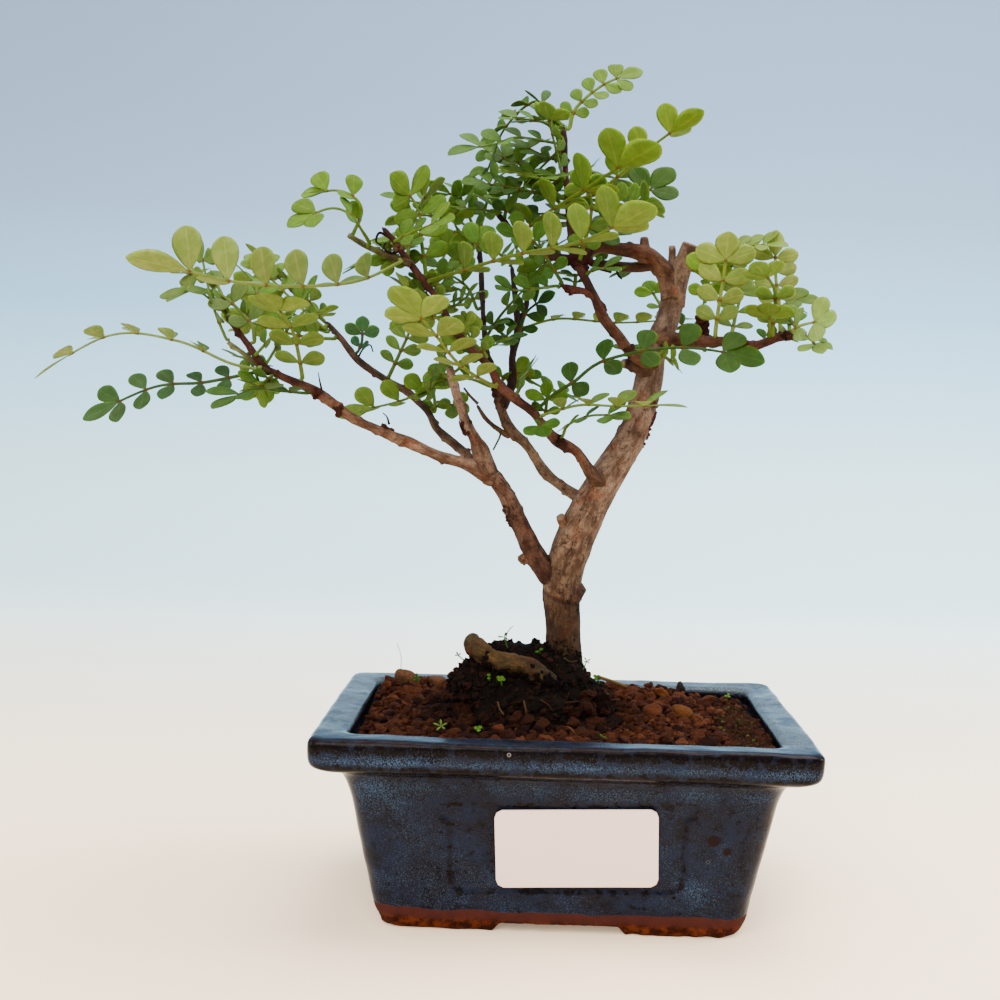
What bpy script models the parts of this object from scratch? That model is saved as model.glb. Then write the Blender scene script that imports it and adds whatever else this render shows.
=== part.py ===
"""Chinese pepper bonsai in a glazed rectangular pot.

A small tree with pinnate leaves stands in a dark root ball, in a lipped ceramic pot that is
filled with baked-clay granules. Run it with: blender --background --python part.py

Sizes below are in millimetres, with the pot's centre on the table at x = y = 0, x to the
right, y away from the front and z up. The finished model is in metres and is moved so that
the middle of its whole footprint is at the origin.
"""

import math
import random

import bmesh
import bpy
import numpy as np
from mathutils import Matrix, Vector
from mathutils.bvhtree import BVHTree

MM = 0.001
GAP = 0.3
SEED = 11

# Pot: outer size of the lip, and the open mouth inside it.
POT_LENGTH = 150.0
POT_DEPTH = 107.5
POT_HEIGHT = 62.2
MOUTH_INSET_X = 10.8
MOUTH_INSET_Y = 12.1
MOUTH_CORNER = 6.0
WALL_FOOT = (17.4, 9.0)
WALL_TOP = (11.4, 41.0)
WALL_CORNER = 8.0
FLOOR_Z = 9.5
INSIDE_TOP_Z = 57.0
INSIDE_SLOPE = 0.255
CORNER_STEPS = 3

# Inside of the pot and side of the soil: height and extra inset of each ring, from the mouth
# down. The mouth's edge is rounded over: how far it opens in x and y, and two drops.
MOUTH_OPENS = (2.2, 2.4)
MOUTH_DROPS = (0.2, 1.6)
WALL_MIDDLE_Z = 25.0
INSIDE_PROFILE = ((INSIDE_TOP_Z, 0.0), (36.0, 0.0), (15.0, 0.0), (FLOOR_Z, 1.6))
SOIL_SIDE = ((15.5, 0.3), (FLOOR_Z + GAP, 2.0))

# Outside profile under and over the plain wall: inset from the lip's edge, height (from the
# table, or down from the rim) and corner radius.
BASE_PROFILE = ((22.0, 0.0, 6.0), (19.6, 1.8, 7.0), (18.1, 5.0, 8.0))
LIP_PROFILE = (
    (9.9, 16.2, 7.5),
    (8.2, 12.9, 7.0),
    (6.0, 11.3, 6.0),
    (2.6, 10.0, 5.0),
    (0.9, 8.6, 4.2),
    (0.0, 6.2, 3.6),
    (0.0, 2.2, 3.4),
    (0.8, 0.6, 3.4),
    (2.4, 0.0, 3.4),
)

# Feet: gaps cut between them, and the recess under the floor, all under 4 mm high.
FRONT_GAP = (38.0, 2.2)
SIDE_GAP = (26.0, 3.5)
BASE_RECESS = (91.0, 48.6, 3.8)
CUTTER_REACH = 120.0

# Drain holes and the netting over them.
DRAIN_RADIUS = 6.0
DRAIN_X = 27.0
MESH_SIDE = 21.0
MESH_THICK = 1.2
MESH_BAR = 1.6
MESH_WINDOWS = 3

# Moulded panel on both long walls, and the bare label stuck in the front one.
PANEL_HALF_WIDTH = 38.0
PANEL_HALF_HEIGHT = 14.0
PANEL_EAR = 3.0
PANEL_EAR_DROP = (3.5, 5.5)
PANEL_CORNER = 4.0
PANEL_DEPTH = 0.8
PANEL_CENTRE = (1.5, 28.0)
PANEL_TURN = 1.6
LABEL_SIZE = (48.5, 25.4)
LABEL_CORNER = 2.6
LABEL_THICK = 0.5
LABEL_CENTRE = (4.5, 28.3)
LABEL_TURN = 2.3

# Soil: grid of granules, larger than life, and the flat-topped pebbles among them.
SOIL_LEVEL = 59.2
GRAIN_CELLS = (28, 18)
GRAIN_HEIGHT = 1.7
GRAIN_JITTER = 0.22
SOIL_EDGE_DROP = 0.8
SOIL_CORNER = 2.2
POCKET_HEAD = 8.0
PEBBLES = (
    (-54.0, 30.0, 5.2, 3.4),
    (-43.0, 29.0, 4.6, 2.8),
    (-36.0, 34.0, 3.0, 2.2),
    (38.0, 3.0, 4.6, 3.2),
    (30.0, 6.0, 3.4, 2.6),
    (36.0, 28.0, 2.4, 1.8),
    (41.0, 36.5, 3.2, 3.4),
)

# Root ball: (centre x, centre y, half width, half depth, height) from the base to the top.
BALL_RINGS = (
    (-8.0, -2.0, 19.0, 15.0, 34.0),
    (-9.5, -3.0, 26.0, 20.0, 44.0),
    (-10.5, -4.0, 29.0, 23.0, 56.0),
    (-10.5, -4.0, 29.0, 23.5, 61.5),
    (-10.5, -4.0, 25.0, 20.0, 67.0),
    (-9.5, -3.0, 21.0, 15.0, 73.0),
    (-9.0, -2.0, 17.5, 11.0, 78.5),
    (-9.0, -1.0, 13.0, 7.0, 82.0),
)
BALL_SIDES = 18
BALL_ROUGHNESS = 0.06

# Tree: each branch is (x, y, z, radius) from where it leaves the wood to its end.
BRANCHES = {
    "trunk": (3, (
        (-0.3, 0.0, 46.0, 7.6), (-0.2, 0.0, 66.0, 7.2), (-0.1, 0.0, 77.0, 6.3),
        (-1.2, 0.0, 92.0, 5.9), (-1.6, 0.0, 100.0, 6.3), (-0.6, 0.0, 107.0, 6.0),
        (1.6, 0.0, 115.0, 6.1), (4.9, 0.5, 123.0, 6.0), (8.8, 1.0, 131.0, 5.7),
        (13.8, 2.0, 140.0, 5.4), (19.3, 3.0, 150.0, 5.1), (22.6, 4.0, 159.0, 4.9),
        (24.5, 5.0, 168.0, 4.8), (26.0, 6.0, 178.0, 4.3), (29.8, 7.0, 187.0, 4.0),
        (31.8, 8.0, 195.0, 4.0), (33.4, 8.0, 202.0, 3.6), (37.0, 6.0, 212.5, 2.7),
    )),
    "left_limb": (2, (
        (1.0, 0.0, 99.0, 4.4), (-6.6, -2.0, 106.5, 3.9), (-11.5, -4.0, 114.0, 3.4),
        (-16.1, -6.0, 123.0, 3.0), (-19.3, -8.0, 130.0, 2.8), (-22.9, -9.0, 135.5, 2.7),
        (-26.4, -10.0, 140.0, 2.4),
    )),
    "left_stub": (1, (
        (-25.0, -10.0, 138.0, 2.2), (-28.4, -12.0, 145.5, 2.6), (-30.2, -12.5, 149.0, 1.8),
        (-32.9, -13.0, 154.0, 1.7), (-35.8, -14.0, 162.0, 1.5), (-38.4, -15.0, 171.0, 1.3),
    )),
    "lower_left": (1, (
        (-24.0, -9.0, 136.5, 2.2), (-32.3, -12.0, 140.5, 1.9), (-42.5, -15.0, 143.8, 1.7),
        (-50.8, -17.0, 147.3, 1.8), (-59.6, -19.0, 150.8, 1.5), (-68.3, -21.0, 154.9, 1.7),
        (-77.8, -22.0, 161.7, 1.6), (-88.5, -23.0, 166.3, 1.2), (-93.8, -24.0, 168.9, 1.3),
        (-98.6, -25.0, 175.4, 1.1), (-105.5, -26.0, 184.2, 0.9),
    )),
    "back_left": (1, (
        (-23.0, -8.0, 135.5, 1.7), (-30.8, 2.0, 140.9, 1.5), (-36.4, 8.0, 145.4, 1.5),
        (-43.7, 12.0, 151.1, 1.3), (-47.3, 14.0, 156.9, 1.2), (-54.3, 17.0, 163.0, 1.4),
        (-60.9, 18.0, 166.5, 1.1), (-70.9, 20.0, 172.9, 1.2), (-77.7, 22.0, 180.8, 1.0),
        (-83.0, 23.0, 186.1, 0.9),
    )),
    "tan_limb": (1, (
        (8.5, 1.5, 127.0, 2.4), (2.0, 6.0, 130.8, 2.1), (-3.5, 10.0, 134.4, 1.8),
        (-8.2, 12.0, 138.2, 1.9), (-13.7, 14.0, 145.9, 1.6), (-20.0, 16.0, 152.0, 1.8),
        (-23.0, 17.0, 158.5, 1.7), (-24.5, 18.0, 164.0, 1.8),
    )),
    "tan_rod": (0, (
        (-24.0, 17.5, 162.0, 1.3), (-25.9, 19.0, 171.0, 1.1), (-28.6, 20.0, 178.0, 1.0),
        (-30.0, 22.0, 191.0, 0.9), (-31.0, 24.0, 204.0, 0.9), (-32.4, 26.0, 216.0, 0.8),
    )),
    "tan_side_twig": (0, (
        (-20.5, 16.0, 149.5, 0.9), (-27.0, 14.0, 154.0, 0.8), (-31.0, 13.0, 159.5, 0.7),
    )),
    "back_rod": (1, (
        (-23.0, 17.5, 159.0, 1.6), (-19.6, 20.0, 167.0, 1.5), (-19.7, 24.0, 176.0, 1.3),
        (-18.2, 28.0, 185.0, 1.4), (-19.5, 30.0, 195.0, 1.0), (-21.0, 34.0, 207.0, 0.8),
    )),
    "back_rod_fork": (0, (
        (-18.4, 27.5, 183.5, 1.1), (-15.5, 30.0, 195.0, 0.9), (-15.6, 32.0, 206.0, 0.8),
    )),
    "dark_limb": (1, (
        (11.5, 0.0, 134.5, 2.2), (6.6, -7.0, 138.8, 2.2), (1.9, -10.0, 145.4, 1.7),
        (-4.1, -12.0, 148.6, 1.9), (-8.6, -14.0, 153.0, 1.5), (-12.1, -15.0, 157.5, 1.4),
        (-17.5, -16.0, 161.4, 1.6), (-22.5, -17.0, 165.3, 1.4), (-25.6, -18.0, 170.7, 1.2),
        (-32.4, -20.0, 177.2, 1.1), (-38.0, -22.0, 183.6, 1.3), (-41.2, -25.0, 189.9, 1.0),
        (-45.0, -28.0, 195.0, 1.2), (-50.7, -30.0, 202.0, 1.0), (-54.5, -31.0, 207.1, 0.9),
        (-58.1, -32.0, 211.0, 0.8),
    )),
    "green_stub": (0, (
        (-49.5, -30.0, 200.5, 0.9), (-61.5, -32.0, 204.8, 0.9), (-68.0, -33.0, 208.4, 0.8),
    )),
    "pale_stub": (0, (
        (-93.0, -24.5, 167.6, 0.9), (-98.6, -24.8, 171.8, 0.8), (-105.0, -25.4, 176.4, 0.7),
    )),
    "top_branch": (1, (
        (32.2, 8.0, 194.5, 3.2), (29.7, 8.0, 202.0, 2.9), (25.6, 6.0, 206.5, 2.8),
        (21.2, 4.0, 208.9, 2.6), (14.1, 2.0, 209.8, 2.2), (6.6, 0.0, 210.2, 2.0),
        (0.7, -3.0, 206.5, 1.8), (-3.4, -5.0, 205.6, 1.0),
    )),
    "top_branch_spur": (1, (
        (22.4, 4.0, 207.5, 1.8), (22.0, 4.5, 210.8, 1.6), (21.8, 5.0, 214.0, 1.4),
    )),
    "broken_branch": (0, (
        (24.5, 5.5, 205.5, 1.6), (18.5, 9.0, 204.9, 1.7), (11.5, 12.0, 206.0, 1.4),
        (4.5, 12.0, 206.4, 0.9),
    )),
    "top_spur": (0, (
        (32.2, 8.0, 198.5, 1.4), (31.4, 8.5, 205.5, 1.3), (31.1, 9.0, 212.0, 1.2),
    )),
    "rise": (1, (
        (26.0, 5.0, 172.5, 2.2), (18.8, -4.0, 176.5, 1.9), (13.7, -8.0, 181.9, 1.7),
        (9.1, -10.0, 187.2, 1.8), (6.4, -11.0, 192.7, 1.4), (2.5, -11.0, 199.9, 1.4),
        (0.3, -7.0, 205.0, 1.9),
    )),
    "rise_spur": (0, (
        (8.8, -10.0, 190.0, 1.1), (4.0, -12.0, 194.6, 1.0), (-0.7, -11.0, 195.7, 1.3),
        (-4.8, -10.0, 197.0, 0.7),
    )),
    "crown": (1, (
        (0.4, -6.0, 204.0, 1.7), (-1.4, -4.0, 213.3, 1.5), (-3.0, -2.0, 224.4, 1.1),
        (-4.2, 0.0, 235.6, 1.0), (-4.7, 0.0, 241.8, 1.1), (-5.1, 0.0, 247.0, 0.9),
    )),
    "crown_left": (0, (
        (-0.6, -5.0, 205.5, 1.3), (-9.7, 0.0, 207.5, 1.2), (-17.9, 6.0, 212.8, 1.1),
        (-25.3, 10.0, 221.0, 0.9),
    )),
    "right_twig": (1, (
        (27.0, 5.0, 182.0, 2.2), (37.2, -4.0, 181.3, 2.2), (44.0, -8.0, 180.8, 1.7),
        (49.3, -10.0, 180.8, 1.5), (54.9, -12.0, 179.5, 1.6), (59.3, -13.0, 180.9, 1.3),
        (63.4, -14.0, 182.6, 1.4), (70.9, -16.0, 183.2, 1.2),
    )),
    "right_spur": (1, (
        (37.6, -4.0, 181.0, 2.6), (39.8, -3.0, 185.3, 2.2), (40.6, -2.0, 189.4, 1.3),
        (40.6, -1.0, 193.2, 1.1),
    )),
    "old_cut": (1, (
        (24.0, 3.5, 171.0, 2.4), (19.4, 0.5, 173.2, 2.1), (15.6, -1.0, 173.6, 1.5),
    )),
    "fork_nub": (1, (
        (1.8, -0.5, 119.0, 2.0), (-1.2, -2.0, 122.2, 1.8), (-2.8, -3.0, 124.8, 1.3),
    )),
    "limb_nub": (1, (
        (-9.5, -3.2, 110.5, 1.8), (-12.8, -3.6, 110.8, 1.7), (-15.2, -4.0, 110.2, 1.5),
    )),
    "surface_root": (2, (
        (-29.9, -6.0, 86.2, 3.0), (-28.9, -8.0, 83.3, 3.3), (-24.9, -11.5, 80.2, 3.3),
        (-19.1, -15.0, 78.6, 3.2), (-12.5, -17.0, 77.8, 3.1), (-7.1, -16.0, 75.0, 2.9),
        (-3.2, -12.0, 71.5, 2.9), (-1.5, -5.0, 66.0, 3.2),
    )),
    "root_back": (0, (
        (0.0, 2.0, 57.0, 4.0), (2.0, 9.0, 51.0, 2.4), (1.0, 13.5, 45.0, 1.2),
    )),
    "root_left": (0, (
        (-3.0, 0.0, 55.0, 4.0), (-14.0, 2.0, 49.0, 2.4), (-22.0, 1.0, 45.0, 1.2),
    )),
    "root_right": (0, (
        (2.0, -2.0, 54.0, 3.6), (6.5, -8.0, 47.0, 2.2), (6.0, -10.0, 41.0, 1.1),
    )),
}
BURIED = ("trunk", "surface_root", "root_back", "root_left", "root_right")
ROUTE_STEP = 9.0

# Leaves: path from the twig to the tip of the end leaflet, pairs of leaflets, length and
# width of a leaflet, lean of the blade (0 faces up, 90 faces front, -90 faces back) and fold
# of the leaflets (degrees above the blade).
LEAVES = {
    "lower_left": (
        (((-94, -28, 166), (-103, -33, 170), (-118, -35, 176), (-137, -38, 177), (-158, -44, 164)),
         5, 8.0, 5.0, 0, 18),
        (((-94, -25, 167), (-111, -29, 164), (-126, -32, 162), (-146, -36, 152)), 5, 7.4, 5.0, 40, 5),
        (((-79, -23, 161), (-88, -34, 162), (-94, -44, 162), (-103, -54, 156)), 3, 8.2, 5.2, 10, 15),
        (((-82, -23, 165), (-83, -35, 178), (-85, -44, 184), (-90, -54, 190)), 4, 8.6, 6.6, -10, 10),
        (((-98, -25, 173), (-99, -24, 183), (-111, -22, 192), (-128, -18, 190)), 4, 8.0, 5.2, 35, 15),
    ),
    "dark_limb": (
        (((-51, -31, 201), (-66, -48, 193), (-92, -64, 191), (-121, -78, 197)), 6, 10.6, 7.2, -35, 40),
        (((-67, -33, 207), (-64, -34, 215), (-66, -35, 219), (-72, -35, 221), (-82, -34, 219)),
         3, 7.0, 5.2, 35, 25),
        (((-60, -33, 205), (-63, -40, 209), (-66, -44, 213), (-72, -47, 214), (-83, -50, 208)),
         2, 7.4, 5.4, 35, 15),
        (((-45, -28, 195), (-47, -24, 208), (-49, -20, 219), (-58, -16, 229)), 4, 8.4, 5.8, -50, 15),
        (((-55, -31, 207), (-47, -36, 210), (-36, -42, 213)), 2, 7.4, 5.4, 40, 10),
        (((-23, -17, 164), (-34, -34, 171), (-42, -50, 181), (-52, -62, 192)), 5, 9.0, 6.8, -30, 10),
        (((-44, -28, 196), (-19, -46, 202), (1, -62, 205), (19, -78, 213)), 6, 9.4, 7.0, -40, 35),
        (((-17, -16, 162), (-15, -20, 168), (-11, -25, 174)), 2, 5.6, 4.2, 30, 10),
        (((-11, -15, 158), (-6, -20, 163), (0, -21, 167), (10, -22, 174), (32, -24, 178), (57, -28, 175)),
         5, 7.8, 6.4, 50, 10),
        (((-10, -15, 157), (2, -24, 160), (14, -31, 160), (33, -40, 161)), 4, 8.0, 5.0, 5, 25),
        (((-3, -12, 149), (-1, -18, 154), (6, -25, 157), (17, -33, 157)), 3, 5.8, 4.2, 35, 10),
        (((-11, -15, 156), (-10, -20, 154), (-8, -25, 150)), 1, 5.0, 4.0, 60, 0),
    ),
    "back_left": (
        (((-61, 18, 167), (-57, 14, 175), (-53, 8, 183), (-51, 4, 192)), 4, 6.6, 5.2, -70, 10),
        (((-71, 20, 174), (-70, 20, 180), (-70, 19, 188)), 2, 5.4, 3.6, 20, 20),
        (((-84, 23, 186), (-87, 22, 191), (-92, 20, 197)), 2, 5.4, 3.8, -30, 10),
        (((-47, 14, 157), (-43, 12, 160), (-33, 10, 157)), 1, 5.4, 4.0, 50, 10),
    ),
    "left_stub": (
        (((-38, -15, 170), (-39, -20, 173), (-42, -25, 176)), 1, 4.8, 3.8, 60, 0),
    ),
    "tan_limb": (
        (((-25, 18, 165), (-38, 9, 168), (-55, 4, 160), (-75, -2, 155)), 5, 7.4, 5.4, 40, 30),
        (((-29, 20, 180), (-23, 16, 190), (-11, 10, 203)), 3, 6.4, 4.6, 40, 10),
        (((-19, 25, 180), (-15, 22, 191), (-6, 18, 197)), 3, 7.0, 3.4, 60, 10),
        (((-29, 20, 179), (-24, 12, 181), (-19, 3, 179)), 2, 6.4, 4.4, 30, 10),
        (((-18, 28, 185), (-4, 27, 189), (16, 25, 188), (41, 22, 190)), 6, 7.4, 5.0, 0, 20),
        (((-21, 34, 206), (-29, 45, 214), (-40, 55, 217), (-52, 62, 214)), 4, 8.4, 5.6, -20, 10),
        (((-32, 26, 215), (-41, 34, 222), (-53, 40, 224), (-66, 43, 221)), 4, 8.4, 5.6, -15, 15),
        (((-16, 32, 205), (-9, 44, 213), (1, 54, 216), (13, 61, 213)), 4, 8.4, 5.6, -20, 10),
    ),
    "crown": (
        (((-19, 6, 212), (-12, -12, 217), (2, -30, 224), (22, -48, 235)), 4, 9.8, 7.6, -40, 35),
        (((-3, -2, 224), (7, -12, 226), (20, -20, 237), (36, -28, 248)), 4, 8.6, 6.8, -30, 40),
        (((0, -6, 208), (8, 0, 214), (19, 6, 225), (31, 12, 238)), 4, 8.0, 6.0, 50, 10),
        (((-5, 0, 247), (-1, 2, 254), (8, 4, 262), (20, 6, 267)), 5, 5.6, 5.0, 55, 5),
        (((-6, 0, 247), (-14, 4, 256), (-24, 9, 248), (-30, 12, 234), (-40, 14, 221)), 8, 8.0, 3.6, 20, 25),
        (((-6, 0, 245), (-13, -6, 248), (-25, -14, 247)), 3, 6.0, 4.4, 20, 15),
        (((-6, 0, 242), (-19, -10, 242), (-26, -15, 239), (-40, -22, 235)), 4, 6.8, 5.0, 30, 20),
        (((-5, 0, 236), (-12, 7, 240), (-22, 13, 246)), 3, 7.2, 3.6, 20, 10),
        (((-4, 0, 233), (-12, -14, 229), (-22, -28, 229)), 3, 7.4, 5.6, 20, 10),
        (((-4, -2, 224), (-20, 0, 228), (-37, -1, 230)), 5, 7.4, 5.0, 35, 10),
        (((-3, 0, 226), (4, 14, 233), (12, 30, 237), (17, 44, 233)), 4, 8.4, 5.8, 0, 15),
        (((-24, 10, 220), (-29, 21, 227), (-40, 33, 231), (-53, 41, 229)), 4, 8.4, 5.6, -10, 15),
    ),
    "top_branch": (
        (((14, 3, 211), (10, 18, 218), (3, 34, 223), (-7, 47, 220)), 4, 8.4, 5.8, 0, 15),
    ),
    "right_twig": (
        (((44, -8, 182), (44, -12, 189), (45, -15, 200), (46, -17, 214)), 4, 7.6, 6.4, -90, 10),
        (((63, -14, 184), (63, -11, 192), (62, -8, 202), (62, -5, 216)), 5, 6.4, 5.0, -90, 10),
        (((66, -14, 184), (68, -2, 191), (73, 6, 200)), 2, 6.0, 4.6, 30, 10),
        (((65, -14, 183), (69, -20, 186), (78, -27, 188)), 2, 7.0, 5.0, 60, 10),
        (((71, -16, 183), (72, -20, 181), (74, -26, 177)), 2, 5.4, 4.0, 50, 0),
        (((59, -13, 182), (59, -19, 185), (57, -28, 192)), 1, 6.2, 5.2, 10, 10),
        (((49, -10, 182), (51, -2, 190), (55, 6, 203)), 3, 7.0, 4.6, 60, 10),
    ),
    "right_spur": (
        (((41, -1, 193), (41, -5, 200), (42, -8, 210)), 2, 6.4, 5.0, -60, 10),
    ),
    "trunk": (
        (((30, 11, 190), (27, 17, 196), (24, 21, 202)), 2, 5.2, 3.8, 60, 5),
    ),
}
BLADE_THICK = 0.6
RIB_WIDTH = 1.3
STEM_WIDTH = 0.8
JOINT_HALF = 0.55

# Outline of a leaflet: share of its length, half width as a share of its width. The end
# leaflet has a slim foot and takes a share of the stem, between a least and a most length.
SIDE_OUTLINE = ((0.38, 0.47), (0.78, 0.42))
END_OUTLINE = ((0.5, 0.47), (0.82, 0.42))
END_SHARE = 0.25
END_LEAST = 1.05
END_MOST = 1.6
END_WIDTH = 1.1

# Rules for the pairs: bare share of the stem, least distance to the first pair, widest
# spacing and widest leaflet as shares, angle to the rib, size of the first pair.
BARE_STEM = 0.2
FIRST_PAIR = 2.4
WIDEST_SPACING = 2.0
CROWDING = 0.86
SWEEP = 68.0
SMALLEST = 0.74

# How a leaf meets the wood: distance off the bark, where the bark is looked for, and the
# length that leaves it squarely.
SEAT = 0.55
PROBE = 3.0
SQUARE_STEM = 1.6
PATH_STEP = 0.5


def clear_scene():
    """Remove whatever the scene starts with."""
    for thing in list(bpy.data.objects):
        bpy.data.objects.remove(thing, do_unlink=True)


def new_collection(name):
    """A collection linked to the scene."""
    collection = bpy.data.collections.new(name)
    bpy.context.scene.collection.children.link(collection)
    return collection


def new_material(name, colour, roughness, coat=0.0):
    """A Principled material with one colour."""
    material = bpy.data.materials.new(name)
    material.use_nodes = True
    shader = material.node_tree.nodes["Principled BSDF"]
    shader.inputs["Base Color"].default_value = (*colour, 1.0)
    shader.inputs["Roughness"].default_value = roughness
    shader.inputs["Metallic"].default_value = 0.0
    shader.inputs["Coat Weight"].default_value = coat
    material.diffuse_color = (*colour, 1.0)
    return material


def add_mesh(name, points, faces, collection, material=None):
    """An object from points in millimetres and faces, in one collection."""
    mesh = bpy.data.meshes.new(name)
    mesh.from_pydata([tuple(c * MM for c in point) for point in points], [], faces)
    mesh.validate()
    thing = bpy.data.objects.new(name, mesh)
    collection.objects.link(thing)
    if material:
        mesh.materials.append(material)
    return thing


def face_outwards(thing):
    """Turn every face of a closed mesh outwards."""
    work = bmesh.new()
    work.from_mesh(thing.data)
    bmesh.ops.recalc_face_normals(work, faces=work.faces)
    work.to_mesh(thing.data)
    work.free()


def as_mesh(thing, collection, weld=0.02):
    """Replace a curve, or an object with modifiers, by its evaluated and welded mesh."""
    name = thing.name
    source = thing.evaluated_get(bpy.context.evaluated_depsgraph_get())
    mesh = bpy.data.meshes.new_from_object(source)
    matrix = thing.matrix_world.copy()
    bpy.data.objects.remove(thing, do_unlink=True)
    work = bmesh.new()
    work.from_mesh(mesh)
    bmesh.ops.remove_doubles(work, verts=work.verts, dist=weld * MM)
    bmesh.ops.recalc_face_normals(work, faces=work.faces)
    work.to_mesh(mesh)
    work.free()
    solid = bpy.data.objects.new(name, mesh)
    solid.matrix_world = matrix
    collection.objects.link(solid)
    return solid


def hide_cutter(thing):
    """A cutter stays out of the render and shows as wire."""
    thing.hide_render = True
    thing.display_type = "WIRE"
    return thing


def cut(body, cutter):
    """Take the cutter out of the body."""
    modifier = body.modifiers.new("cut_" + cutter.name, "BOOLEAN")
    modifier.operation = "DIFFERENCE"
    modifier.object = hide_cutter(cutter)
    modifier.solver = "EXACT"


def rounded_ring(half_x, half_y, radius, z):
    """A rounded rectangle at one height, as points that run round counterclockwise."""
    ring = []
    for quarter, (sx, sy) in enumerate(((1, 1), (-1, 1), (-1, -1), (1, -1))):
        for step in range(CORNER_STEPS + 1):
            angle = math.radians(90.0 * (quarter + step / CORNER_STEPS))
            x = sx * (half_x - radius) + radius * math.cos(angle)
            y = sy * (half_y - radius) + radius * math.sin(angle)
            ring.append((x, y, z))
    return ring


def loft(name, rings, collection, material=None):
    """Skin rings of equal point count into one closed body with flat ends."""
    count = len(rings[0])
    points = [point for ring in rings for point in ring]
    faces = []
    for level in range(len(rings) - 1):
        low = level * count
        for k in range(count):
            after = (k + 1) % count
            faces.append((low + k, low + after, low + count + after))
            faces.append((low + k, low + count + after, low + count + k))
    faces.append(tuple(range(count - 1, -1, -1)))
    faces.append(tuple(range(len(points) - count, len(points))))
    thing = add_mesh(name, points, faces, collection, material)
    face_outwards(thing)
    return thing


def plate(name, outline, thickness, collection, material=None):
    """A flat outline in the XY plane, filled and given a thickness round z = 0."""
    curve = bpy.data.curves.new(name, "CURVE")
    curve.dimensions = "2D"
    curve.fill_mode = "BOTH"
    curve.extrude = thickness / 2 * MM
    spline = curve.splines.new("POLY")
    spline.points.add(len(outline) - 1)
    for point, (x, y) in zip(spline.points, outline):
        point.co = (x * MM, y * MM, 0.0, 1.0)
    spline.use_cyclic_u = True
    thing = bpy.data.objects.new(name, curve)
    collection.objects.link(thing)
    solid = as_mesh(thing, collection)
    if material:
        solid.data.materials.clear()
        solid.data.materials.append(material)
    return solid


def box(name, low, high, collection):
    """A box between two corners, in millimetres."""
    rings = [[(low[0], low[1], z), (high[0], low[1], z), (high[0], high[1], z), (low[0], high[1], z)]
             for z in (low[2], high[2])]
    return loft(name, rings, collection)


def wall_inset(z):
    """How far the wall's outside stands in from the lip's edge at one height."""
    share = (z - WALL_FOOT[1]) / (WALL_TOP[1] - WALL_FOOT[1])
    return WALL_FOOT[0] + share * (WALL_TOP[0] - WALL_FOOT[0])


def inner_inset(z):
    """How far the soil's side stands in from the mouth's edge at one height."""
    return max(0.0, (INSIDE_TOP_Z - z) * INSIDE_SLOPE)


def pot_rings():
    """Outside from the base to the lip, over the lip, and down the inside to the floor."""
    outside = list(BASE_PROFILE)
    outside += [(wall_inset(z), z, WALL_CORNER)
                for z in (WALL_FOOT[1], WALL_MIDDLE_Z, WALL_TOP[1])]
    outside += [(inset, POT_HEIGHT - drop, radius) for inset, drop, radius in LIP_PROFILE]
    half_x = POT_LENGTH / 2
    half_y = POT_DEPTH / 2
    rings = [rounded_ring(half_x - inset, half_y - inset, radius, z) for inset, z, radius in outside]
    mouth_x = half_x - MOUTH_INSET_X
    mouth_y = half_y - MOUTH_INSET_Y
    rings.append(rounded_ring(mouth_x + MOUTH_OPENS[0], mouth_y + MOUTH_OPENS[1], MOUTH_CORNER,
                              POT_HEIGHT - MOUTH_DROPS[0]))
    rings.append(rounded_ring(mouth_x, mouth_y, MOUTH_CORNER, POT_HEIGHT - MOUTH_DROPS[1]))
    for z, extra in INSIDE_PROFILE:
        inset = inner_inset(z) + extra
        rings.append(rounded_ring(mouth_x - inset, mouth_y - inset, MOUTH_CORNER, z))
    return rings


def panel_outline():
    """The moulded panel: an eared top and rounded lower corners."""
    wide = PANEL_HALF_WIDTH
    slim = wide - PANEL_EAR
    high = PANEL_HALF_HEIGHT
    ear_top, ear_foot = PANEL_EAR_DROP
    right = [(slim - PANEL_CORNER, -high), (slim, -high + PANEL_CORNER), (slim, high - ear_foot),
             (wide, high - ear_top), (wide, high)]
    return right + [(-x, y) for x, y in reversed(right)]


def label_outline():
    """A rectangle with rounded corners."""
    half_x = LABEL_SIZE[0] / 2
    half_y = LABEL_SIZE[1] / 2
    return [(x, y) for x, y, _ in rounded_ring(half_x, half_y, LABEL_CORNER, 0.0)]


def on_wall(side, centre, turn, lift):
    """Matrix that lays a flat plate on the long wall: side is -1 for the front, 1 for the back."""
    x, z = centre
    slope = math.atan2(WALL_FOOT[0] - WALL_TOP[0], WALL_TOP[1] - WALL_FOOT[1])
    y = side * (POT_DEPTH / 2 - wall_inset(z))
    upright = Matrix.Rotation(math.radians(90.0) + slope, 4, "X")
    facing = Matrix.Rotation(math.radians(0.0 if side < 0 else 180.0), 4, "Z")
    turned = Matrix.Rotation(math.radians(turn), 4, "Z")
    place = Matrix.Translation(Vector((x, y, z)) * MM)
    out = Matrix.Translation(Vector((0.0, 0.0, lift * MM)))
    return place @ facing @ upright @ turned @ out


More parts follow.
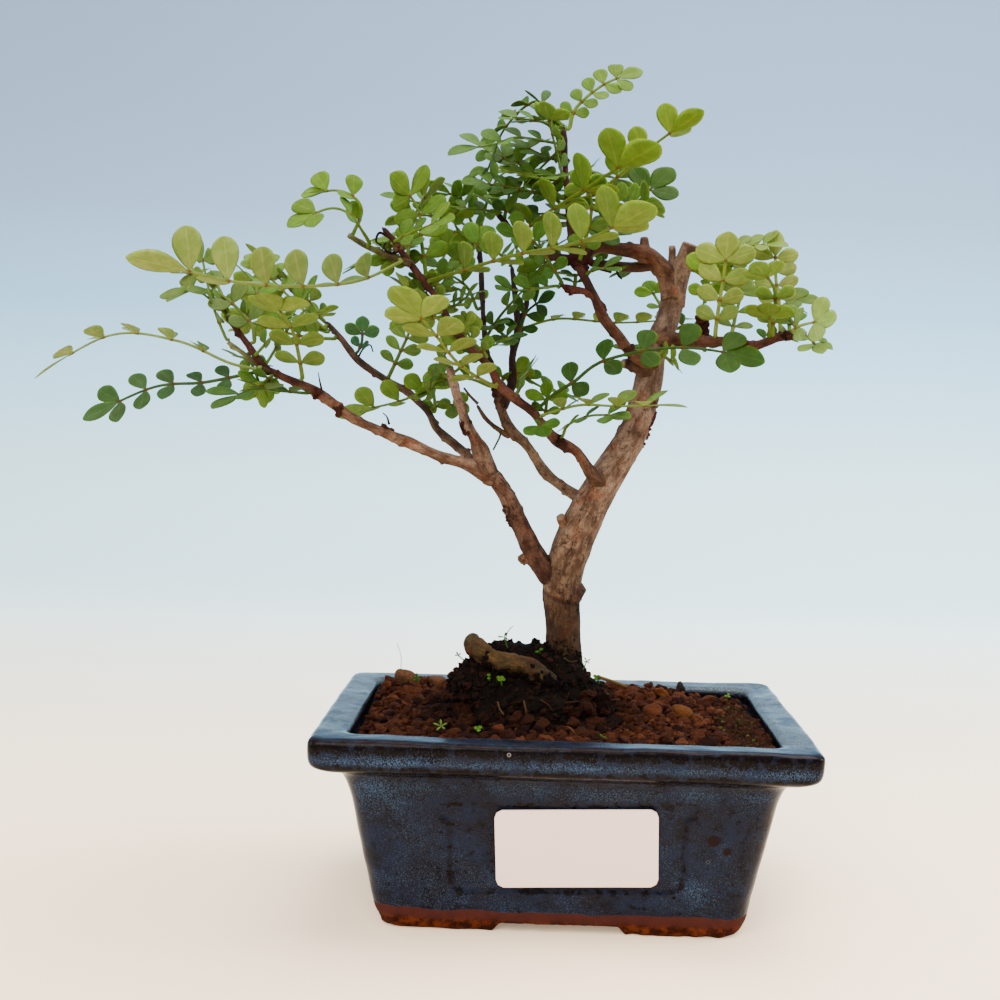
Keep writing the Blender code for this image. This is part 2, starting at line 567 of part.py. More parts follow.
def make_pot(parts, cutters, material):
    """The fired pot: lofted shell, feet, drain holes and the panels in its long walls."""
    pot = loft("pot", pot_rings(), parts, material)
    under = (
        ("feet_gap_front", FRONT_GAP[0] / 2, CUTTER_REACH, FRONT_GAP[1]),
        ("feet_gap_side", CUTTER_REACH, SIDE_GAP[0] / 2, SIDE_GAP[1]),
        ("base_recess", BASE_RECESS[0] / 2, BASE_RECESS[1] / 2, BASE_RECESS[2]),
    )
    for name, half_x, half_y, height in under:
        cut(pot, box(name, (-half_x, -half_y, -3.0), (half_x, half_y, height), cutters))
    for side, sign in (("left", -1), ("right", 1)):
        bpy.ops.mesh.primitive_cylinder_add(
            vertices=16, radius=DRAIN_RADIUS * MM, depth=20.0 * MM,
            location=(sign * DRAIN_X * MM, 0.0, 6.0 * MM))
        drain = bpy.context.object
        drain.name = "drain_" + side
        for holder in list(drain.users_collection):
            holder.objects.unlink(drain)
        cutters.objects.link(drain)
        cut(pot, drain)
    for side, sign, centre_x, turn in (("front", -1, PANEL_CENTRE[0], PANEL_TURN), ("back", 1, 0.0, 0.0)):
        panel = plate("panel_" + side, panel_outline(), PANEL_DEPTH * 2, cutters)
        panel.matrix_world = on_wall(sign, (centre_x, PANEL_CENTRE[1]), turn, 0.0)
        cut(pot, panel)


def make_label(parts, material):
    """The bare white label, a hair off the glaze inside the front panel."""
    label = plate("label", label_outline(), LABEL_THICK, parts, material)
    label.matrix_world = on_wall(-1, LABEL_CENTRE, LABEL_TURN, GAP + LABEL_THICK / 2 - PANEL_DEPTH)


def make_drain_mesh(name, centre_x, parts, material):
    """Square netting: a sheet with windows, thickened."""
    window = (MESH_SIDE - MESH_BAR * (MESH_WINDOWS + 1)) / MESH_WINDOWS
    lines = [0.0]
    for _ in range(MESH_WINDOWS):
        lines.append(lines[-1] + MESH_BAR)
        lines.append(lines[-1] + window)
    lines.append(lines[-1] + MESH_BAR)
    count = len(lines)
    z = FLOOR_Z + GAP + MESH_THICK / 2
    points = [(centre_x + x - MESH_SIDE / 2, y - MESH_SIDE / 2, z) for y in lines for x in lines]
    faces = []
    for row in range(count - 1):
        for column in range(count - 1):
            if row % 2 == 1 and column % 2 == 1:
                continue
            corner = row * count + column
            faces.append((corner, corner + 1, corner + count + 1, corner + count))
    netting = add_mesh(name, points, faces, parts, material)
    thicken(netting, MESH_THICK)


def thicken(thing, thickness):
    """Give an open sheet an even wall, half to each side."""
    modifier = thing.modifiers.new("thickness", "SOLIDIFY")
    modifier.thickness = thickness * MM
    modifier.offset = 0.0
    modifier.use_even_offset = True


def soil_height(x, y, peak, rng):
    """Granules stand up on every second grid point; pebbles are flat domes among them."""
    share = rng.uniform(0.35, 1.0) if peak else -rng.uniform(0.2, 0.6)
    z = SOIL_LEVEL + GRAIN_HEIGHT * share
    for px, py, radius, height in PEBBLES:
        reach = math.hypot(x - px, (y - py) * 1.25) / radius
        if reach < 1.0:
            z = max(z, SOIL_LEVEL + height * math.sqrt(1.0 - reach * reach))
    return z


def make_soil(parts, cutters, material):
    """Granular fill: a bumpy top on a body that follows the pot's inside."""
    rng = random.Random(SEED)
    half_x = POT_LENGTH / 2 - MOUTH_INSET_X - GAP
    half_y = POT_DEPTH / 2 - MOUTH_INSET_Y - GAP
    columns, rows = GRAIN_CELLS
    points = []
    for row in range(rows + 1):
        for column in range(columns + 1):
            u = 2.0 * column / columns - 1.0
            v = 2.0 * row / rows - 1.0
            inside = 0 < row < rows and 0 < column < columns
            jitter = GRAIN_JITTER if inside else 0.0
            u += rng.uniform(-jitter, jitter) * 2.0 / columns
            v += rng.uniform(-jitter, jitter) * 2.0 / rows
            corner = SOIL_CORNER * (abs(u) * abs(v)) ** 12
            x = u * (half_x - corner)
            y = v * (half_y - corner)
            peak = row % 2 == 1 and column % 2 == 1
            z = soil_height(x, y, peak, rng) if inside else SOIL_LEVEL - SOIL_EDGE_DROP
            points.append((x, y, z))
    stride = columns + 1
    faces = []
    for row in range(rows):
        for column in range(columns):
            corner = row * stride + column
            a, b, c, d = corner, corner + 1, corner + stride + 1, corner + stride
            if (row + column) % 2:
                faces += [(a, b, d), (b, c, d)]
            else:
                faces += [(a, b, c), (a, c, d)]
    rim = list(range(columns))
    rim += [row * stride + columns for row in range(rows)]
    rim += [rows * stride + column for column in range(columns, 0, -1)]
    rim += [row * stride for row in range(rows, 0, -1)]
    upper = rim
    for z, extra in SOIL_SIDE:
        inset = inner_inset(z) + extra
        shrink_x = (half_x - inset) / half_x
        shrink_y = (half_y - inset) / half_y
        lower = []
        for index in rim:
            x, y, _ = points[index]
            lower.append(len(points))
            points.append((x * shrink_x, y * shrink_y, z))
        for k in range(len(rim)):
            after = (k + 1) % len(rim)
            faces.append((upper[k], lower[k], lower[after], upper[after]))
        upper = lower
    faces.append(tuple(reversed(upper)))
    soil = add_mesh("soil", points, faces, parts, material)
    face_outwards(soil)
    cut(soil, loft("ball_pocket", ball_rings(GAP, POCKET_HEAD), cutters))
    pocket = MESH_SIDE / 2 + GAP
    for side, sign in (("left", -1), ("right", 1)):
        x = sign * DRAIN_X
        cut(soil, box("netting_pocket_" + side, (x - pocket, -pocket, FLOOR_Z - 1.0),
                      (x + pocket, pocket, FLOOR_Z + MESH_THICK + 2 * GAP), cutters))


def ball_rings(grow, head=0.0):
    """Rings of the root ball, grown by a clearance; head carries the pocket over the soil."""
    rng = random.Random(SEED + 1)
    wobble = [[rng.uniform(-BALL_ROUGHNESS, BALL_ROUGHNESS) for _ in range(BALL_SIDES)]
              for _ in BALL_RINGS]
    rings = []
    for level, (cx, cy, half_x, half_y, z) in enumerate(BALL_RINGS):
        if head and z > POT_HEIGHT:
            break
        ring = []
        for k in range(BALL_SIDES):
            angle = 2.0 * math.pi * k / BALL_SIDES
            scale = 1.0 + wobble[level][k]
            x = cx + (half_x * scale + grow) * math.cos(angle)
            y = cy + (half_y * scale + grow) * math.sin(angle)
            ring.append((x, y, z - (grow if level == 0 else 0.0)))
        rings.append(ring)
    if head:
        rings.append([(x, y, z + head) for x, y, z in rings[-1]])
    return rings


def make_root_ball(parts, cutters, material):
    """The peat clump, with plain holes where the trunk and the roots stand in it."""
    ball = loft("root_ball", ball_rings(0.0), parts, material)
    cut(ball, wood_union("wood_hole", BURIED, GAP, cutters))


def smooth_route(points, step):
    """Catmull-Rom curve through points of any width, sampled about every step millimetres."""
    points = np.array(points, float)
    ends = np.vstack([2 * points[0] - points[1], points, 2 * points[-1] - points[-2]])
    route = []
    for k in range(1, len(ends) - 2):
        before, start, stop, after = ends[k - 1], ends[k], ends[k + 1], ends[k + 2]
        length = np.linalg.norm((stop - start)[:3])
        count = max(1, int(round(length / step)))
        for t in np.arange(count) / count:
            route.append(0.5 * (2 * start + (stop - before) * t
                                + (2 * before - 5 * start + 4 * stop - after) * t ** 2
                                + (3 * start - before - 3 * stop + after) * t ** 3))
    route.append(points[-1])
    return np.array(route)


def tube(name, route, grow, resolution, collection):
    """A round limb along a route of (x, y, z, radius), as a welded mesh."""
    curve = bpy.data.curves.new(name, "CURVE")
    curve.dimensions = "3D"
    curve.bevel_depth = MM
    curve.bevel_resolution = resolution
    curve.use_fill_caps = True
    spline = curve.splines.new("POLY")
    spline.points.add(len(route) - 1)
    for point, (x, y, z, radius) in zip(spline.points, route):
        point.co = (x * MM, y * MM, z * MM, 1.0)
        point.radius = radius + grow
    thing = bpy.data.objects.new(name, curve)
    collection.objects.link(thing)
    return as_mesh(thing, collection)


def wood_union(name, branches, grow, collection):
    """Join the named branches into one body, each grown by a clearance."""
    scrap = new_collection(name + "_limbs")
    limbs = []
    for branch in branches:
        resolution, points = BRANCHES[branch]
        route = smooth_route(points, ROUTE_STEP)
        if grow and branch != "surface_root":
            route[-1, :3] += grow * unit(route[-1, :3] - route[-2, :3])
        if grow:
            route[0, :3] += grow * unit(route[0, :3] - route[1, :3])
        limbs.append(tube(name + "_" + branch, route, grow, resolution, scrap))
    body = limbs[0]
    scrap.objects.unlink(body)
    collection.objects.link(body)
    modifier = body.modifiers.new("join", "BOOLEAN")
    modifier.operation = "UNION"
    modifier.operand_type = "COLLECTION"
    modifier.collection = scrap
    modifier.solver = "EXACT"
    bpy.context.view_layer.update()
    joined = as_mesh(body, collection)
    for limb in list(scrap.objects):
        bpy.data.objects.remove(limb, do_unlink=True)
    bpy.data.collections.remove(scrap)
    joined.name = name
    return joined


def unit(vector):
    """A vector of length one."""
    return vector / np.linalg.norm(vector)


def leaf_path(points, wood):
    """Seat the first point just off the bark, leave it squarely, then follow the points."""
    points = np.array(points, float)
    probe = points[0] + PROBE * unit(points[1] - points[0])
    spot, normal, _, _ = wood.find_nearest(Vector(probe * MM))
    out = np.array(normal)
    seat = np.array(spot) / MM + out * SEAT
    path = np.vstack([seat, seat + SQUARE_STEM * out, points[1:]])
    return smooth_route(path, PATH_STEP)


def frames_along(path, stations, facing):
    """Position, forward, side and up vectors at distances along a path."""
    steps = np.linalg.norm(np.diff(path, axis=0), axis=1)
    distance = np.concatenate([[0.0], np.cumsum(steps)])
    frames = []
    for station in stations:
        here = np.array([np.interp(station, distance, path[:, axis]) for axis in range(3)])
        ahead = np.array([np.interp(station + 1.0, distance, path[:, axis]) for axis in range(3)])
        behind = np.array([np.interp(station - 1.0, distance, path[:, axis]) for axis in range(3)])
        forward = unit(ahead - behind)
        up = unit(facing - np.dot(facing, forward) * forward)
        side = np.cross(forward, up)
        frames.append((here, forward, side, up))
    return frames


def leaflet(points, faces, base, direction, across, length, width, outline):
    """Add an obovate leaflet whose base edge is already in the sheet."""
    first, second = base
    root = (np.array(points[first]) + np.array(points[second])) / 2
    count = len(points)
    for along, half in outline:
        for sign in (-1, 1):
            points.append(tuple(root + direction * along * length + across * sign * half * width))
    points.append(tuple(root + direction * length))
    near_first, near_second, far_first, far_second, tip = range(count, count + 5)
    faces.append((first, second, near_second))
    faces.append((first, near_second, near_first))
    faces.append((near_first, near_second, far_second))
    faces.append((near_first, far_second, far_first))
    faces.append((far_first, far_second, tip))


def make_leaf(name, leaf, wood, parts, material):
    """One pinnate leaf: a rib with pairs of leaflets and one at the tip, in a single sheet."""
    points_in, pairs, length, width, lean, fold = leaf
    path = leaf_path(points_in, wood)
    total = np.sum(np.linalg.norm(np.diff(path, axis=0), axis=1))
    facing = np.array([0.0, -math.sin(math.radians(lean)), math.cos(math.radians(lean))])
    end_length = min(END_MOST * length, max(END_LEAST * length, END_SHARE * total))
    rib_end = total - end_length
    last_knot = rib_end - JOINT_HALF
    spacing = WIDEST_SPACING * width
    if pairs > 1:
        spacing = min(spacing, (last_knot - max(FIRST_PAIR, BARE_STEM * total)) / (pairs - 1))
    knots = [last_knot - spacing * k for k in range(pairs - 1, -1, -1)]
    width = min(width, CROWDING * spacing)
    stations = [0.0, knots[0] / 2]
    for knot in knots:
        stations += [knot - JOINT_HALF, knot + JOINT_HALF]
    points = []
    faces = []
    for station, (here, _, side, _) in zip(stations, frames_along(path, stations, facing)):
        half = RIB_WIDTH / 2 if station > 0.0 else STEM_WIDTH / 2
        points.append(tuple(here - side * half))
        points.append(tuple(here + side * half))
    for k in range(len(stations) - 1):
        left, right = 2 * k, 2 * k + 1
        faces.append((left, right, right + 2))
        faces.append((left, right + 2, left + 2))
    sweep = math.radians(SWEEP)
    rise = math.radians(fold)
    for k, (_, forward, side, up) in enumerate(frames_along(path, knots, facing)):
        scale = SMALLEST + (1.0 - SMALLEST) * (k / (pairs - 1) if pairs > 1 else 1.0)
        corner = 2 * (2 + 2 * k)
        for sign in (-1, 1):
            outward = sign * side * math.cos(rise) + up * math.sin(rise)
            direction = unit(forward * math.cos(sweep) + outward * math.sin(sweep))
            across = unit(forward - np.dot(forward, direction) * direction)
            near = corner + (0 if sign < 0 else 1)
            leaflet(points, faces, (near, near + 2), direction, across,
                    length * scale, width * scale, SIDE_OUTLINE)
    _, forward, side, _ = frames_along(path, [rib_end], facing)[0]
    last = 2 * (len(stations) - 1)
    leaflet(points, faces, (last, last + 1), forward, side,
            end_length, width * END_WIDTH, END_OUTLINE)
    blade = add_mesh(name, points, faces, parts, material)
    face_outwards(blade)
    thicken(blade, BLADE_THICK)


def centre_footprint(things):
    """Matrix that carries the middle of the whole footprint to the origin."""
    bpy.context.view_layer.update()
    graph = bpy.context.evaluated_depsgraph_get()
    low = Vector((1e9, 1e9, 1e9))
    high = -low
    for thing in things:
        solid = thing.evaluated_get(graph)
        for vertex in solid.data.vertices:
            place = solid.matrix_world @ vertex.co
            for axis in range(3):
                low[axis] = min(low[axis], place[axis])
                high[axis] = max(high[axis], place[axis])
    return Matrix.Translation(Vector((-(low.x + high.x) / 2, -(low.y + high.y) / 2, 0.0)))


def build():
    """Make every piece and set the whole on the origin."""
    clear_scene()
    parts = new_collection("chinese_pepper_bonsai")
    cutters = new_collection("cutters")
    glaze = new_material("blue_glaze", (0.03, 0.06, 0.15), 0.18, 0.6)
    granules = new_material("baked_clay_granules", (0.22, 0.07, 0.03), 0.95)
    peat = new_material("dark_peat", (0.02, 0.014, 0.01), 1.0)
    bark = new_material("bark", (0.29, 0.19, 0.12), 0.85)
    green = new_material("leaf_green", (0.16, 0.34, 0.05), 0.45)
    white = new_material("label_paper", (0.85, 0.85, 0.85), 0.5)
    black = new_material("black_netting", (0.02, 0.02, 0.02), 0.5)

    make_pot(parts, cutters, glaze)
    make_label(parts, white)
    make_drain_mesh("drain_mesh_left", -DRAIN_X, parts, black)
    make_drain_mesh("drain_mesh_right", DRAIN_X, parts, black)
    make_soil(parts, cutters, granules)
    make_root_ball(parts, cutters, peat)
    wood = wood_union("tree_wood", tuple(BRANCHES), 0.0, parts)
    wood.data.materials.clear()
    wood.data.materials.append(bark)
    wood.data.shade_smooth()
    bpy.context.view_layer.update()
    bark_surface = BVHTree.FromObject(wood, bpy.context.evaluated_depsgraph_get())
    for twig, leaves in LEAVES.items():
        for number, leaf in enumerate(leaves, start=1):
            make_leaf(f"leaf_{twig}_{number}", leaf, bark_surface, parts, green)

    shift = centre_footprint(list(parts.objects))
    for thing in list(parts.objects) + list(cutters.objects):
        thing.matrix_world = shift @ thing.matrix_world
    bpy.context.view_layer.update()


build()
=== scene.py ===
# %% [markdown]
# # A chinese pepper bonsai, dressed for the camera
#
# The object is a small indoor tree with feathered leaves, in a dark blue glazed pot full of
# baked-clay granules. Its solids are packed as a CAD model. This lesson loads that model as a
# fixed frame and lays finer surfaces over it, one cell at a time.

# %% Load the frame
import functools
import math

import bpy
import numpy as np
from mathutils import Matrix, Vector
from mathutils.bvhtree import BVHTree


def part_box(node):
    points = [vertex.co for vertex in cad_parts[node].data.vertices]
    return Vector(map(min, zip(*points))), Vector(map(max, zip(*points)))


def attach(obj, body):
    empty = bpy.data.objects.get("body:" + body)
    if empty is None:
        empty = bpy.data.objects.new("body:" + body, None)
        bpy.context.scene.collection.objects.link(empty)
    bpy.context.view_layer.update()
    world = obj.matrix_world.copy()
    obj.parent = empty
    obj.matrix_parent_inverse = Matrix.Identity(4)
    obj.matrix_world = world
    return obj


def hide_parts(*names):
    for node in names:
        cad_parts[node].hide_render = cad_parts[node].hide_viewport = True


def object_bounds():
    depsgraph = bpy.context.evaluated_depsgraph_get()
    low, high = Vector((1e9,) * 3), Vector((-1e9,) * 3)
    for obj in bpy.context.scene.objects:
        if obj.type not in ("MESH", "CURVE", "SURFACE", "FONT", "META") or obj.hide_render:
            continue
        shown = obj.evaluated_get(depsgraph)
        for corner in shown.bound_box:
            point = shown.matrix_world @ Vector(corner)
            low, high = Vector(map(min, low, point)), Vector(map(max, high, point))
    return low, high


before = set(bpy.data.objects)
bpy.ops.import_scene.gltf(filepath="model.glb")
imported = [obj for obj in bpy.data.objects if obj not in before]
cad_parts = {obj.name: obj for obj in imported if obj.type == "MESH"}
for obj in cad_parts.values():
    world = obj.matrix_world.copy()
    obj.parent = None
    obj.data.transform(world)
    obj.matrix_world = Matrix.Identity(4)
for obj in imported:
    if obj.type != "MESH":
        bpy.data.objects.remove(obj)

CAD_BOX = [[float(c) for c in corner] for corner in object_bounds()]
MM = 0.001
pot_low, pot_high = (np.array(corner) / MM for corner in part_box("pot"))
POT_CENTRE = np.array([(pot_low[0] + pot_high[0]) / 2, (pot_low[1] + pot_high[1]) / 2, 0.0])
print("pot centre in mm:", POT_CENTRE.round(2))

# %% [markdown]
# ## Points, faces and pieces
#
# Every new surface here is a grid of points that numpy works out as whole arrays. All shapes
# are given in millimetres from the middle of the pot's foot, because that is how a person
# would measure the tree. One helper makes the faces of a closed tube of points, one puts
# points and faces into a mesh, and one moves the finished piece to where the CAD model has
# the pot. Blender could also do this with its own primitives, but a grid keeps each formula
# in sight.

# %% Helpers for grids and pieces
def skin(grid):
    """Close a tube of rings into a surface.

    Quads join ring i to ring i + 1 and point j to point j + 1, where the last point joins the
    first. A fan of triangles from the middle of the first and the last ring closes the ends.
    """
    rings, sides = grid.shape[:2]
    index = np.arange(rings * sides).reshape(rings, sides)
    after = np.roll(index, -1, axis=1)
    quads = np.stack([index[:-1], after[:-1], after[1:], index[1:]], axis=-1).reshape(-1, 4)
    start = np.full(sides, rings * sides)
    points = np.vstack([grid.reshape(-1, 3), grid[0].mean(0), grid[-1].mean(0)])
    fans = np.vstack([np.stack([after[0], index[0], start], axis=-1),
                      np.stack([index[-1], after[-1], start + 1], axis=-1)])
    return points, quads, fans


def ring_faces(rows, columns):
    """Quads of a grid that joins up with itself round its columns and round its rows, as the
    wall of a pot does."""
    index = np.arange(rows * columns).reshape(rows, columns)
    above = np.roll(index, -1, axis=0)
    return np.stack([index, np.roll(index, -1, axis=1), np.roll(above, -1, axis=1), above],
                    axis=-1).reshape(-1, 4)


def repeat_faces(faces, count, stride):
    """The same faces for count copies of a shape whose copies are stride points apart."""
    return (faces[None] + stride * np.arange(count)[:, None, None]).reshape(-1, faces.shape[1])


def join_shapes(parts):
    """Put shapes and their values one after the other: the points of each follow the last
    one's, and its faces count on from there."""
    starts = np.cumsum([0] + [len(shape[0]) for shape, _ in parts[:-1]])
    points = np.vstack([shape[0] for shape, _ in parts])
    quads, fans = (np.vstack([shape[kind] + start for (shape, _), start in zip(parts, starts)])
                   for kind in (1, 2))
    return (points, quads, fans), {key: np.concatenate([values[key] for _, values in parts])
                                   for key in parts[0][1]}


def unit(vectors):
    """Vectors of length one: each divided by the root of the sum of its squares."""
    return vectors / np.linalg.norm(vectors, axis=-1, keepdims=True)


def full_turn(steps):
    """Angles of a whole turn in equal steps, without its end, which is its start again."""
    return np.linspace(0.0, 2 * np.pi, steps + 1)[:-1]


def put_mesh(name, points, quads, triangles=None):
    """A mesh from points in millimetres round the pot's centre, moved into the frame."""
    faces = [quads] if triangles is None else [quads, triangles]
    corners = np.concatenate([part.ravel() for part in faces])
    sizes = np.concatenate([np.full(len(part), part.shape[1]) for part in faces])
    mesh = bpy.data.meshes.new(name)
    mesh.vertices.add(len(points))
    mesh.vertices.foreach_set("co", ((points + POT_CENTRE) * MM).ravel())
    mesh.loops.add(len(corners))
    mesh.loops.foreach_set("vertex_index", corners)
    mesh.polygons.add(len(sizes))
    mesh.polygons.foreach_set("loop_start", np.concatenate([[0], np.cumsum(sizes)[:-1]]))
    mesh.polygons.foreach_set("use_smooth", np.ones(len(sizes), bool))
    mesh.update(calc_edges=True)
    return mesh


def write_values(mesh, values):
    """Store one number or one colour for each point as a named attribute."""
    for name, data in values.items():
        data = np.asarray(data, np.float32)
        if data.ndim == 1:
            mesh.attributes.new(name, "FLOAT", "POINT").data.foreach_set("value", data)
        elif data.shape[1] == 4:
            mesh.attributes.new(name, "FLOAT_COLOR", "POINT").data.foreach_set("color", data.ravel())
        else:
            mesh.attributes.new(name, "FLOAT_VECTOR", "POINT").data.foreach_set("vector", data.ravel())


def add_piece(name, shape, material, stands_for=(), values=None, crumbly=False):
    """Put one finished piece in the scene: its mesh, finish, body and the CAD nodes that it
    stands for. Values hold one row for each point, and those called uv are places on the
    piece's own map. Crumbly lumps keep flat facets."""
    mesh = put_mesh(name, *shape)
    if crumbly:
        mesh.shade_flat()
    values = dict(values or {})
    uv = values.pop("uv", None)
    write_values(mesh, values)
    if uv is not None:
        corner = np.empty(len(mesh.loops), np.int32)
        mesh.loops.foreach_get("vertex_index", corner)
        mesh.uv_layers.new(name="UVMap").data.foreach_set("uv", uv[corner].astype(np.float32).ravel())
    mesh.materials.append(material)
    piece = bpy.data.objects.new(name, mesh)
    bpy.context.scene.collection.objects.link(piece)
    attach(piece, "root")
    if stands_for:
        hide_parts(*stands_for)
    return piece


# %% [markdown]
# ## Noise that numpy can carry
#
# Fired clay, bark and peat are never even. A sculptor would press in bumps by hand; here a
# table of random numbers is read as a lattice in space and blended smoothly between its
# corners. Adding half-size copies at half strength gives finer and finer bumps.

# %% Smooth lattice noise
NOISE_SIDE = 32
NOISE_TABLE = np.random.default_rng(5).uniform(-1.0, 1.0, (NOISE_SIDE, NOISE_SIDE, NOISE_SIDE))


def smooth(low, high, value):
    """Smooth step: 0 below low, 1 above high, and 3t² - 2t³ between them."""
    t = np.clip((value - low) / (high - low), 0.0, 1.0)
    return t * t * (3.0 - 2.0 * t)


def noise(points, size, seed=0.0):
    """Smooth noise from -1 to 1 whose bumps are size millimetres wide: the mean of the eight
    lattice corners round each point, weighted by the smooth step along each axis."""
    cell = np.asarray(points) / size + seed * 7.31
    low = np.floor(cell).astype(int)
    t = smooth(0.0, 1.0, cell - low)
    low %= NOISE_SIDE
    high = (low + 1) % NOISE_SIDE
    total = 0.0
    for ix, wx in ((low[..., 0], 1 - t[..., 0]), (high[..., 0], t[..., 0])):
        for iy, wy in ((low[..., 1], 1 - t[..., 1]), (high[..., 1], t[..., 1])):
            for iz, wz in ((low[..., 2], 1 - t[..., 2]), (high[..., 2], t[..., 2])):
                total = total + NOISE_TABLE[ix, iy, iz] * wx * wy * wz
    return total


def rough(points, size, seed=0.0, layers=3):
    """Layered noise: each layer has bumps half as wide and half as high as the last."""
    return sum(noise(points, size / 2 ** k, seed + k) / 2 ** k for k in range(layers))


# %% [markdown]
# ## Materials
#
# Each finish below starts as a Principled surface and gets its pattern from nodes. Colours
# are written as the hex values that a person reads off a screen, and one function turns them
# into the linear values that the renderer wants. A white wall in this studio sends back about
# three times the light of a plain white, so a paint that shall look like its hex value is
# made as much darker. One more function adds any node, fills its inputs and links it.

# %% Colour and node helpers
STUDIO_LIGHT = 3.2
PAINT = 1.0 / STUDIO_LIGHT
BLEND = {"data_type": "RGBA", "out": 2}
TINT = {"data_type": "RGBA", "blend_type": "MULTIPLY", "out": 2}
EASE = {"interpolation_type": "SMOOTHSTEP"}


def linear(hex_text, gain=1.0):
    """Turn an sRGB hex value to linear red, green and blue: divide by 12.92 near black, and
    otherwise raise (value + 0.055) / 1.055 to the power 2.4. Gain brightens the result."""
    srgb = np.array([int(hex_text[k:k + 2], 16) for k in (1, 3, 5)]) / 255.0
    value = np.where(srgb <= 0.04045, srgb / 12.92, ((srgb + 0.055) / 1.055) ** 2.4)
    return np.clip(value * gain, 0.0, 1.0)


def rgba(hex_text, gain=PAINT):
    """The same as a paint, with a fourth number for sockets and colour attributes."""
    return (*linear(hex_text, gain), 1.0)


def paints(hex_texts):
    """Several paints as the rows of one array."""
    return np.array([rgba(text) for text in hex_texts])


def add_node(material, kind, inputs=None, out=0, **settings):
    """Add one node, set its properties, fill or link its inputs by name or number, and give
    back the output that is asked for."""
    made = material.node_tree.nodes.new("ShaderNode" + kind)
    for key, value in settings.items():
        setattr(made, key, value)
    for key, value in (inputs or {}).items():
        if isinstance(value, bpy.types.NodeSocket):
            material.node_tree.links.new(value, made.inputs[key])
        else:
            made.inputs[key].default_value = value
    return made.outputs[out]


def new_finish(name, roughness, ior, level=0.5):
    """A material with one Principled surface, and add_node bound to it."""
    material = bpy.data.materials.new(name)
    material.use_nodes = True
    surface = material.node_tree.nodes["Principled BSDF"]
    surface.inputs["Roughness"].default_value = roughness
    surface.inputs["IOR"].default_value = ior
    surface.inputs["Specular IOR Level"].default_value = level
    return material, functools.partial(add_node, material)


def feed(material, **sources):
    """Link outputs to the surface. Underscores stand for the spaces in a socket's name."""
    surface = material.node_tree.nodes["Principled BSDF"]
    for socket, source in sources.items():
        material.node_tree.links.new(source, surface.inputs[socket.replace("_", " ")])


print("helpers ready")

# %% [markdown]
# ## The glazed pot
#
# The pot is slip-cast stoneware: straight flared walls, a heavy rolled lip with a flat top, a
# sunken panel on each long side and four low feet. A lathe can't make a rectangle and a box
# with bevels would miss the rolled lip. So one profile, from the foot over the lip and down
# the inside to the floor, is carried round a rounded rectangle. Each row of the grid is one
# height of the profile and each column is one place on the way round.

# %% Profile of the pot
POT_LENGTH = 150.0
POT_DEPTH = 107.5
MOUTH_X = POT_LENGTH / 2 - 10.8
MOUTH_Y = POT_DEPTH / 2 - 12.1
FLOOR_Z = 9.5
RECESS = (45.5, 24.3, 3.8)
DRAIN_RADIUS = 6.0
DRAIN_X = 27.0
WALL_FOOT = (17.4, 9.0)
WALL_TOP = (11.4, 41.0)

# Outside of the pot: inset from the lip's edge, height and corner radius.
OUTSIDE = (
    (21.6, 0.0, 6.0), (20.3, 0.7, 6.6), (19.4, 2.2, 7.2), (18.3, 5.0, 8.0), (17.4, 9.0, 8.0),
    (15.9, 17.0, 8.0), (14.4, 25.0, 8.0), (12.9, 33.0, 8.0), (11.4, 41.0, 8.0), (10.4, 45.2, 7.6),
    (9.3, 48.2, 7.2), (7.9, 50.0, 6.8), (5.6, 51.1, 6.0), (2.9, 52.0, 5.0), (1.1, 53.3, 4.2),
    (0.3, 55.2, 3.8), (0.1, 57.6, 3.5), (0.1, 60.0, 3.4), (0.5, 61.3, 3.4), (1.5, 62.0, 3.6),
    (3.0, 62.15, 4.0),
)

# Flat top of the lip, then down the inside: half length, half depth, height and radius.
INSIDE = (
    (68.5, 46.6, 61.9, 5.0), (66.4, 44.0, 61.8, 5.6), (65.1, 42.5, 61.2, 6.0),
    (64.4, 41.8, 60.0, 6.0), (64.2, 41.65, 57.0, 6.0), (61.5, 38.9, 46.0, 6.0),
    (56.9, 34.3, 28.0, 6.0), (53.6, 31.1, 15.0, 6.0), (50.5, 28.0, 9.5, 6.0),
)
UNDERSIDE = (
    (46.5, 25.2, 9.5, 1.2), (45.5, 24.3, 9.5, 1.0), (45.5, 24.3, 3.8, 1.0), (46.2, 25.0, 0.6, 1.5),
    (47.2, 26.0, 0.0, 2.0), (52.0, 30.8, 0.0, 5.5),
)
WALL_STEP = 0.85
LIP_STEP = 1.2
INSIDE_STEP = 4.0


def catmull_rom(points, step):
    """Smooth curve through points of any width, sampled about every step.

    Between b and c, with a before and d after, the curve at t is half of
    2b + (c - a)t + (2a - 5b + 4c - d)t² + (3b - a - 3c + d)t³.
    """
    points = np.asarray(points, float)
    ends = np.vstack([2 * points[0] - points[1], points, 2 * points[-1] - points[-2]])
    pieces = []
    for a, b, c, d in zip(ends[:-3], ends[1:-2], ends[2:-1], ends[3:]):
        count = max(1, int(round(np.linalg.norm((c - b)[:3]) / step)))
        t = (np.arange(count) / count)[:, None]
        pieces.append(0.5 * (2 * b + (c - a) * t + (2 * a - 5 * b + 4 * c - d) * t ** 2
                             + (3 * b - a - 3 * c + d) * t ** 3))
    return np.vstack(pieces + [points[-1:]])


outside = np.array([(POT_LENGTH / 2 - inset, POT_DEPTH / 2 - inset, z, radius)
                    for inset, z, radius in OUTSIDE])
outer_rows = catmull_rom(outside, WALL_STEP)
profile = np.vstack([outer_rows, catmull_rom(INSIDE[:5], LIP_STEP),
                     catmull_rom(INSIDE[4:], INSIDE_STEP)[1:], UNDERSIDE])
print("pot profile rows:", len(profile))

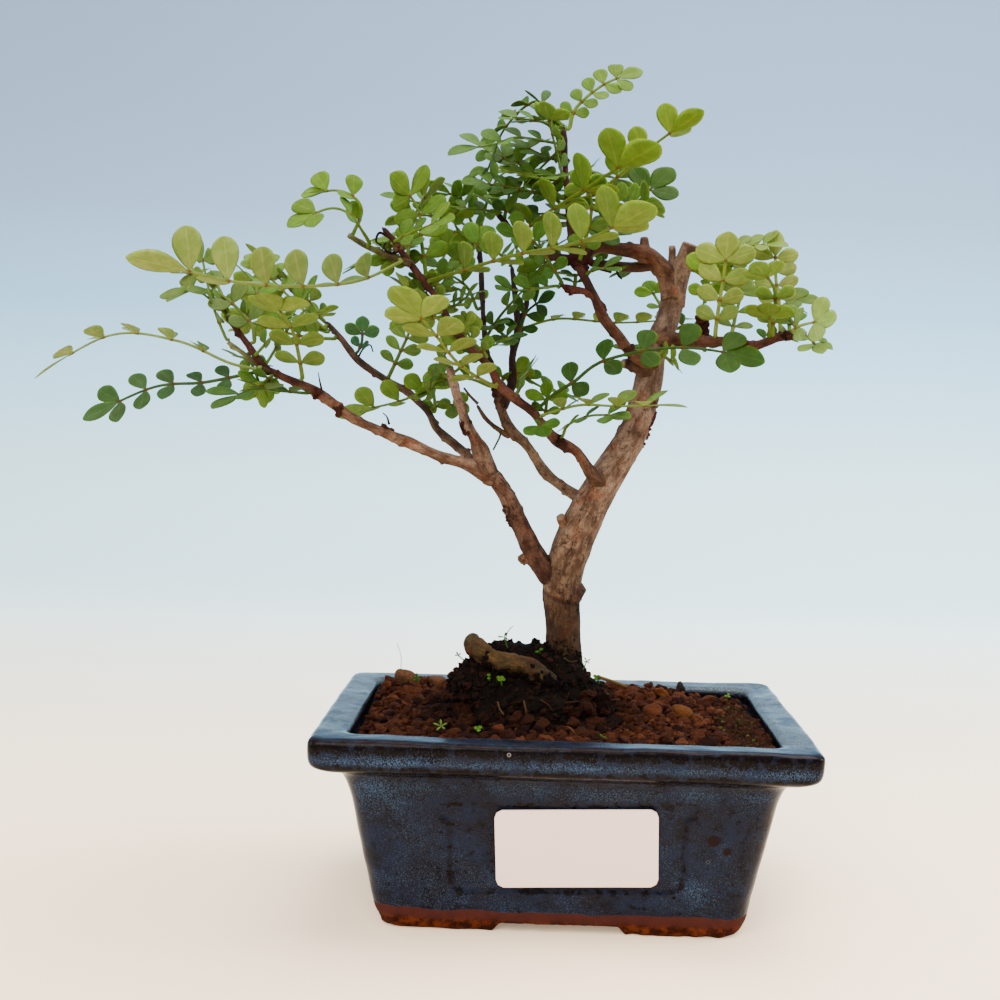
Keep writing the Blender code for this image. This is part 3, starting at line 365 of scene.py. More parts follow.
# %% [markdown]
# A rounded rectangle is four quarter circles joined by straight runs. Written for a whole
# grid at once, x is a · (half length - radius) + radius · cos, and y is the same with its own
# share and sin, where a slides from 1 to -1 along a straight run.

# %% Carry the profile round a rounded rectangle
ARC_STEPS = 9
LONG_STEPS = 150
SHORT_STEPS = 96


def rectangle_columns():
    """Shares of the half length and half depth, cos and sin, for each column of the pot."""
    rows = []
    corners = ((1, 1), (-1, 1), (-1, -1), (1, -1))
    for quarter, (sx, sy) in enumerate(corners):
        turn = np.radians(90.0 * (quarter + np.arange(ARC_STEPS + 1) / ARC_STEPS))
        rows.append(np.stack([np.full(len(turn), sx), np.full(len(turn), sy), np.cos(turn), np.sin(turn)], 1))
        nx, ny = corners[(quarter + 1) % 4]
        steps = LONG_STEPS if quarter % 2 == 0 else SHORT_STEPS
        t = np.arange(1, steps) / steps
        flat = np.full(len(t), turn[-1])
        rows.append(np.stack([sx + (nx - sx) * t, sy + (ny - sy) * t, np.cos(flat), np.sin(flat)], 1))
    return np.vstack(rows)


share_x, share_y, normal_x, normal_y = rectangle_columns().T
half_x, half_y, height, radius = (profile[:, k, None] for k in range(4))
pot_grid = np.stack([
    share_x * (half_x - radius) + radius * normal_x,
    share_y * (half_y - radius) + radius * normal_y,
    np.broadcast_to(height, (len(profile), len(share_x))),
], axis=-1)
print("pot grid:", pot_grid.shape)

# %% [markdown]
# The sunken panel has a wider ear at each top corner and rounded lower corners. Its edge is a
# soft step, because glaze fills a sharp one. The distance from each point of the wall to the
# panel's outline gives that step. The feet are low arches pressed into the lower edge.

# %% Panel, feet and the unevenness of fired clay
PANEL_HALF = (38.0, 14.0)
PANEL_EAR = 3.0
PANEL_DEPTH = 0.8
PANEL_SINK = 1.0
PANEL_CENTRE = (1.5, 28.0)
PANEL_TURN = math.radians(1.6)
# Gaps between the feet: half width and height.
FRONT_GAP = (19.0, 2.2)
SIDE_GAP = (13.0, 3.5)
FOOT_HEIGHT = 3.7
# Unevenness of the clay: height and width of its bumps.
SLOW_WAVES = (0.30, 21.0)
RIPPLES = (0.10, 5.0)
FOOT_CHIPS = (0.55, 3.2)
RIM_WAVES = (0.28, 14.0)
FOOT_SAG = (0.5, 4.0)


def edge_distance(x, z, outline):
    """Distance to a closed outline, negative inside. For each side, the nearest point is the
    foot of the perpendicular, held between the side's ends; the sign flips at each crossing."""
    best = np.full(x.shape, 1e9)
    inside = np.zeros(x.shape, bool)
    for (ax, az), (bx, bz) in zip(outline, outline[1:] + outline[:1]):
        dx, dz = bx - ax, bz - az
        t = np.clip(((x - ax) * dx + (z - az) * dz) / (dx * dx + dz * dz), 0.0, 1.0)
        best = np.minimum(best, np.hypot(x - ax - t * dx, z - az - t * dz))
        crosses = (az > z) != (bz > z)
        at = ax + (z - az) * dx / np.where(dz == 0.0, 1.0, dz)
        inside ^= crosses & (x < at)
    return np.where(inside, -best, best)


def panel_outline():
    """Right half from the bottom up, then its mirror image."""
    wide, high = PANEL_HALF
    slim = wide - PANEL_EAR
    right = [(slim - 4.0, -high), (slim - 1.2, -high + 1.2), (slim, -high + 4.0), (slim, high - 5.5),
             (wide, high - 3.5), (wide, high)]
    return right + [(-x, z) for x, z in reversed(right)]


def panel_sink(points, side):
    """How deep each point of the wall is pressed in, and how near it is to the panel's edge."""
    middle = PANEL_CENTRE[0] if side < 0 else 0.0
    turn = PANEL_TURN if side < 0 else 0.0
    x = points[..., 0] - middle
    z = points[..., 2] - PANEL_CENTRE[1]
    along = x * math.cos(turn) + z * math.sin(turn)
    up = z * math.cos(turn) - x * math.sin(turn)
    distance = edge_distance(along, up, panel_outline())
    faces_out = np.broadcast_to(normal_y * side > 0.99, distance.shape) & (OUTER_PART[:, None])
    depth = PANEL_SINK * (1.0 - smooth(-1.0, 0.7, distance)) * faces_out
    return depth, np.exp(-(distance / 0.8) ** 2) * faces_out


OUTER_PART = np.arange(len(profile)) < len(outer_rows)
panel_edge = np.zeros(pot_grid.shape[:2])
for side in (-1, 1):
    depth, edge = panel_sink(pot_grid, side)
    pot_grid[..., 1] -= side * depth
    panel_edge += edge

low_front = FRONT_GAP[1] * (1.0 - smooth(-1.5, 1.5, np.abs(pot_grid[..., 0]) - FRONT_GAP[0]))
low_side = SIDE_GAP[1] * (1.0 - smooth(-1.5, 1.5, np.abs(pot_grid[..., 1]) - SIDE_GAP[0]))
pot_grid[..., 2] += np.maximum(low_front, low_side) * (1.0 - smooth(0.0, FOOT_HEIGHT, pot_grid[..., 2]))

outward = np.stack([np.broadcast_to(normal_x, pot_grid.shape[:2]),
                    np.broadcast_to(normal_y, pot_grid.shape[:2])], axis=-1)
lumps = SLOW_WAVES[0] * rough(pot_grid, SLOW_WAVES[1], 1.0) + RIPPLES[0] * rough(pot_grid, RIPPLES[1], 2.0)
chips = FOOT_CHIPS[0] * rough(pot_grid, FOOT_CHIPS[1], 3.0) * (1.0 - smooth(2.5, 6.5, pot_grid[..., 2]))
pot_grid[..., :2] += outward * (lumps + chips)[..., None] * OUTER_PART[:, None, None]
on_rim = smooth(60.6, 61.6, height)
pot_grid[..., 2] += on_rim * (RIM_WAVES[0] * rough(pot_grid, RIM_WAVES[1], 4.0) - 0.12)
sag = (1.0 - smooth(1.0, 3.0, pot_grid[..., 2])) * FOOT_SAG[0] * np.abs(rough(pot_grid, FOOT_SAG[1], 6.0))
pot_grid[..., 2] = np.maximum(pot_grid[..., 2] + sag * (pot_grid[..., 2] > 0.3), 0.0)
print("panel points pressed in:", int((panel_edge > 0.5).sum()))

# %% [markdown]
# The floor has two round drain holes. Each half of the floor is a closed ring surface: its
# inner edge is the hole and its outer edge is half of the floor's rectangle, found by sending
# a ray from the middle of the hole to the nearest side.

# %% Floor plates round the drain holes
def floor_plate(side):
    """A ring whose section runs up the outside, over the top, down the hole and back."""
    to_corner = [math.atan2(sy * RECESS[1], x) for sy in (-1, 1)
                 for x in (RECESS[0] - DRAIN_X, -DRAIN_X)]
    turn = np.unique(np.concatenate([np.linspace(-np.pi, np.pi, 61)[:-1], to_corner]))
    cos, sin = np.cos(turn), np.sin(turn)
    reach_x = np.where(cos > 0, RECESS[0] - DRAIN_X, DRAIN_X) / np.maximum(np.abs(cos), 1e-9)
    reach = np.minimum(reach_x, RECESS[1] / np.maximum(np.abs(sin), 1e-9))
    hole = np.full(len(turn), DRAIN_RADIUS)
    section = ((reach, RECESS[2]), (reach, FLOOR_Z), (hole + 0.8, FLOOR_Z), (hole, FLOOR_Z - 0.8),
               (hole, RECESS[2] + 0.8), (hole + 0.8, RECESS[2]))
    grid = np.stack([np.stack([DRAIN_X + r * cos, r * sin, np.full(len(turn), z)], axis=-1)
                     for r, z in section])
    if side < 0:
        grid[..., :2] *= -1.0
    return grid


grids = [pot_grid, floor_plate(1), floor_plate(-1)]
pot_points = np.vstack([grid.reshape(-1, 3) for grid in grids])
starts = np.cumsum([0] + [grid.shape[0] * grid.shape[1] for grid in grids[:-1]])
pot_quads = np.vstack([ring_faces(*grid.shape[:2]) + start for grid, start in zip(grids, starts)])
print("pot faces:", len(pot_quads))

# %% [markdown]
# ## Glaze and bare clay
#
# The glaze is an iron-blue stoneware glaze, dipped by hand. Where it runs thin, on the upper
# edge of the lip and the steps of the panel, the iron breaks through as a dark brown line.
# Where it pools, under the edge and in the hollow below the lip, tiny crystals show as light
# blue flecks. The flat top is painted pale, as a painted reflection of the studio's sky. Below a
# wavy line the clay is bare, orange-brown and dry. Four numbers on each point say how brown,
# flecked and rusty the glaze is there and how much painted sky reflection it shows, and nodes
# turn them into colour.

# %% How the glaze changes over the profile
Z_STOPS = (0.0, 12.0, 38.0, 44.0, 46.5, 49.5, 51.2, 53.6, 54.6, 55.6, 57.2, 58.6, 60.4, 61.2, 62.2)
FLECK_AT = (0.58, 0.60, 0.60, 0.66, 0.74, 0.62, 0.34, 0.30, 0.66, 0.86, 0.70, 0.48, 0.22, 0.30, 0.4)
BROWN_AT = (0.20, 0.10, 0.08, 0.05, 0.00, 0.20, 0.72, 0.74, 0.20, 0.00, 0.20, 0.90, 1.00, 0.80, 0.0)
RIM_Z = 61.0


def round_the_pot(values):
    """One value for each height of the profile, repeated for every column."""
    return np.repeat(values[:, None], len(share_x), axis=1)


rows_z = profile[:, 2]
to_edge = POT_LENGTH / 2 - profile[:, 0]
fleck = round_the_pot(np.interp(rows_z, Z_STOPS, FLECK_AT))
brown = round_the_pot(np.interp(rows_z, Z_STOPS, BROWN_AT))
# Painted reflection: the flat top of the rim is painted pale, as the studio's sky seen in the glaze.
pale = round_the_pot(smooth(1.2, 2.6, to_edge) * (rows_z > RIM_Z))
# A rusty line runs 0.7 mm from the edge of the rim, and the painted sky reflection is left off the rim's
# front, which stays dark.
rust = round_the_pot(np.exp(-((to_edge - 0.7) / 0.4) ** 2) * (rows_z > RIM_Z))
rust *= 0.75 + 0.6 * rough(pot_grid, 7.0, 7.0)
pale *= 1.0 - 0.92 * smooth(42.0, 45.5, -pot_grid[..., 1])
brown *= 1.0 - pale
brown += 0.45 * panel_edge + 0.2 * smooth(0.15, 0.9, rough(pot_grid, 16.0, 8.0))
fleck += 0.16 * rough(pot_grid, 12.0, 9.0) - 0.25 * panel_edge
spare = len(pot_points) - pale.size
GLAZE_VALUES = {
    name: np.concatenate([np.clip(value, 0, 1).ravel(), np.full(spare, rest)]) for name, value, rest in
    (("brown", brown, 1.0), ("fleck", fleck, 0.0), ("pale", pale, 0.0), ("rust", rust, 0.0))
}

# %% Glaze material
GLAZE_NAVY = "#232f4a"
GLAZE_INK = "#232129"
GLAZE_IRON = "#0e0504"
GLAZE_RUST = "#2c130e"
FLECK_DIM = "#3b4962"
FLECK_BLUE = "#547499"
RIM_SKY_REFLECTION_DARK = "#3b464f"
RIM_SKY_REFLECTION_LIGHT = "#83929b"
CLAY_ORANGE = "#864020"
CLAY_DARK = "#40190c"
CLAY_MAUVE = "#62342f"
GLAZE_LINE_MM = 9.3
SHARP_ANGLE = math.radians(50.0)
GLAZE_MARKS = (
    # place, radius in mm, colour and whether it is a ring: two iron spots and two burst bubbles
    ((44.9, -40.9, 32.4), 2.1, "#24100e", False), ((49.0, -40.2, 29.1), 1.4, "#24100e", False),
    ((43.6, -39.5, 25.6), 0.8, "#4d565f", True), ((-16.1, -53.6, 59.4), 0.7, "#9da29f", True),
)


def make_glaze():
    """Iron-blue stoneware glaze over bare clay: glossy, mottled, flecked where it pools, with a painted sky
    reflection on the rim's flat top.
    """
    material, add = new_finish("iron_blue_stoneware_glaze", 0.2, 1.52, 0.05)
    place = add("TexCoord", out="Object")
    brown_share, fleck_share, sky_reflection_share, rust_share = (
        add("Attribute", out="Fac", attribute_name=key) for key in ("brown", "fleck", "pale", "rust"))
    # Clouds about 7 mm wide mix navy and ink. Real specks are 0.1 mm; they are drawn 0.3 mm wide.
    clouds = add("TexNoise", {"Vector": place, "Scale": 140.0, "Detail": 5.0, "Roughness": 0.62})
    specks = add("TexNoise", {"Vector": place, "Scale": 3000.0, "Detail": 1.5, "Roughness": 0.6})
    drops = add("TexNoise", {"Vector": place, "Scale": 420.0, "Detail": 3.0})
    cloudy = add("MapRange", {0: clouds, 1: 0.3, 2: 0.72}, **EASE)
    colour = add("Mix", {0: cloudy, 6: rgba(GLAZE_INK), 7: rgba(GLAZE_NAVY)}, **BLEND)
    iron = add("Math", {0: add("MapRange", {0: drops, 1: 0.3, 2: 0.7}, **EASE), 1: brown_share})
    iron = add("MapRange", {0: iron, 1: 0.75, 2: 1.35}, **EASE)
    colour = add("Mix", {0: iron, 6: colour, 7: rgba(GLAZE_IRON)}, **BLEND)
    level = add("Math", {0: fleck_share, 1: -0.30, 2: 0.72}, operation="MULTIPLY_ADD")
    over = add("Math", {0: specks, 1: level}, operation="SUBTRACT")
    bright = add("MapRange", {0: fleck_share, 1: 0.5, 2: 0.95}, **EASE)
    fleck_tone = add("Mix", {0: bright, 6: rgba(FLECK_DIM), 7: rgba(FLECK_BLUE)}, **BLEND)
    flecked = add("MapRange", {0: over, 1: -0.03, 2: 0.16}, **EASE)
    colour = add("Mix", {0: flecked, 6: colour, 7: fleck_tone}, **BLEND)
    # Painted reflection of the studio's sky on the rim's flat top, broken by specks and by navy patches.
    sky_reflection_specks = add("MapRange", {0: specks, 1: 0.36, 2: 0.66}, **EASE)
    rim = add("Mix", {0: sky_reflection_specks, 6: rgba(RIM_SKY_REFLECTION_DARK), 7: rgba(RIM_SKY_REFLECTION_LIGHT)}, **BLEND)
    patches = add("MapRange", {0: clouds, 1: 0.36, 2: 0.5, 3: 0.8, 4: 0.0}, **EASE)
    rim = add("Mix", {0: patches, 6: rim, 7: rgba(GLAZE_NAVY)}, **BLEND)
    colour = add("Mix", {0: sky_reflection_share, 6: colour, 7: rim}, **BLEND)
    colour = add("Mix", {0: rust_share, 6: colour, 7: rgba(GLAZE_RUST)}, **BLEND)
    # Soot-coloured pin holes, about one in a square centimetre.
    holes = add("TexVoronoi", {"Vector": place, "Scale": 110.0}, feature="F1")
    pits = add("MapRange", {0: holes, 1: 0.04, 2: 0.075, 3: 1.0, 4: 0.0}, **EASE)
    colour = add("Mix", {0: pits, 6: colour, 7: rgba(GLAZE_IRON)}, **BLEND)
    for spot, radius, tone, ring in GLAZE_MARKS:
        away = add("VectorMath", {0: place, 1: (np.array(spot) + POT_CENTRE) * MM}, out="Value",
                   operation="DISTANCE")
        share = add("MapRange", {0: away, 1: 0.75 * radius * MM, 2: radius * MM, 3: 0.9, 4: 0.0}, **EASE)
        if ring:
            hollow = add("MapRange", {0: away, 1: 0.3 * radius * MM, 2: 0.6 * radius * MM}, **EASE)
            share = add("Math", {0: share, 1: hollow}, operation="MULTIPLY")
        colour = add("Mix", {0: share, 6: colour, 7: rgba(tone)}, **BLEND)
    # The bare foot: everything under a wavy line.
    wave = add("TexNoise", {"Vector": place, "Scale": 55.0, "Detail": 3.0})
    up = add("SeparateXYZ", {0: place}, "Z")
    line = add("Math", {0: wave, 1: 0.0042, 2: up}, operation="MULTIPLY_ADD")
    line_at = GLAZE_LINE_MM * MM
    bare = add("MapRange", {0: line, 1: line_at - 0.0002, 2: line_at + 0.0003, 3: 1.0, 4: 0.0}, **EASE)
    grit = add("TexNoise", {"Vector": place, "Scale": 260.0, "Detail": 6.0, "Roughness": 0.7})
    stained = add("MapRange", {0: grit, 1: 0.4, 2: 0.6}, **EASE)
    clay = add("Mix", {0: stained, 6: rgba(CLAY_DARK), 7: rgba(CLAY_ORANGE)}, **BLEND)
    wash = add("MapRange", {0: line, 1: line_at - 0.0042, 2: line_at - 0.0022, 4: 0.9}, **EASE)
    clay = add("Mix", {0: wash, 6: clay, 7: rgba(CLAY_MAUVE)}, **BLEND)
    relief = add("Mix", {0: bare, 2: clouds, 3: grit}, data_type="FLOAT")
    feed(material, Base_Color=add("Mix", {0: bare, 6: colour, 7: clay}, **BLEND),
         Roughness=add("MapRange", {0: bare, 3: 0.22, 4: 0.9}),
         Normal=add("Bump", {"Height": relief, "Distance": 0.35 * MM, "Strength": 0.6}))
    return material


glaze = make_glaze()
pot = add_piece("glazed_pot", (pot_points, pot_quads), glaze, ("pot",), GLAZE_VALUES)
pot.data.set_sharp_from_angle(angle=SHARP_ANGLE)
print("glaze values:", sorted(GLAZE_VALUES))

# %% [markdown]
# ## The bare label
#
# A white paper label with round corners is stuck in the front panel. It stays bare. It is a
# plate whose rings shrink from the edge to the middle, with a soft upper edge, laid on the
# slope of the wall.

# %% Label
LABEL_SIZE = (48.5, 25.4)
LABEL_CORNER = 2.6
LABEL_CENTRE = (4.5, 28.3)
LABEL_TURN = 2.3
GAP = 0.3
WALL_SLOPE = math.atan2(WALL_FOOT[0] - WALL_TOP[0], WALL_TOP[1] - WALL_FOOT[1])


def wall_inset(z):
    """How far the wall stands in from the lip's edge at one height."""
    return np.interp(z, (WALL_FOOT[1], WALL_TOP[1]), (WALL_FOOT[0], WALL_TOP[0]))


def on_front_wall(x, up, lift):
    """Turn a flat plate by the label's angle, lean it back by the wall's slope and move it to
    its centre: y = wall - up · sin(slope) - lift · cos(slope), z = centre + up · cos(slope)
    - lift · sin(slope), where up is already turned."""
    turn = math.radians(LABEL_TURN)
    across = x * math.cos(turn) - up * math.sin(turn)
    along = x * math.sin(turn) + up * math.cos(turn)
    wall = -(POT_DEPTH / 2 - wall_inset(LABEL_CENTRE[1]))
    y = wall - along * math.sin(WALL_SLOPE) - lift * math.cos(WALL_SLOPE)
    z = LABEL_CENTRE[1] + along * math.cos(WALL_SLOPE) - lift * math.sin(WALL_SLOPE)
    return np.stack([LABEL_CENTRE[0] + across, y, z], axis=-1)


def label_rings():
    """Rows of (inset from the edge, height above the wall) from the back over the edge."""
    base = GAP - PANEL_DEPTH
    rows = ((11.0, 0.0), (4.0, 0.0), (0.2, 0.0), (0.0, 0.12), (0.0, 0.36), (0.15, 0.47),
            (0.5, 0.5), (2.0, 0.5), (6.0, 0.5), (11.0, 0.5))
    grid = []
    for inset, lift in rows:
        corner = max(LABEL_CORNER - inset, 0.3)
        x = share_x * (LABEL_SIZE[0] / 2 - inset - corner) + corner * normal_x
        up = share_y * (LABEL_SIZE[1] / 2 - inset - corner) + corner * normal_y
        curl = 0.10 * smooth(14.0, 26.0, np.hypot(x, up)) * (lift > 0.3)
        grid.append(on_front_wall(x, up, base + lift + curl))
    return np.array(grid)[:, ::4]


def make_label_paper():
    """Coated white paper: nearly smooth, faintly fibrous, with a soft shine."""
    material, add = new_finish("coated_white_paper", 0.42, 1.45)
    place = add("TexCoord", out="Object")
    fibre = add("TexNoise", {"Vector": place, "Scale": 900.0, "Detail": 4.0})
    cloud = add("TexNoise", {"Vector": place, "Scale": 60.0, "Detail": 2.0})
    paper = add("Mix", {0: cloud, 6: rgba("#e4cbc4", 1.0), 7: rgba("#ecd6d0", 1.0)}, **BLEND)
    feed(material, Base_Color=paper,
         Normal=add("Bump", {"Height": fibre, "Distance": 0.02 * MM, "Strength": 0.5}))
    return material


label_grid = label_rings()
add_piece("bare_label", skin(label_grid), make_label_paper(), ("label",))
print("label rows and columns:", label_grid.shape[:2])

# %% [markdown]
# ## Netting over the drain holes
#
# Injection-moulded black netting keeps the granules in. It lies under the soil, and its CAD
# shape is already right, so only its plastic finish is made here: a dull black with the fine
# grain of a cheap mould.

# %% Netting material
def make_netting_plastic():
    """Moulded polyethylene: near black, waxy, slightly grained."""
    material, add = new_finish("black_moulded_polyethylene", 0.55, 1.51)
    grain = add("TexNoise", {"Vector": add("TexCoord", out="Object"), "Scale": 1500.0, "Detail": 3.0})
    feed(material, Base_Color=add("Mix", {0: grain, 6: rgba("#202224"), 7: rgba("#3c3f42")}, **BLEND),
         Normal=add("Bump", {"Height": grain, "Distance": 0.05 * MM, "Strength": 0.5}))
    return material


netting = make_netting_plastic()
for name in ("drain_mesh_left", "drain_mesh_right"):
    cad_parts[name].material_slots[0].material = netting
print("netting dressed")

# %% [markdown]
# ## Baked-clay granules
#
# The tree stands in akadama, a red-brown volcanic clay that is sieved to granules of two to
# five millimetres, with a few larger tan pebbles. A bumpy sheet alone would look like plastic
# gravel, so the fill is made in two layers: a bed of fines that follows the pot's inside, painted
# dark also as the shade in the gaps between granules, and over a thousand separate granules
# that are pressed into it. A granule is a ball of rings whose radius is shaken by noise, and
# each copy is stretched, turned and tinted by a seeded draw.

# %% Bed of fines, painted dark also as the shade between granules
SOIL_LEVEL = 59.2
INSIDE_TOP_Z = 57.0
INSIDE_SLOPE = 0.255
BED_RINGS = 48
BED_CORNER = 5.7
BED_SIDE = (
    # height, and how far the side stands in from the pot's inside
    (FLOOR_Z + GAP, 6.0), (FLOOR_Z + GAP, 2.0), (15.5, 0.3), (36.0, 0.0), (57.0, 0.0),
)
BED_SEED = 21
BALL_CENTRE = (-10.0, -3.5)
BALL_REACH = (29.0, 23.5)
MOSS_CENTRE = (56.5, -8.0)
MOSS_REACH = (7.5, 32.0)
MOUND_SIDES = 170
MOUND_STEP = 1.05
BALL_LEVELS = (
    # centre x, centre y, half width, half depth, height
    (-8.0, -2.0, 19.0, 15.0, 34.0), (-9.5, -3.0, 26.0, 20.0, 44.0), (-10.5, -4.0, 28.5, 22.6, 56.0),
    (-10.5, -4.0, 28.5, 23.0, 61.0), (-11.5, -4.0, 26.5, 20.8, 65.0), (-12.5, -4.0, 24.0, 18.0, 69.0),
    (-12.8, -3.2, 21.8, 15.0, 73.0), (-13.2, -2.4, 18.8, 12.0, 77.0), (-13.6, -1.6, 15.0, 8.8, 80.0),
    (-14.0, -1.0, 9.5, 5.4, 82.4),
)
mound_levels = catmull_rom(np.array(BALL_LEVELS)[:, [0, 1, 4, 2, 3]], MOUND_STEP)


def inner_inset(z):
    """How far the pot's inside stands in from the mouth's edge at one height."""
    return np.maximum(0.0, (INSIDE_TOP_Z - z) * INSIDE_SLOPE)


def bed_height(x, y):
    """Level of the fines: it swells towards the root ball and the back, dips by the wall and
    is lumpy."""
    spot = np.stack([x, y, np.zeros_like(x)], axis=-1)
    near_ball = np.hypot((x - BALL_CENTRE[0]) / BALL_REACH[0], (y - BALL_CENTRE[1]) / BALL_REACH[1])
    swell = 2.2 * (1.0 - smooth(0.9, 1.7, near_ball))
    wall = np.minimum(MOUTH_X - np.abs(x), MOUTH_Y - np.abs(y))
    heap = 3.2 * smooth(-5.0, 34.0, y) * (1.0 - smooth(30.0, 48.0, x))
    dip = 0.7 * (1.0 - smooth(0.0, 4.0, wall))
    return SOIL_LEVEL - 1.6 + swell + heap + 0.8 * rough(spot, 9.0, 11.0) - dip


def mound_height(x, y):
    """Height of the root ball over a spot: the highest ring whose ellipse holds the spot."""
    centre_x, centre_y, level, wide, deep = (mound_levels[:, k, None] for k in range(5))
    inside = np.hypot((x - centre_x) / wide, (y - centre_y) / deep) < 1.0
    return np.where(inside, level, 0.0).max(axis=0)


def soil_bed():
    """Top sheet of the bed as rings of a squared disc, then its side down the pot's wall.

    A disc ring of share s is a rounded rectangle of s times the mouth, so the top closes in
    the middle and the side follows the pot.
    """
    shares = np.sqrt(np.linspace(0.0004, 1.0, BED_RINGS))
    rings = []
    for share in shares[::-1]:
        corner = max(0.6, (6.0 - GAP) * share)
        x = share_x * ((MOUTH_X - GAP) * share - corner) + corner * normal_x
        y = share_y * ((MOUTH_Y - GAP) * share - corner) + corner * normal_y
        rings.append(np.stack([x, y, bed_height(x, y)], axis=-1))
    side = []
    for z, extra in BED_SIDE:
        inset = inner_inset(z) + extra + GAP
        x = share_x * (MOUTH_X - inset - BED_CORNER) + BED_CORNER * normal_x
        y = share_y * (MOUTH_Y - inset - BED_CORNER) + BED_CORNER * normal_y
        side.append(np.stack([x, y, np.full_like(x, z)], axis=-1))
    return np.array(side + rings)[:, ::3]


bed_grid = soil_bed()
print("bed grid:", bed_grid.shape[:2])

# %% [markdown]
# Every small lump in this scene is a copy of one closed ball of rings. Its radius at each
# angle is shaken by a noise that differs from copy to copy, because the noise is read in a
# different part of the lattice for each.

# %% Scatter of granules
# Rings and sides of a ball.
LARGE_BALL = (7, 10)
GRAIN_BALL = (6, 8)
CRUMB_BALL = (4, 6)


def ball_directions(rings, sides):
    """Unit directions: rings of latitude between two poles."""
    lat = np.linspace(-np.pi / 2, np.pi / 2, rings + 2)[1:-1]
    lon = full_turn(sides)
    return np.stack([np.cos(lat)[:, None] * np.cos(lon), np.cos(lat)[:, None] * np.sin(lon),
                     np.broadcast_to(np.sin(lat)[:, None], (rings, sides))], axis=-1)


def lumps_at(centres, sizes, squash, shake, rng, ball=CRUMB_BALL):
    """Copies of the shaken ball: centre + size · (1 + shake · noise) · turned direction, with
    the vertical part multiplied by squash, which is one number or one for each."""
    points, quads, fans = skin(ball_directions(*ball))
    points[-2:] = ((0.0, 0.0, -1.0), (0.0, 0.0, 1.0))
    count = len(centres)
    spread = rng.uniform(0.0, 40.0, (count, 1, 3))
    radius = (1.0 + shake * noise(points[None] * 1.3 + spread, 1.0)
              + 0.5 * shake * noise(points[None] * 2.9 + spread, 1.0, 3.0))
    stretch = rng.uniform(0.78, 1.22, (count, 1, 3))
    shape = points[None] * radius[..., None] * stretch * sizes[:, None, None]
    spin = rng.uniform(0.0, 2 * np.pi, (count, 1))
    tip = rng.uniform(-0.6, 0.6, (count, 1))
    x = shape[..., 0] * np.cos(spin) - shape[..., 1] * np.sin(spin)
    y = shape[..., 0] * np.sin(spin) + shape[..., 1] * np.cos(spin)
    z = shape[..., 2]
    squash = np.full(count, squash)[:, None]
    x, z = x * np.cos(tip) + z * np.sin(tip), (z * np.cos(tip) - x * np.sin(tip)) * squash
    placed = np.stack([x, y, z], axis=-1) + centres[:, None]
    stride = len(points)
    return placed.reshape(-1, 3), repeat_faces(quads, count, stride), repeat_faces(fans, count, stride)


def add_lumps(name, shape, tint, material, crumbly=True):
    """A piece made of lumps, where each lump has its own row of tint."""
    stride = len(shape[0]) // len(tint)
    return add_piece(name, shape, material, (), {"tint": np.repeat(tint, stride, axis=0)}, crumbly)


PEBBLES = (
    # x, y, radius, height share, colour, in the order in which they are seen from the left
    (-53.5, 29.5, 5.2, 0.66, "#8b5f40"), (-42.5, 30.5, 4.6, 0.55, "#86583a"),
    (-35.0, 36.0, 2.7, 0.7, "#8a5733"), (-33.5, -4.0, 1.9, 0.8, "#713b22"),
    (38.5, 3.5, 4.8, 0.66, "#945a2c"), (29.0, 4.5, 3.7, 0.8, "#7c4526"),
    (34.5, 29.0, 2.7, 0.7, "#935426"), (41.5, 37.0, 2.6, 1.25, "#3e2f2b"),
    (25.0, 30.0, 2.2, 0.8, "#693520"), (-20.0, -31.0, 1.8, 0.8, "#7a4226"),
)


GRAIN_LAYERS = (
    # spacing, least and greatest radius, height over the bed
    (5.2, 2.0, 3.9, 0.5), (4.3, 1.3, 2.8, 1.4), (3.3, 0.6, 1.5, 1.9),
)


def scatter_grains(rng):
    """One granule for each cell of a shaken grid, in three layers: deep large ones, a
    second set between them and small ones on top. Fewer and fewer lie up the root ball."""
    places, sizes = [], []
    for layer, (spacing, low, high, lift) in enumerate(GRAIN_LAYERS):
        x, y = np.meshgrid(np.arange(-MOUTH_X, MOUTH_X, spacing), np.arange(-MOUTH_Y, MOUTH_Y, spacing))
        x = x.ravel() + rng.uniform(-0.5, 0.5, x.size) * spacing
        y = y.ravel() + rng.uniform(-0.5, 0.5, y.size) * spacing
        size = low + (high - low) * rng.uniform(0.0, 1.0, x.size) ** 1.6
        room = np.minimum(MOUTH_X - 0.4 - np.abs(x), MOUTH_Y - 0.4 - np.abs(y))
        climb = mound_height(x, y)
        moss = np.hypot((x - MOSS_CENTRE[0]) / MOSS_REACH[0], (y - MOSS_CENTRE[1]) / MOSS_REACH[1])
        on_ball = climb >= SOIL_LEVEL + 5.5 + 5.5 * rng.uniform(0, 1, x.size)
        keep = (room > size * 1.15) & ~on_ball & (moss > 0.95)
        if layer == 2:
            keep &= rng.uniform(0.0, 1.0, x.size) < 0.75
        x, y, size = x[keep], y[keep], size[keep]
        z = np.maximum(bed_height(x, y) + lift, climb[keep] + 0.3)
        z = z + rng.uniform(-0.5, 0.6, x.size) - 0.25 * size
        places.append(np.stack([x, y, z], axis=-1))
        sizes.append(size)
    return np.vstack(places), np.concatenate(sizes)


soil_rng = np.random.default_rng(BED_SEED)
grain_places, grain_sizes = scatter_grains(soil_rng)
pebble_x, pebble_y, pebble_sizes, pebble_squash = np.array([row[:4] for row in PEBBLES]).T
pebble_z = pebble_sizes * pebble_squash * 0.45 + 1.2 + bed_height(pebble_x, pebble_y)
pebble_places = np.stack([pebble_x, pebble_y, pebble_z], axis=-1)
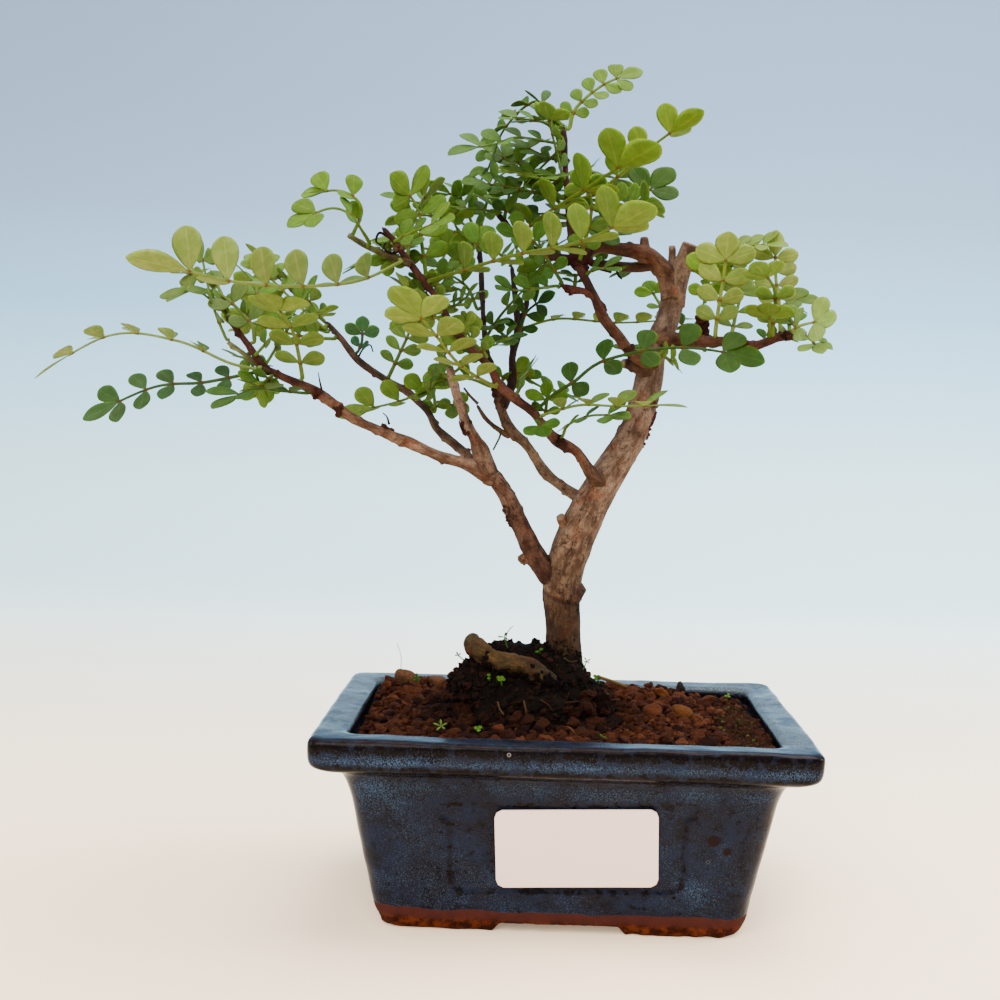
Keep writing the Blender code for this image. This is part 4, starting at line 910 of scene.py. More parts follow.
# No granule lies inside a pebble.
clear = np.min(np.hypot(grain_places[:, None, 0] - pebble_x, (grain_places[:, None, 1] - pebble_y) * 1.2)
               - pebble_sizes * 0.9, axis=1) > 0.0
grain_places, grain_sizes = grain_places[clear], grain_sizes[clear]
print("granules:", len(grain_places))

# %% [markdown]
# Akadama is matt and crumbly. Its colour runs from rust to chocolate, wet granules are darker
# and dust makes a few paler. Each granule carries its own tint as a colour on its points; a
# fine grain and small pits come from nodes at a little under a millimetre.

# %% Granule finish and pieces
GRAIN_COLOURS = ("#63341d", "#532817", "#744022", "#462114", "#683a22", "#80482b", "#381a10", "#6b381e")


def make_baked_clay(name, low_share, grain_mm):
    """Baked volcanic clay: no shine at all, pitted, each lump in its own rust brown."""
    material, add = new_finish(name, 0.95, 1.3, 0.15)
    place = add("TexCoord", out="Object")
    tint = add("Attribute", out="Color", attribute_name="tint")
    grit = add("TexNoise", {"Vector": place, "Scale": 1000.0 / grain_mm, "Detail": 5.0, "Roughness": 0.75})
    dark = add("Mix", {0: 1.0, 6: tint, 7: (low_share, low_share, low_share, 1.0)}, **TINT)
    pitted = add("MapRange", {0: grit, 1: 0.3, 2: 0.62}, **EASE)
    feed(material, Base_Color=add("Mix", {0: pitted, 6: dark, 7: tint}, **BLEND),
         Normal=add("Bump", {"Height": grit, "Distance": 0.9 * MM}))
    return material


baked_clay = make_baked_clay("baked_volcanic_clay", 0.5, 0.9)
bed_shape = skin(bed_grid)
# The bed is painted near black: it stands for the fines and for the painted shade in the gaps between
# granules.
bed_gap_shade_tint = np.tile(rgba("#1c0c07"), (len(bed_shape[0]), 1))
add_piece("soil_bed", bed_shape, baked_clay, ("soil",), {"tint": bed_gap_shade_tint})

grain_shape = lumps_at(grain_places, grain_sizes, 0.82, 0.62, soil_rng, GRAIN_BALL)
grain_tint = paints(GRAIN_COLOURS)[soil_rng.integers(0, len(GRAIN_COLOURS), len(grain_places))]
grain_tint[:, :3] *= soil_rng.uniform(0.7, 1.25, (len(grain_places), 1))
# Granules near the root ball are darker.
from_ball = np.hypot((grain_places[:, 0] + 14.0) / 38.0, (grain_places[:, 1] + 5.0) / 28.0)
grain_tint[:, :3] *= (0.42 + 0.58 * smooth(0.75, 1.25, from_ball))[:, None]
granules = add_lumps("clay_granules", grain_shape, grain_tint, baked_clay)

pebble_shape = lumps_at(pebble_places, pebble_sizes, pebble_squash, 0.4, soil_rng, LARGE_BALL)
pebbles = add_lumps("tan_pebbles", pebble_shape, paints([row[4] for row in PEBBLES]), baked_clay,
                    crumbly=False)
smoother = pebbles.modifiers.new("rounder", "SUBSURF")
smoother.levels = 2
smoother.render_levels = 2
print("granule faces:", len(granules.data.polygons))

# %% [markdown]
# ## Root ball and moss
#
# The trunk stands in the block of dark peat that it grew in, which rises above the granules.
# Peat is nearly black, fibrous and crumbly, so its mound is a ring grid with strong fine
# noise, and two thousand small crumbs break up its outline. A patch of moss grows by the
# right wall, with dust-fine green tips.

# %% Peat mound
OPEN_Z = 59.0
CRUMBS = 2000
PEAT_COLOURS = ("#120c08", "#1b110b", "#24170f", "#2f1d12", "#170f0a", "#3b2615", "#45241a")


def peat_mound():
    """Rings round the ball's axis: centre + half width · (1 + noise) · cos and sin, with
    lumps that grow towards the open top."""
    turn = full_turn(MOUND_SIDES)
    centre_x, centre_y, level, wide, deep = (mound_levels[:, k, None] for k in range(5))
    grid = np.stack([centre_x + wide * np.cos(turn), centre_y + deep * np.sin(turn),
                     np.broadcast_to(level, (len(mound_levels), MOUND_SIDES))], axis=-1)
    open_air = smooth(58.0, 64.0, level)
    swing = open_air * (0.09 * rough(grid, 9.0, 12.0, 4) + 0.04 * rough(grid, 2.6, 14.0, 2) - 0.03)
    grid[..., 0] += (grid[..., 0] - centre_x) * swing
    grid[..., 1] += (grid[..., 1] - centre_y) * swing
    grid[..., 2] += open_air * rough(grid, 4.0, 13.0, 3)
    return grid


mound_grid = peat_mound()
print("mound grid:", mound_grid.shape[:2])


def on_mound(count, rng):
    """Random points of the mound's open surface."""
    rows = np.nonzero(mound_grid[:, 0, 2] > OPEN_Z)[0]
    return mound_grid[rng.choice(rows, count), rng.integers(0, MOUND_SIDES, count)]


peat_rng = np.random.default_rng(33)
crumb_places = on_mound(CRUMBS, peat_rng)
crumb_sizes = 0.3 + 1.1 * peat_rng.uniform(0.0, 1.0, CRUMBS) ** 2.6
crumb_shape = lumps_at(crumb_places, crumb_sizes, 0.85, 0.8, peat_rng)
crumb_tint = paints(PEAT_COLOURS)[peat_rng.integers(0, len(PEAT_COLOURS), CRUMBS)]
peat = make_baked_clay("fibrous_dark_peat", 0.45, 0.7)
mound_shape = skin(mound_grid)
mound_tint = np.tile(rgba("#20150e"), (len(mound_shape[0]), 1))
add_piece("peat_mound", mound_shape, peat, ("root_ball",), {"tint": mound_tint})
add_lumps("peat_crumbs", crumb_shape, crumb_tint, peat)

# %% Moss patch by the right wall
MOSS_TUFTS = 2000
GREEN_SHARE = 0.16
EARTH_COLOURS = ("#472211", "#552c15", "#5e3219", "#361a0d", "#4c2912")
TIP_COLOURS = ("#43451a", "#585e22", "#34381a", "#757c34")
moss_rng = np.random.default_rng(44)
moss_xy = MOSS_CENTRE + moss_rng.uniform(-1.0, 1.0, (MOSS_TUFTS, 2)) * MOSS_REACH
moss_xy[:, 0] = np.minimum(moss_xy[:, 0], MOUTH_X - 0.9)
moss_xy = moss_xy[np.hypot(*((moss_xy - MOSS_CENTRE) / MOSS_REACH).T) < 1.0]
tufts = len(moss_xy)
green_tip = moss_rng.uniform(0.0, 1.0, tufts) < GREEN_SHARE
moss_z = bed_height(*moss_xy.T) + moss_rng.uniform(0.3, 1.3, tufts) + 0.7 * green_tip
moss_sizes = moss_rng.uniform(0.45, 1.3, tufts) * np.where(green_tip, 0.45, 1.0)
moss_tint = np.where(green_tip[:, None],
                     paints(TIP_COLOURS)[moss_rng.integers(0, len(TIP_COLOURS), tufts)],
                     paints(EARTH_COLOURS)[moss_rng.integers(0, len(EARTH_COLOURS), tufts)])
moss_shape = lumps_at(np.column_stack([moss_xy, moss_z]), moss_sizes, 0.9, 0.5, moss_rng)
add_lumps("moss_patch", moss_shape, moss_tint, peat, crumbly=False)
print("moss tufts:", tufts)

# %% [markdown]
# ## Trunk, limbs and twigs
#
# The wood is one grown thing: a short trunk that forks, limbs that were cut back and sprouted
# again, and thin dark twigs. Modelling it from one ball of clay would lose the bark, which
# runs along each limb. So each limb is a ring carried along a curved path, and the rings are
# then shaken: swollen where it leaves its parent, knobbed where leaves have dropped, and
# cracked along the grain. The ends run into each other inside the wood.

# %% Branch table
# Each branch: size class (3 trunk, 2 limb, 1 branch, 0 twig), then (x, y, z, radius) from
# where it leaves the wood to its end.
BRANCHES = {
    "trunk": (3, (
        (-0.3, 0, 46, 7.6), (-0.2, 0, 66, 7.2), (-0.1, 0, 77, 6.3), (-1.2, 0, 92, 5.9),
        (-1.6, 0, 100, 6.3), (-0.6, 0, 107, 6), (1.6, 0, 115, 6.1), (4.9, 0.5, 123, 6),
        (8.8, 1, 131, 5.7), (13.8, 2, 140, 5.4), (19.3, 3, 150, 5.1), (22.6, 4, 159, 4.9),
        (24.5, 5, 168, 4.8), (26, 6, 178, 4.3), (29.8, 7, 187, 4), (31.8, 8, 195, 4), (33.4, 8, 202, 3.6),
        (37, 6, 212.5, 2.7),
    )),
    "left_limb": (2, (
        (1, 0, 99, 4.4), (-6.6, -2, 106.5, 3.9), (-11.5, -4, 114, 3.4), (-16.1, -6, 123, 3),
        (-19.3, -8, 130, 2.8), (-22.9, -9, 135.5, 2.7), (-26.4, -10, 140, 2.4),
    )),
    "left_stub": (1, (
        (-25, -10, 138, 2.2), (-28.4, -12, 145.5, 2.6), (-30.2, -12.5, 149, 1.8), (-32.9, -13, 154, 1.7),
        (-35.8, -14, 162, 1.5), (-38.4, -15, 171, 1.3),
    )),
    "lower_left": (1, (
        (-24, -9, 136.5, 2.2), (-32.3, -12, 140.5, 1.9), (-42.5, -15, 143.8, 1.7),
        (-50.8, -17, 147.3, 1.8), (-59.6, -19, 150.8, 1.5), (-68.3, -21, 154.9, 1.7),
        (-77.8, -22, 161.7, 1.6), (-88.5, -23, 166.3, 1.2), (-93.8, -24, 168.9, 1.3),
        (-98.6, -25, 175.4, 1.1), (-105.5, -26, 184.2, 0.9),
    )),
    "back_left": (1, (
        (-23, -8, 135.5, 1.7), (-30.8, 2, 140.9, 1.5), (-36.4, 8, 145.4, 1.5), (-43.7, 12, 151.1, 1.3),
        (-47.3, 14, 156.9, 1.2), (-54.3, 17, 163, 1.4), (-60.9, 18, 166.5, 1.1), (-70.9, 20, 172.9, 1.2),
        (-77.7, 22, 180.8, 1), (-83, 23, 186.1, 0.9),
    )),
    "tan_limb": (1, (
        (8.5, 1.5, 127, 2.4), (2, 6, 130.8, 2.1), (-3.5, 10, 134.4, 1.8), (-8.2, 12, 138.2, 1.9),
        (-13.7, 14, 145.9, 1.6), (-20, 16, 152, 1.8), (-23, 17, 158.5, 1.7), (-24.5, 18, 164, 1.8),
    )),
    "tan_rod": (0, (
        (-24, 17.5, 162, 1.3), (-25.9, 19, 171, 1.1), (-28.6, 20, 178, 1), (-30, 22, 191, 0.9),
        (-31, 24, 204, 0.9), (-32.4, 26, 216, 0.8),
    )),
    "tan_side_twig": (0, ((-20.5, 16, 149.5, 0.9), (-27, 14, 154, 0.8), (-31, 13, 159.5, 0.7))),
    "back_rod": (1, (
        (-23, 17.5, 159, 1.6), (-19.6, 20, 167, 1.5), (-19.7, 24, 176, 1.3), (-18.2, 28, 185, 1.4),
        (-19.5, 30, 195, 1), (-21, 34, 207, 0.8),
    )),
    "back_rod_fork": (0, ((-18.4, 27.5, 183.5, 1.1), (-15.5, 30, 195, 0.9), (-15.6, 32, 206, 0.8))),
    "dark_limb": (1, (
        (11.5, 0, 134.5, 2.2), (6.6, -7, 138.8, 2.2), (1.9, -10, 145.4, 1.7), (-4.1, -12, 148.6, 1.9),
        (-8.6, -14, 153, 1.5), (-12.1, -15, 157.5, 1.4), (-17.5, -16, 161.4, 1.6),
        (-22.5, -17, 165.3, 1.4), (-25.6, -18, 170.7, 1.2), (-32.4, -20, 177.2, 1.1),
        (-38, -22, 183.6, 1.3), (-41.2, -25, 189.9, 1), (-45, -28, 195, 1.2), (-50.7, -30, 202, 1),
        (-54.5, -31, 207.1, 0.9), (-58.1, -32, 211, 0.8),
    )),
    "green_stub": (0, ((-49.5, -30, 200.5, 0.9), (-61.5, -32, 204.8, 0.9), (-68, -33, 208.4, 0.8))),
    "pale_stub": (0, ((-93, -24.5, 167.6, 0.9), (-98.6, -24.8, 171.8, 0.8), (-105, -25.4, 176.4, 0.7))),
    "top_branch": (1, (
        (32.2, 8, 194.5, 3.2), (29.7, 8, 202, 2.9), (25.6, 6, 206.5, 2.8), (21.2, 4, 208.9, 2.6),
        (14.1, 2, 209.8, 2.2), (6.6, 0, 210.2, 2), (0.7, -3, 206.5, 1.8), (-3.4, -5, 205.6, 1),
    )),
    "top_branch_spur": (1, ((22.4, 4, 207.5, 1.8), (22, 4.5, 210.8, 1.6), (21.8, 5, 214, 1.4))),
    "broken_branch": (0, (
        (24.5, 5.5, 205.5, 1.6), (18.5, 9, 204.9, 1.7), (11.5, 12, 206, 1.4), (4.5, 12, 206.4, 0.9),
    )),
    "top_spur": (0, ((32.2, 8, 198.5, 1.4), (31.4, 8.5, 205.5, 1.3), (31.1, 9, 212, 1.2))),
    "rise": (1, (
        (26, 5, 172.5, 2.2), (18.8, -4, 176.5, 1.9), (13.7, -8, 181.9, 1.7), (9.1, -10, 187.2, 1.8),
        (6.4, -11, 192.7, 1.4), (2.5, -11, 199.9, 1.4), (0.3, -7, 205, 1.9),
    )),
    "rise_spur": (0, (
        (8.8, -10, 190, 1.1), (4, -12, 194.6, 1), (-0.7, -11, 195.7, 1.3), (-4.8, -10, 197, 0.7),
    )),
    "crown": (1, (
        (0.4, -6, 204, 1.7), (-1.4, -4, 213.3, 1.5), (-3, -2, 224.4, 1.1), (-4.2, 0, 235.6, 1),
        (-4.7, 0, 241.8, 1.1), (-5.1, 0, 247, 0.9),
    )),
    "crown_left": (0, (
        (-0.6, -5, 205.5, 1.3), (-9.7, 0, 207.5, 1.2), (-17.9, 6, 212.8, 1.1), (-25.3, 10, 221, 0.9),
    )),
    "right_twig": (1, (
        (27, 5, 182, 2.2), (37.2, -4, 181.3, 2.2), (44, -8, 180.8, 1.7), (49.3, -10, 180.8, 1.5),
        (54.9, -12, 179.5, 1.6), (59.3, -13, 180.9, 1.3), (63.4, -14, 182.6, 1.4),
        (70.9, -16, 183.2, 1.2),
    )),
    "right_spur": (1, (
        (37.6, -4, 181, 2.6), (39.8, -3, 185.3, 2.2), (40.6, -2, 189.4, 1.3), (40.6, -1, 193.2, 1.1),
    )),
    "old_cut": (1, ((24, 3.5, 171, 2.4), (19.4, 0.5, 173.2, 2.1), (15.6, -1, 173.6, 1.5))),
    "fork_nub": (1, ((1.8, -0.5, 119, 2), (-1.2, -2, 122.2, 1.8), (-2.8, -3, 124.8, 1.3))),
    "limb_nub": (1, ((-9.5, -3.2, 110.5, 1.8), (-12.8, -3.6, 110.8, 1.7), (-15.2, -4, 110.2, 1.5))),
    "surface_root": (2, (
        (-29.9, -6, 86.2, 3), (-28.9, -8, 83.3, 3.3), (-24.9, -11.5, 80.2, 3.3), (-19.1, -15, 78.6, 3.2),
        (-12.5, -17, 77.8, 3.1), (-7.1, -16, 75, 2.9), (-3.2, -12, 71.5, 2.9), (-1.5, -5, 66, 3.2),
    )),
    "root_back": (0, ((0, 2, 57, 4), (2, 9, 51, 2.4), (1, 13.5, 45, 1.2))),
    "root_left": (0, ((-3, 0, 55, 4), (-14, 2, 49, 2.4), (-22, 1, 45, 1.2))),
    "root_right": (0, ((2, -2, 54, 3.6), (6.5, -8, 47, 2.2), (6, -10, 41, 1.1))),
}
# By size class: sides of a ring, distance between rings, depth of the cracks and age of the
# bark; and the distance between knobs, which the trunk has none of.
SIDES = (12, 18, 32, 84)
RING_STEP = (0.9, 0.85, 0.7, 0.6)
CRACK_DEPTH = (0.10, 0.14, 0.24, 0.34)
BARK_AGE = (0.3, 0.6, 0.85, 1.0)
KNOB_GAP = (5.0, 5.5, 8.0)
CUT_ENDS = ("trunk", "left_stub", "old_cut", "top_spur", "top_branch_spur", "right_twig", "green_stub",
            "pale_stub", "crown_left", "fork_nub", "limb_nub", "tan_rod", "back_rod_fork", "broken_branch")

# %% [markdown]
# A path needs a direction at every ring that doesn't twist about it. The first side vector is
# any one square to the path. Each next one is the last with its part along the new direction
# taken out, which is called parallel transport. The loop runs over the rings of a path, not
# over its points.

# %% Carry rings along a path
def path_frames(points):
    """Tangent, side and third vector at each point of a path, without twist."""
    tangent = unit(np.gradient(points, axis=0))
    side = np.cross(tangent[0], (0.0, 1.0, 0.0))
    if np.linalg.norm(side) < 0.2:
        side = np.cross(tangent[0], (1.0, 0.0, 0.0))
    sides = []
    for direction in tangent:
        side = unit(side - np.dot(side, direction) * direction)
        sides.append(side)
    sides = np.array(sides)
    return tangent, sides, np.cross(tangent, sides)


def path_length(points):
    """Distance from the start of a path to each of its points."""
    return np.concatenate([[0.0], np.cumsum(np.linalg.norm(np.diff(points, axis=0), axis=1))])


def carry_ring(points, radius, sides):
    """Centre + radius · (cos · side + sin · third), with radius a grid of rings by sides."""
    _, side, third = path_frames(points)
    turn = full_turn(sides)
    around = (np.cos(turn)[None, :, None] * side[:, None] + np.sin(turn)[None, :, None] * third[:, None])
    return points[:, None] + radius[..., None] * around, turn, around


# %% [markdown]
# ## Bark colours
#
# Old wood is pale grey-tan with cracked plates. The lower trunk is brown with moss, the young
# limbs are red-brown to purple-brown, and cut ends show pale wood. Each branch names its
# colours from its foot to its end, and where they aren't just those two, the shares of its
# length at which they stand.

# %% Bark colour table
BARK_TONES = {
    "trunk": ("#20120a", "#28180c", "#46301d", "#5a402b", "#8c7058", "#a58a75", "#857061", "#9a7e68"),
    "left_limb": ("#54382a", "#664635", "#826553"), "left_stub": ("#886c5a", "#947c6a"),
    "lower_left": ("#a88a74", "#9c7860", "#643c2c", "#4e2820"),
    "back_left": ("#6f5a48", "#66503f", "#56402f"), "tan_limb": ("#917862", "#866c54", "#6a4e3c"),
    "tan_rod": ("#4d342a", "#38231f"), "tan_side_twig": ("#7b5b40", "#6a4a34"),
    "back_rod": ("#4c342a", "#352220"), "back_rod_fork": ("#3f2a24", "#2f1d1c"),
    "dark_limb": ("#8d6d54", "#7a5a43", "#6c4735", "#60382a", "#552b20"),
    "green_stub": ("#5a4a2a", "#7a8a48"), "pale_stub": ("#7b6a44", "#8f9a5a"),
    "top_branch": ("#8a6c54", "#7a553c", "#5c3828", "#402219"), "top_branch_spur": ("#7a5a44", "#a98a70"),
    "broken_branch": ("#6a4a36", "#3d241b"), "top_spur": ("#94775e", "#a98a72"),
    "rise": ("#6f4e36", "#5f3d2a", "#4a281e"), "rise_spur": ("#50301f", "#5a2a20"),
    "crown": ("#4c2c20", "#5a3226", "#5e3a26"), "crown_left": ("#472a20", "#301d19"),
    "right_twig": ("#7d5d45", "#5c3a28", "#57301f"), "right_spur": ("#5a3a28", "#4a2a1e"),
    "old_cut": ("#7a5c46", "#4a3428"), "fork_nub": ("#8a6650", "#a3795c"),
    "limb_nub": ("#8a5f48", "#a0745a"), "surface_root": ("#5e482c", "#634822", "#4e381b", "#20140b"),
    "root_back": ("#2e1c10", "#1d120b"), "root_left": ("#2e1c10", "#1d120b"),
    "root_right": ("#2e1c10", "#1d120b"),
}
TONE_STOPS = {
    "trunk": (0, 0.14, 0.2, 0.28, 0.36, 0.55, 0.75, 1), "left_limb": (0, 0.4, 1),
    "lower_left": (0, 0.35, 0.7, 1), "back_left": (0, 0.6, 1), "tan_limb": (0, 0.6, 1),
    "dark_limb": (0, 0.09, 0.2, 0.6, 1), "top_branch": (0, 0.35, 0.6, 1), "rise": (0, 0.6, 1),
    "crown": (0, 0.6, 1), "right_twig": (0, 0.35, 1), "surface_root": (0, 0.3, 0.7, 1),
}


def tones_along(name, share):
    """The colour at each share of a branch's length, blended between the named ones."""
    stops = TONE_STOPS.get(name, (0, 1))
    return np.stack([np.interp(share, stops, channel) for channel in paints(BARK_TONES[name]).T], axis=-1)


# %% [markdown]
# The bark's relief has three parts. Swellings a few millimetres long follow the lattice
# noise. Knobs stand out on one side where a leaf or twig has dropped, every 5 to 8 mm on the
# young wood. And the trunk has a ledge, where an old cut healed over the wood below it.

# %% Shape each branch
LEDGE_Z = 99.0
BURR_Z = 150.0
FOOT_Z = 62.0
MIDDLES = {name: catmull_rom(table, 0.8) for name, (_, table) in BRANCHES.items()}


def branch_radius(name, size, points, length, rng):
    """Radius at each ring: the table's radius, a flared foot that fades with distance, slow
    uneven swelling, and a rounded or cut end. The root's bare start is round too."""
    radius = points[:, 3].copy()
    to_end = length[-1] - length
    if name != "trunk":
        radius *= 1.0 + 0.3 * np.exp(-np.clip(length - 2.0, 0.0, None) / (1.2 * radius[0] + 0.8))
    if size < 3:
        radius *= 1.0 + 0.10 * noise(points[:, :3], 7.0, rng.uniform(0.0, 9.0))
    if name == "surface_root":
        radius *= np.sqrt(np.clip(length / (1.3 * radius), 0.0, 1.0) + 0.01)
    if name in CUT_ENDS:
        return radius * (0.9 + 0.1 * smooth(0.0, 0.5, to_end))
    return radius * np.sqrt(np.clip(to_end / (1.6 * radius), 0.0, 1.0) + 0.01)


def knobs(name, size, length, turn, rng):
    """One-sided bumps: height · exp(-(distance / width)²) · max(cos(turn - side), 0)²."""
    total = np.zeros((len(length), len(turn)))
    if size == 3 or "root" in name:
        return total
    gap = KNOB_GAP[size]
    for station in np.arange(gap * 0.5, length[-1] - 1.0, gap):
        spot, side = station + rng.uniform(-2.0, 2.0), rng.uniform(0.0, 2 * np.pi)
        bump = np.exp(-((length - spot) / rng.uniform(0.5, 1.0)) ** 2)
        total += rng.uniform(0.35, 1.0) * bump[:, None] * np.clip(np.cos(turn - side), 0.0, 1.0) ** 2
    return total


def rooted(name):
    """The table of a branch, begun on the middle line of the thicker branch that it leaves,
    which is the nearest point of all paths at least as thick."""
    table = BRANCHES[name][1]
    first = np.array(table[0])
    others = np.vstack([MIDDLES[other] for other in BRANCHES if other != name])
    others = others[others[:, 3] > first[3] * 1.02]
    if name == "trunk" or not len(others):
        return table
    gap = np.linalg.norm(others[:, :3] - first[:3], axis=1)
    near = others[np.argmin(gap)]
    return ((*near[:3], first[3] * 0.9),) + table if 0.5 < gap.min() < 7.0 else table


def shape_branch(name, rng):
    """One branch as a grid of rings, with its values: colour, straightened coordinates
    (distance along, radius · cos, radius · sin), age of the bark, moss and cut wood."""
    size = BRANCHES[name][0]
    sides = SIDES[size]
    points = catmull_rom(rooted(name), RING_STEP[size])
    length = path_length(points[:, :3])
    radius = branch_radius(name, size, points, length, rng)
    base = np.repeat(radius[:, None], sides, axis=1)
    _, turn, around = carry_ring(points[:, :3], base, sides)
    # Each branch reads its own stretch of the noise.
    offset = 37.0 * (1 + list(BRANCHES).index(name))
    grain = np.stack([np.repeat(length[:, None] + offset, sides, axis=1),
                      base * np.cos(turn), base * np.sin(turn)], axis=-1)
    swell = 0.09 * base * rough(grain * (0.6, 1.0, 1.0), 2.6 * radius.mean(), 15.0)
    stretched = grain * (0.42, 1.0, 1.0)
    cracks = -np.abs(noise(stretched, 1.7, 16.0)) - 0.6 * np.abs(noise(stretched, 0.9, 17.0))
    relief = swell + CRACK_DEPTH[size] * (cracks + 0.35) + knobs(name, size, length, turn, rng)
    height = points[:, None, 2]
    tone = np.repeat(tones_along(name, length / length[-1])[:, None], sides, axis=1)
    age = np.full(base.shape, BARK_AGE[size])
    # Moss settles low down, and on top of the surface root, where its olive is partly a painted highlight.
    moss = 0.9 * (1.0 - smooth(66.0, 92.0, height)) + np.zeros(base.shape)
    if name == "trunk":
        # An old cut healed as a ledge, mossy on its left, with a painted highlight above and painted shade
        # below.
        faces_right = 0.5 + 0.5 * np.clip(around[..., 0] * 0.8 - around[..., 1] * 0.6, -1.0, 1.0)
        over = height - (LEDGE_Z - 2.2 * around[..., 0] + 0.8 * around[..., 1])
        relief += (0.25 + 0.6 * faces_right) * smooth(-0.3, 0.7, over) * np.exp(
            -np.clip(over - 0.7, 0.0, None) / 6.5)
        # Painted light on the ledge: a painted highlight just above its edge and painted shade just below it.
        rim = np.exp(-((over - 0.7) / 0.8) ** 2) - 0.9 * np.exp(-((over + 0.7) / 0.7) ** 2)
        tone[..., :3] *= (1.0 + 0.75 * rim)[..., None]
        moss += 0.8 * (1.0 - faces_right) * np.exp(-((over - 0.6) / 0.9) ** 2)
        # Higher up is a patch of rough bark, and the foot is flared.
        relief += 0.35 * rough(grain, 2.2, 20.0) * np.exp(-((height - BURR_Z) / 7.0) ** 2)
        flare = 1.5 * np.exp(-np.clip(height - FOOT_Z, 0.0, None) / 4.0)
        relief += flare * (1.0 + 0.6 * noise(grain, 5.0, 18.0))
        age[:] = 0.3 + 0.7 * (1.0 - smooth(122.0, 138.0, height))
        age += 0.6 * np.exp(-((height - BURR_Z) / 8.0) ** 2)
    if name == "surface_root":
        relief += 0.95 * rough(grain, 3.8, 19.0) - 0.5 * smooth(0.0, 0.8, -around[..., 2])
        # On the root the olive of the moss grows towards its top: partly moss, partly a painted highlight
        # where light falls.
        moss = 0.25 + 0.4 * smooth(-0.2, 0.6, around[..., 2])
        age[:] = 0.9
    cut = np.zeros(base.shape)
    if name in CUT_ENDS:
        cut[-1] = 1.0
    grid, _, _ = carry_ring(points[:, :3], base + relief, sides)
    return grid, {"tone": tone, "grain": grain * MM, "age": age, "moss": moss, "cut": cut}


def close_values(values):
    """Values of a grid as rows for the points of its skin: the two end points get the means
    of the first and the last ring."""
    return {key: np.concatenate([value.reshape(-1, *value.shape[2:]), value[[0, -1]].mean(1)])
            for key, value in values.items()}


wood_rng = np.random.default_rng(7)
limbs = [shape_branch(name, wood_rng) for name in BRANCHES]
wood_shape, wood_values = join_shapes([(skin(grid), close_values(values)) for grid, values in limbs])
print("wood faces:", len(wood_shape[1]) + len(wood_shape[2]))

# %% [markdown]
# Bark is dull and rough. The nodes read the straightened coordinates, so cracks follow every
# bend. A cell pattern looks like scales, so the cracks are lines where a stretched noise
# crosses its middle value, some 2 mm apart. The cracks are painted dark, partly as darker bark
# and partly as painted shade. Clouds and fine grain shift the colour, and moss adds olive where
# it is damp; on top of the surface root that olive is partly a painted highlight.

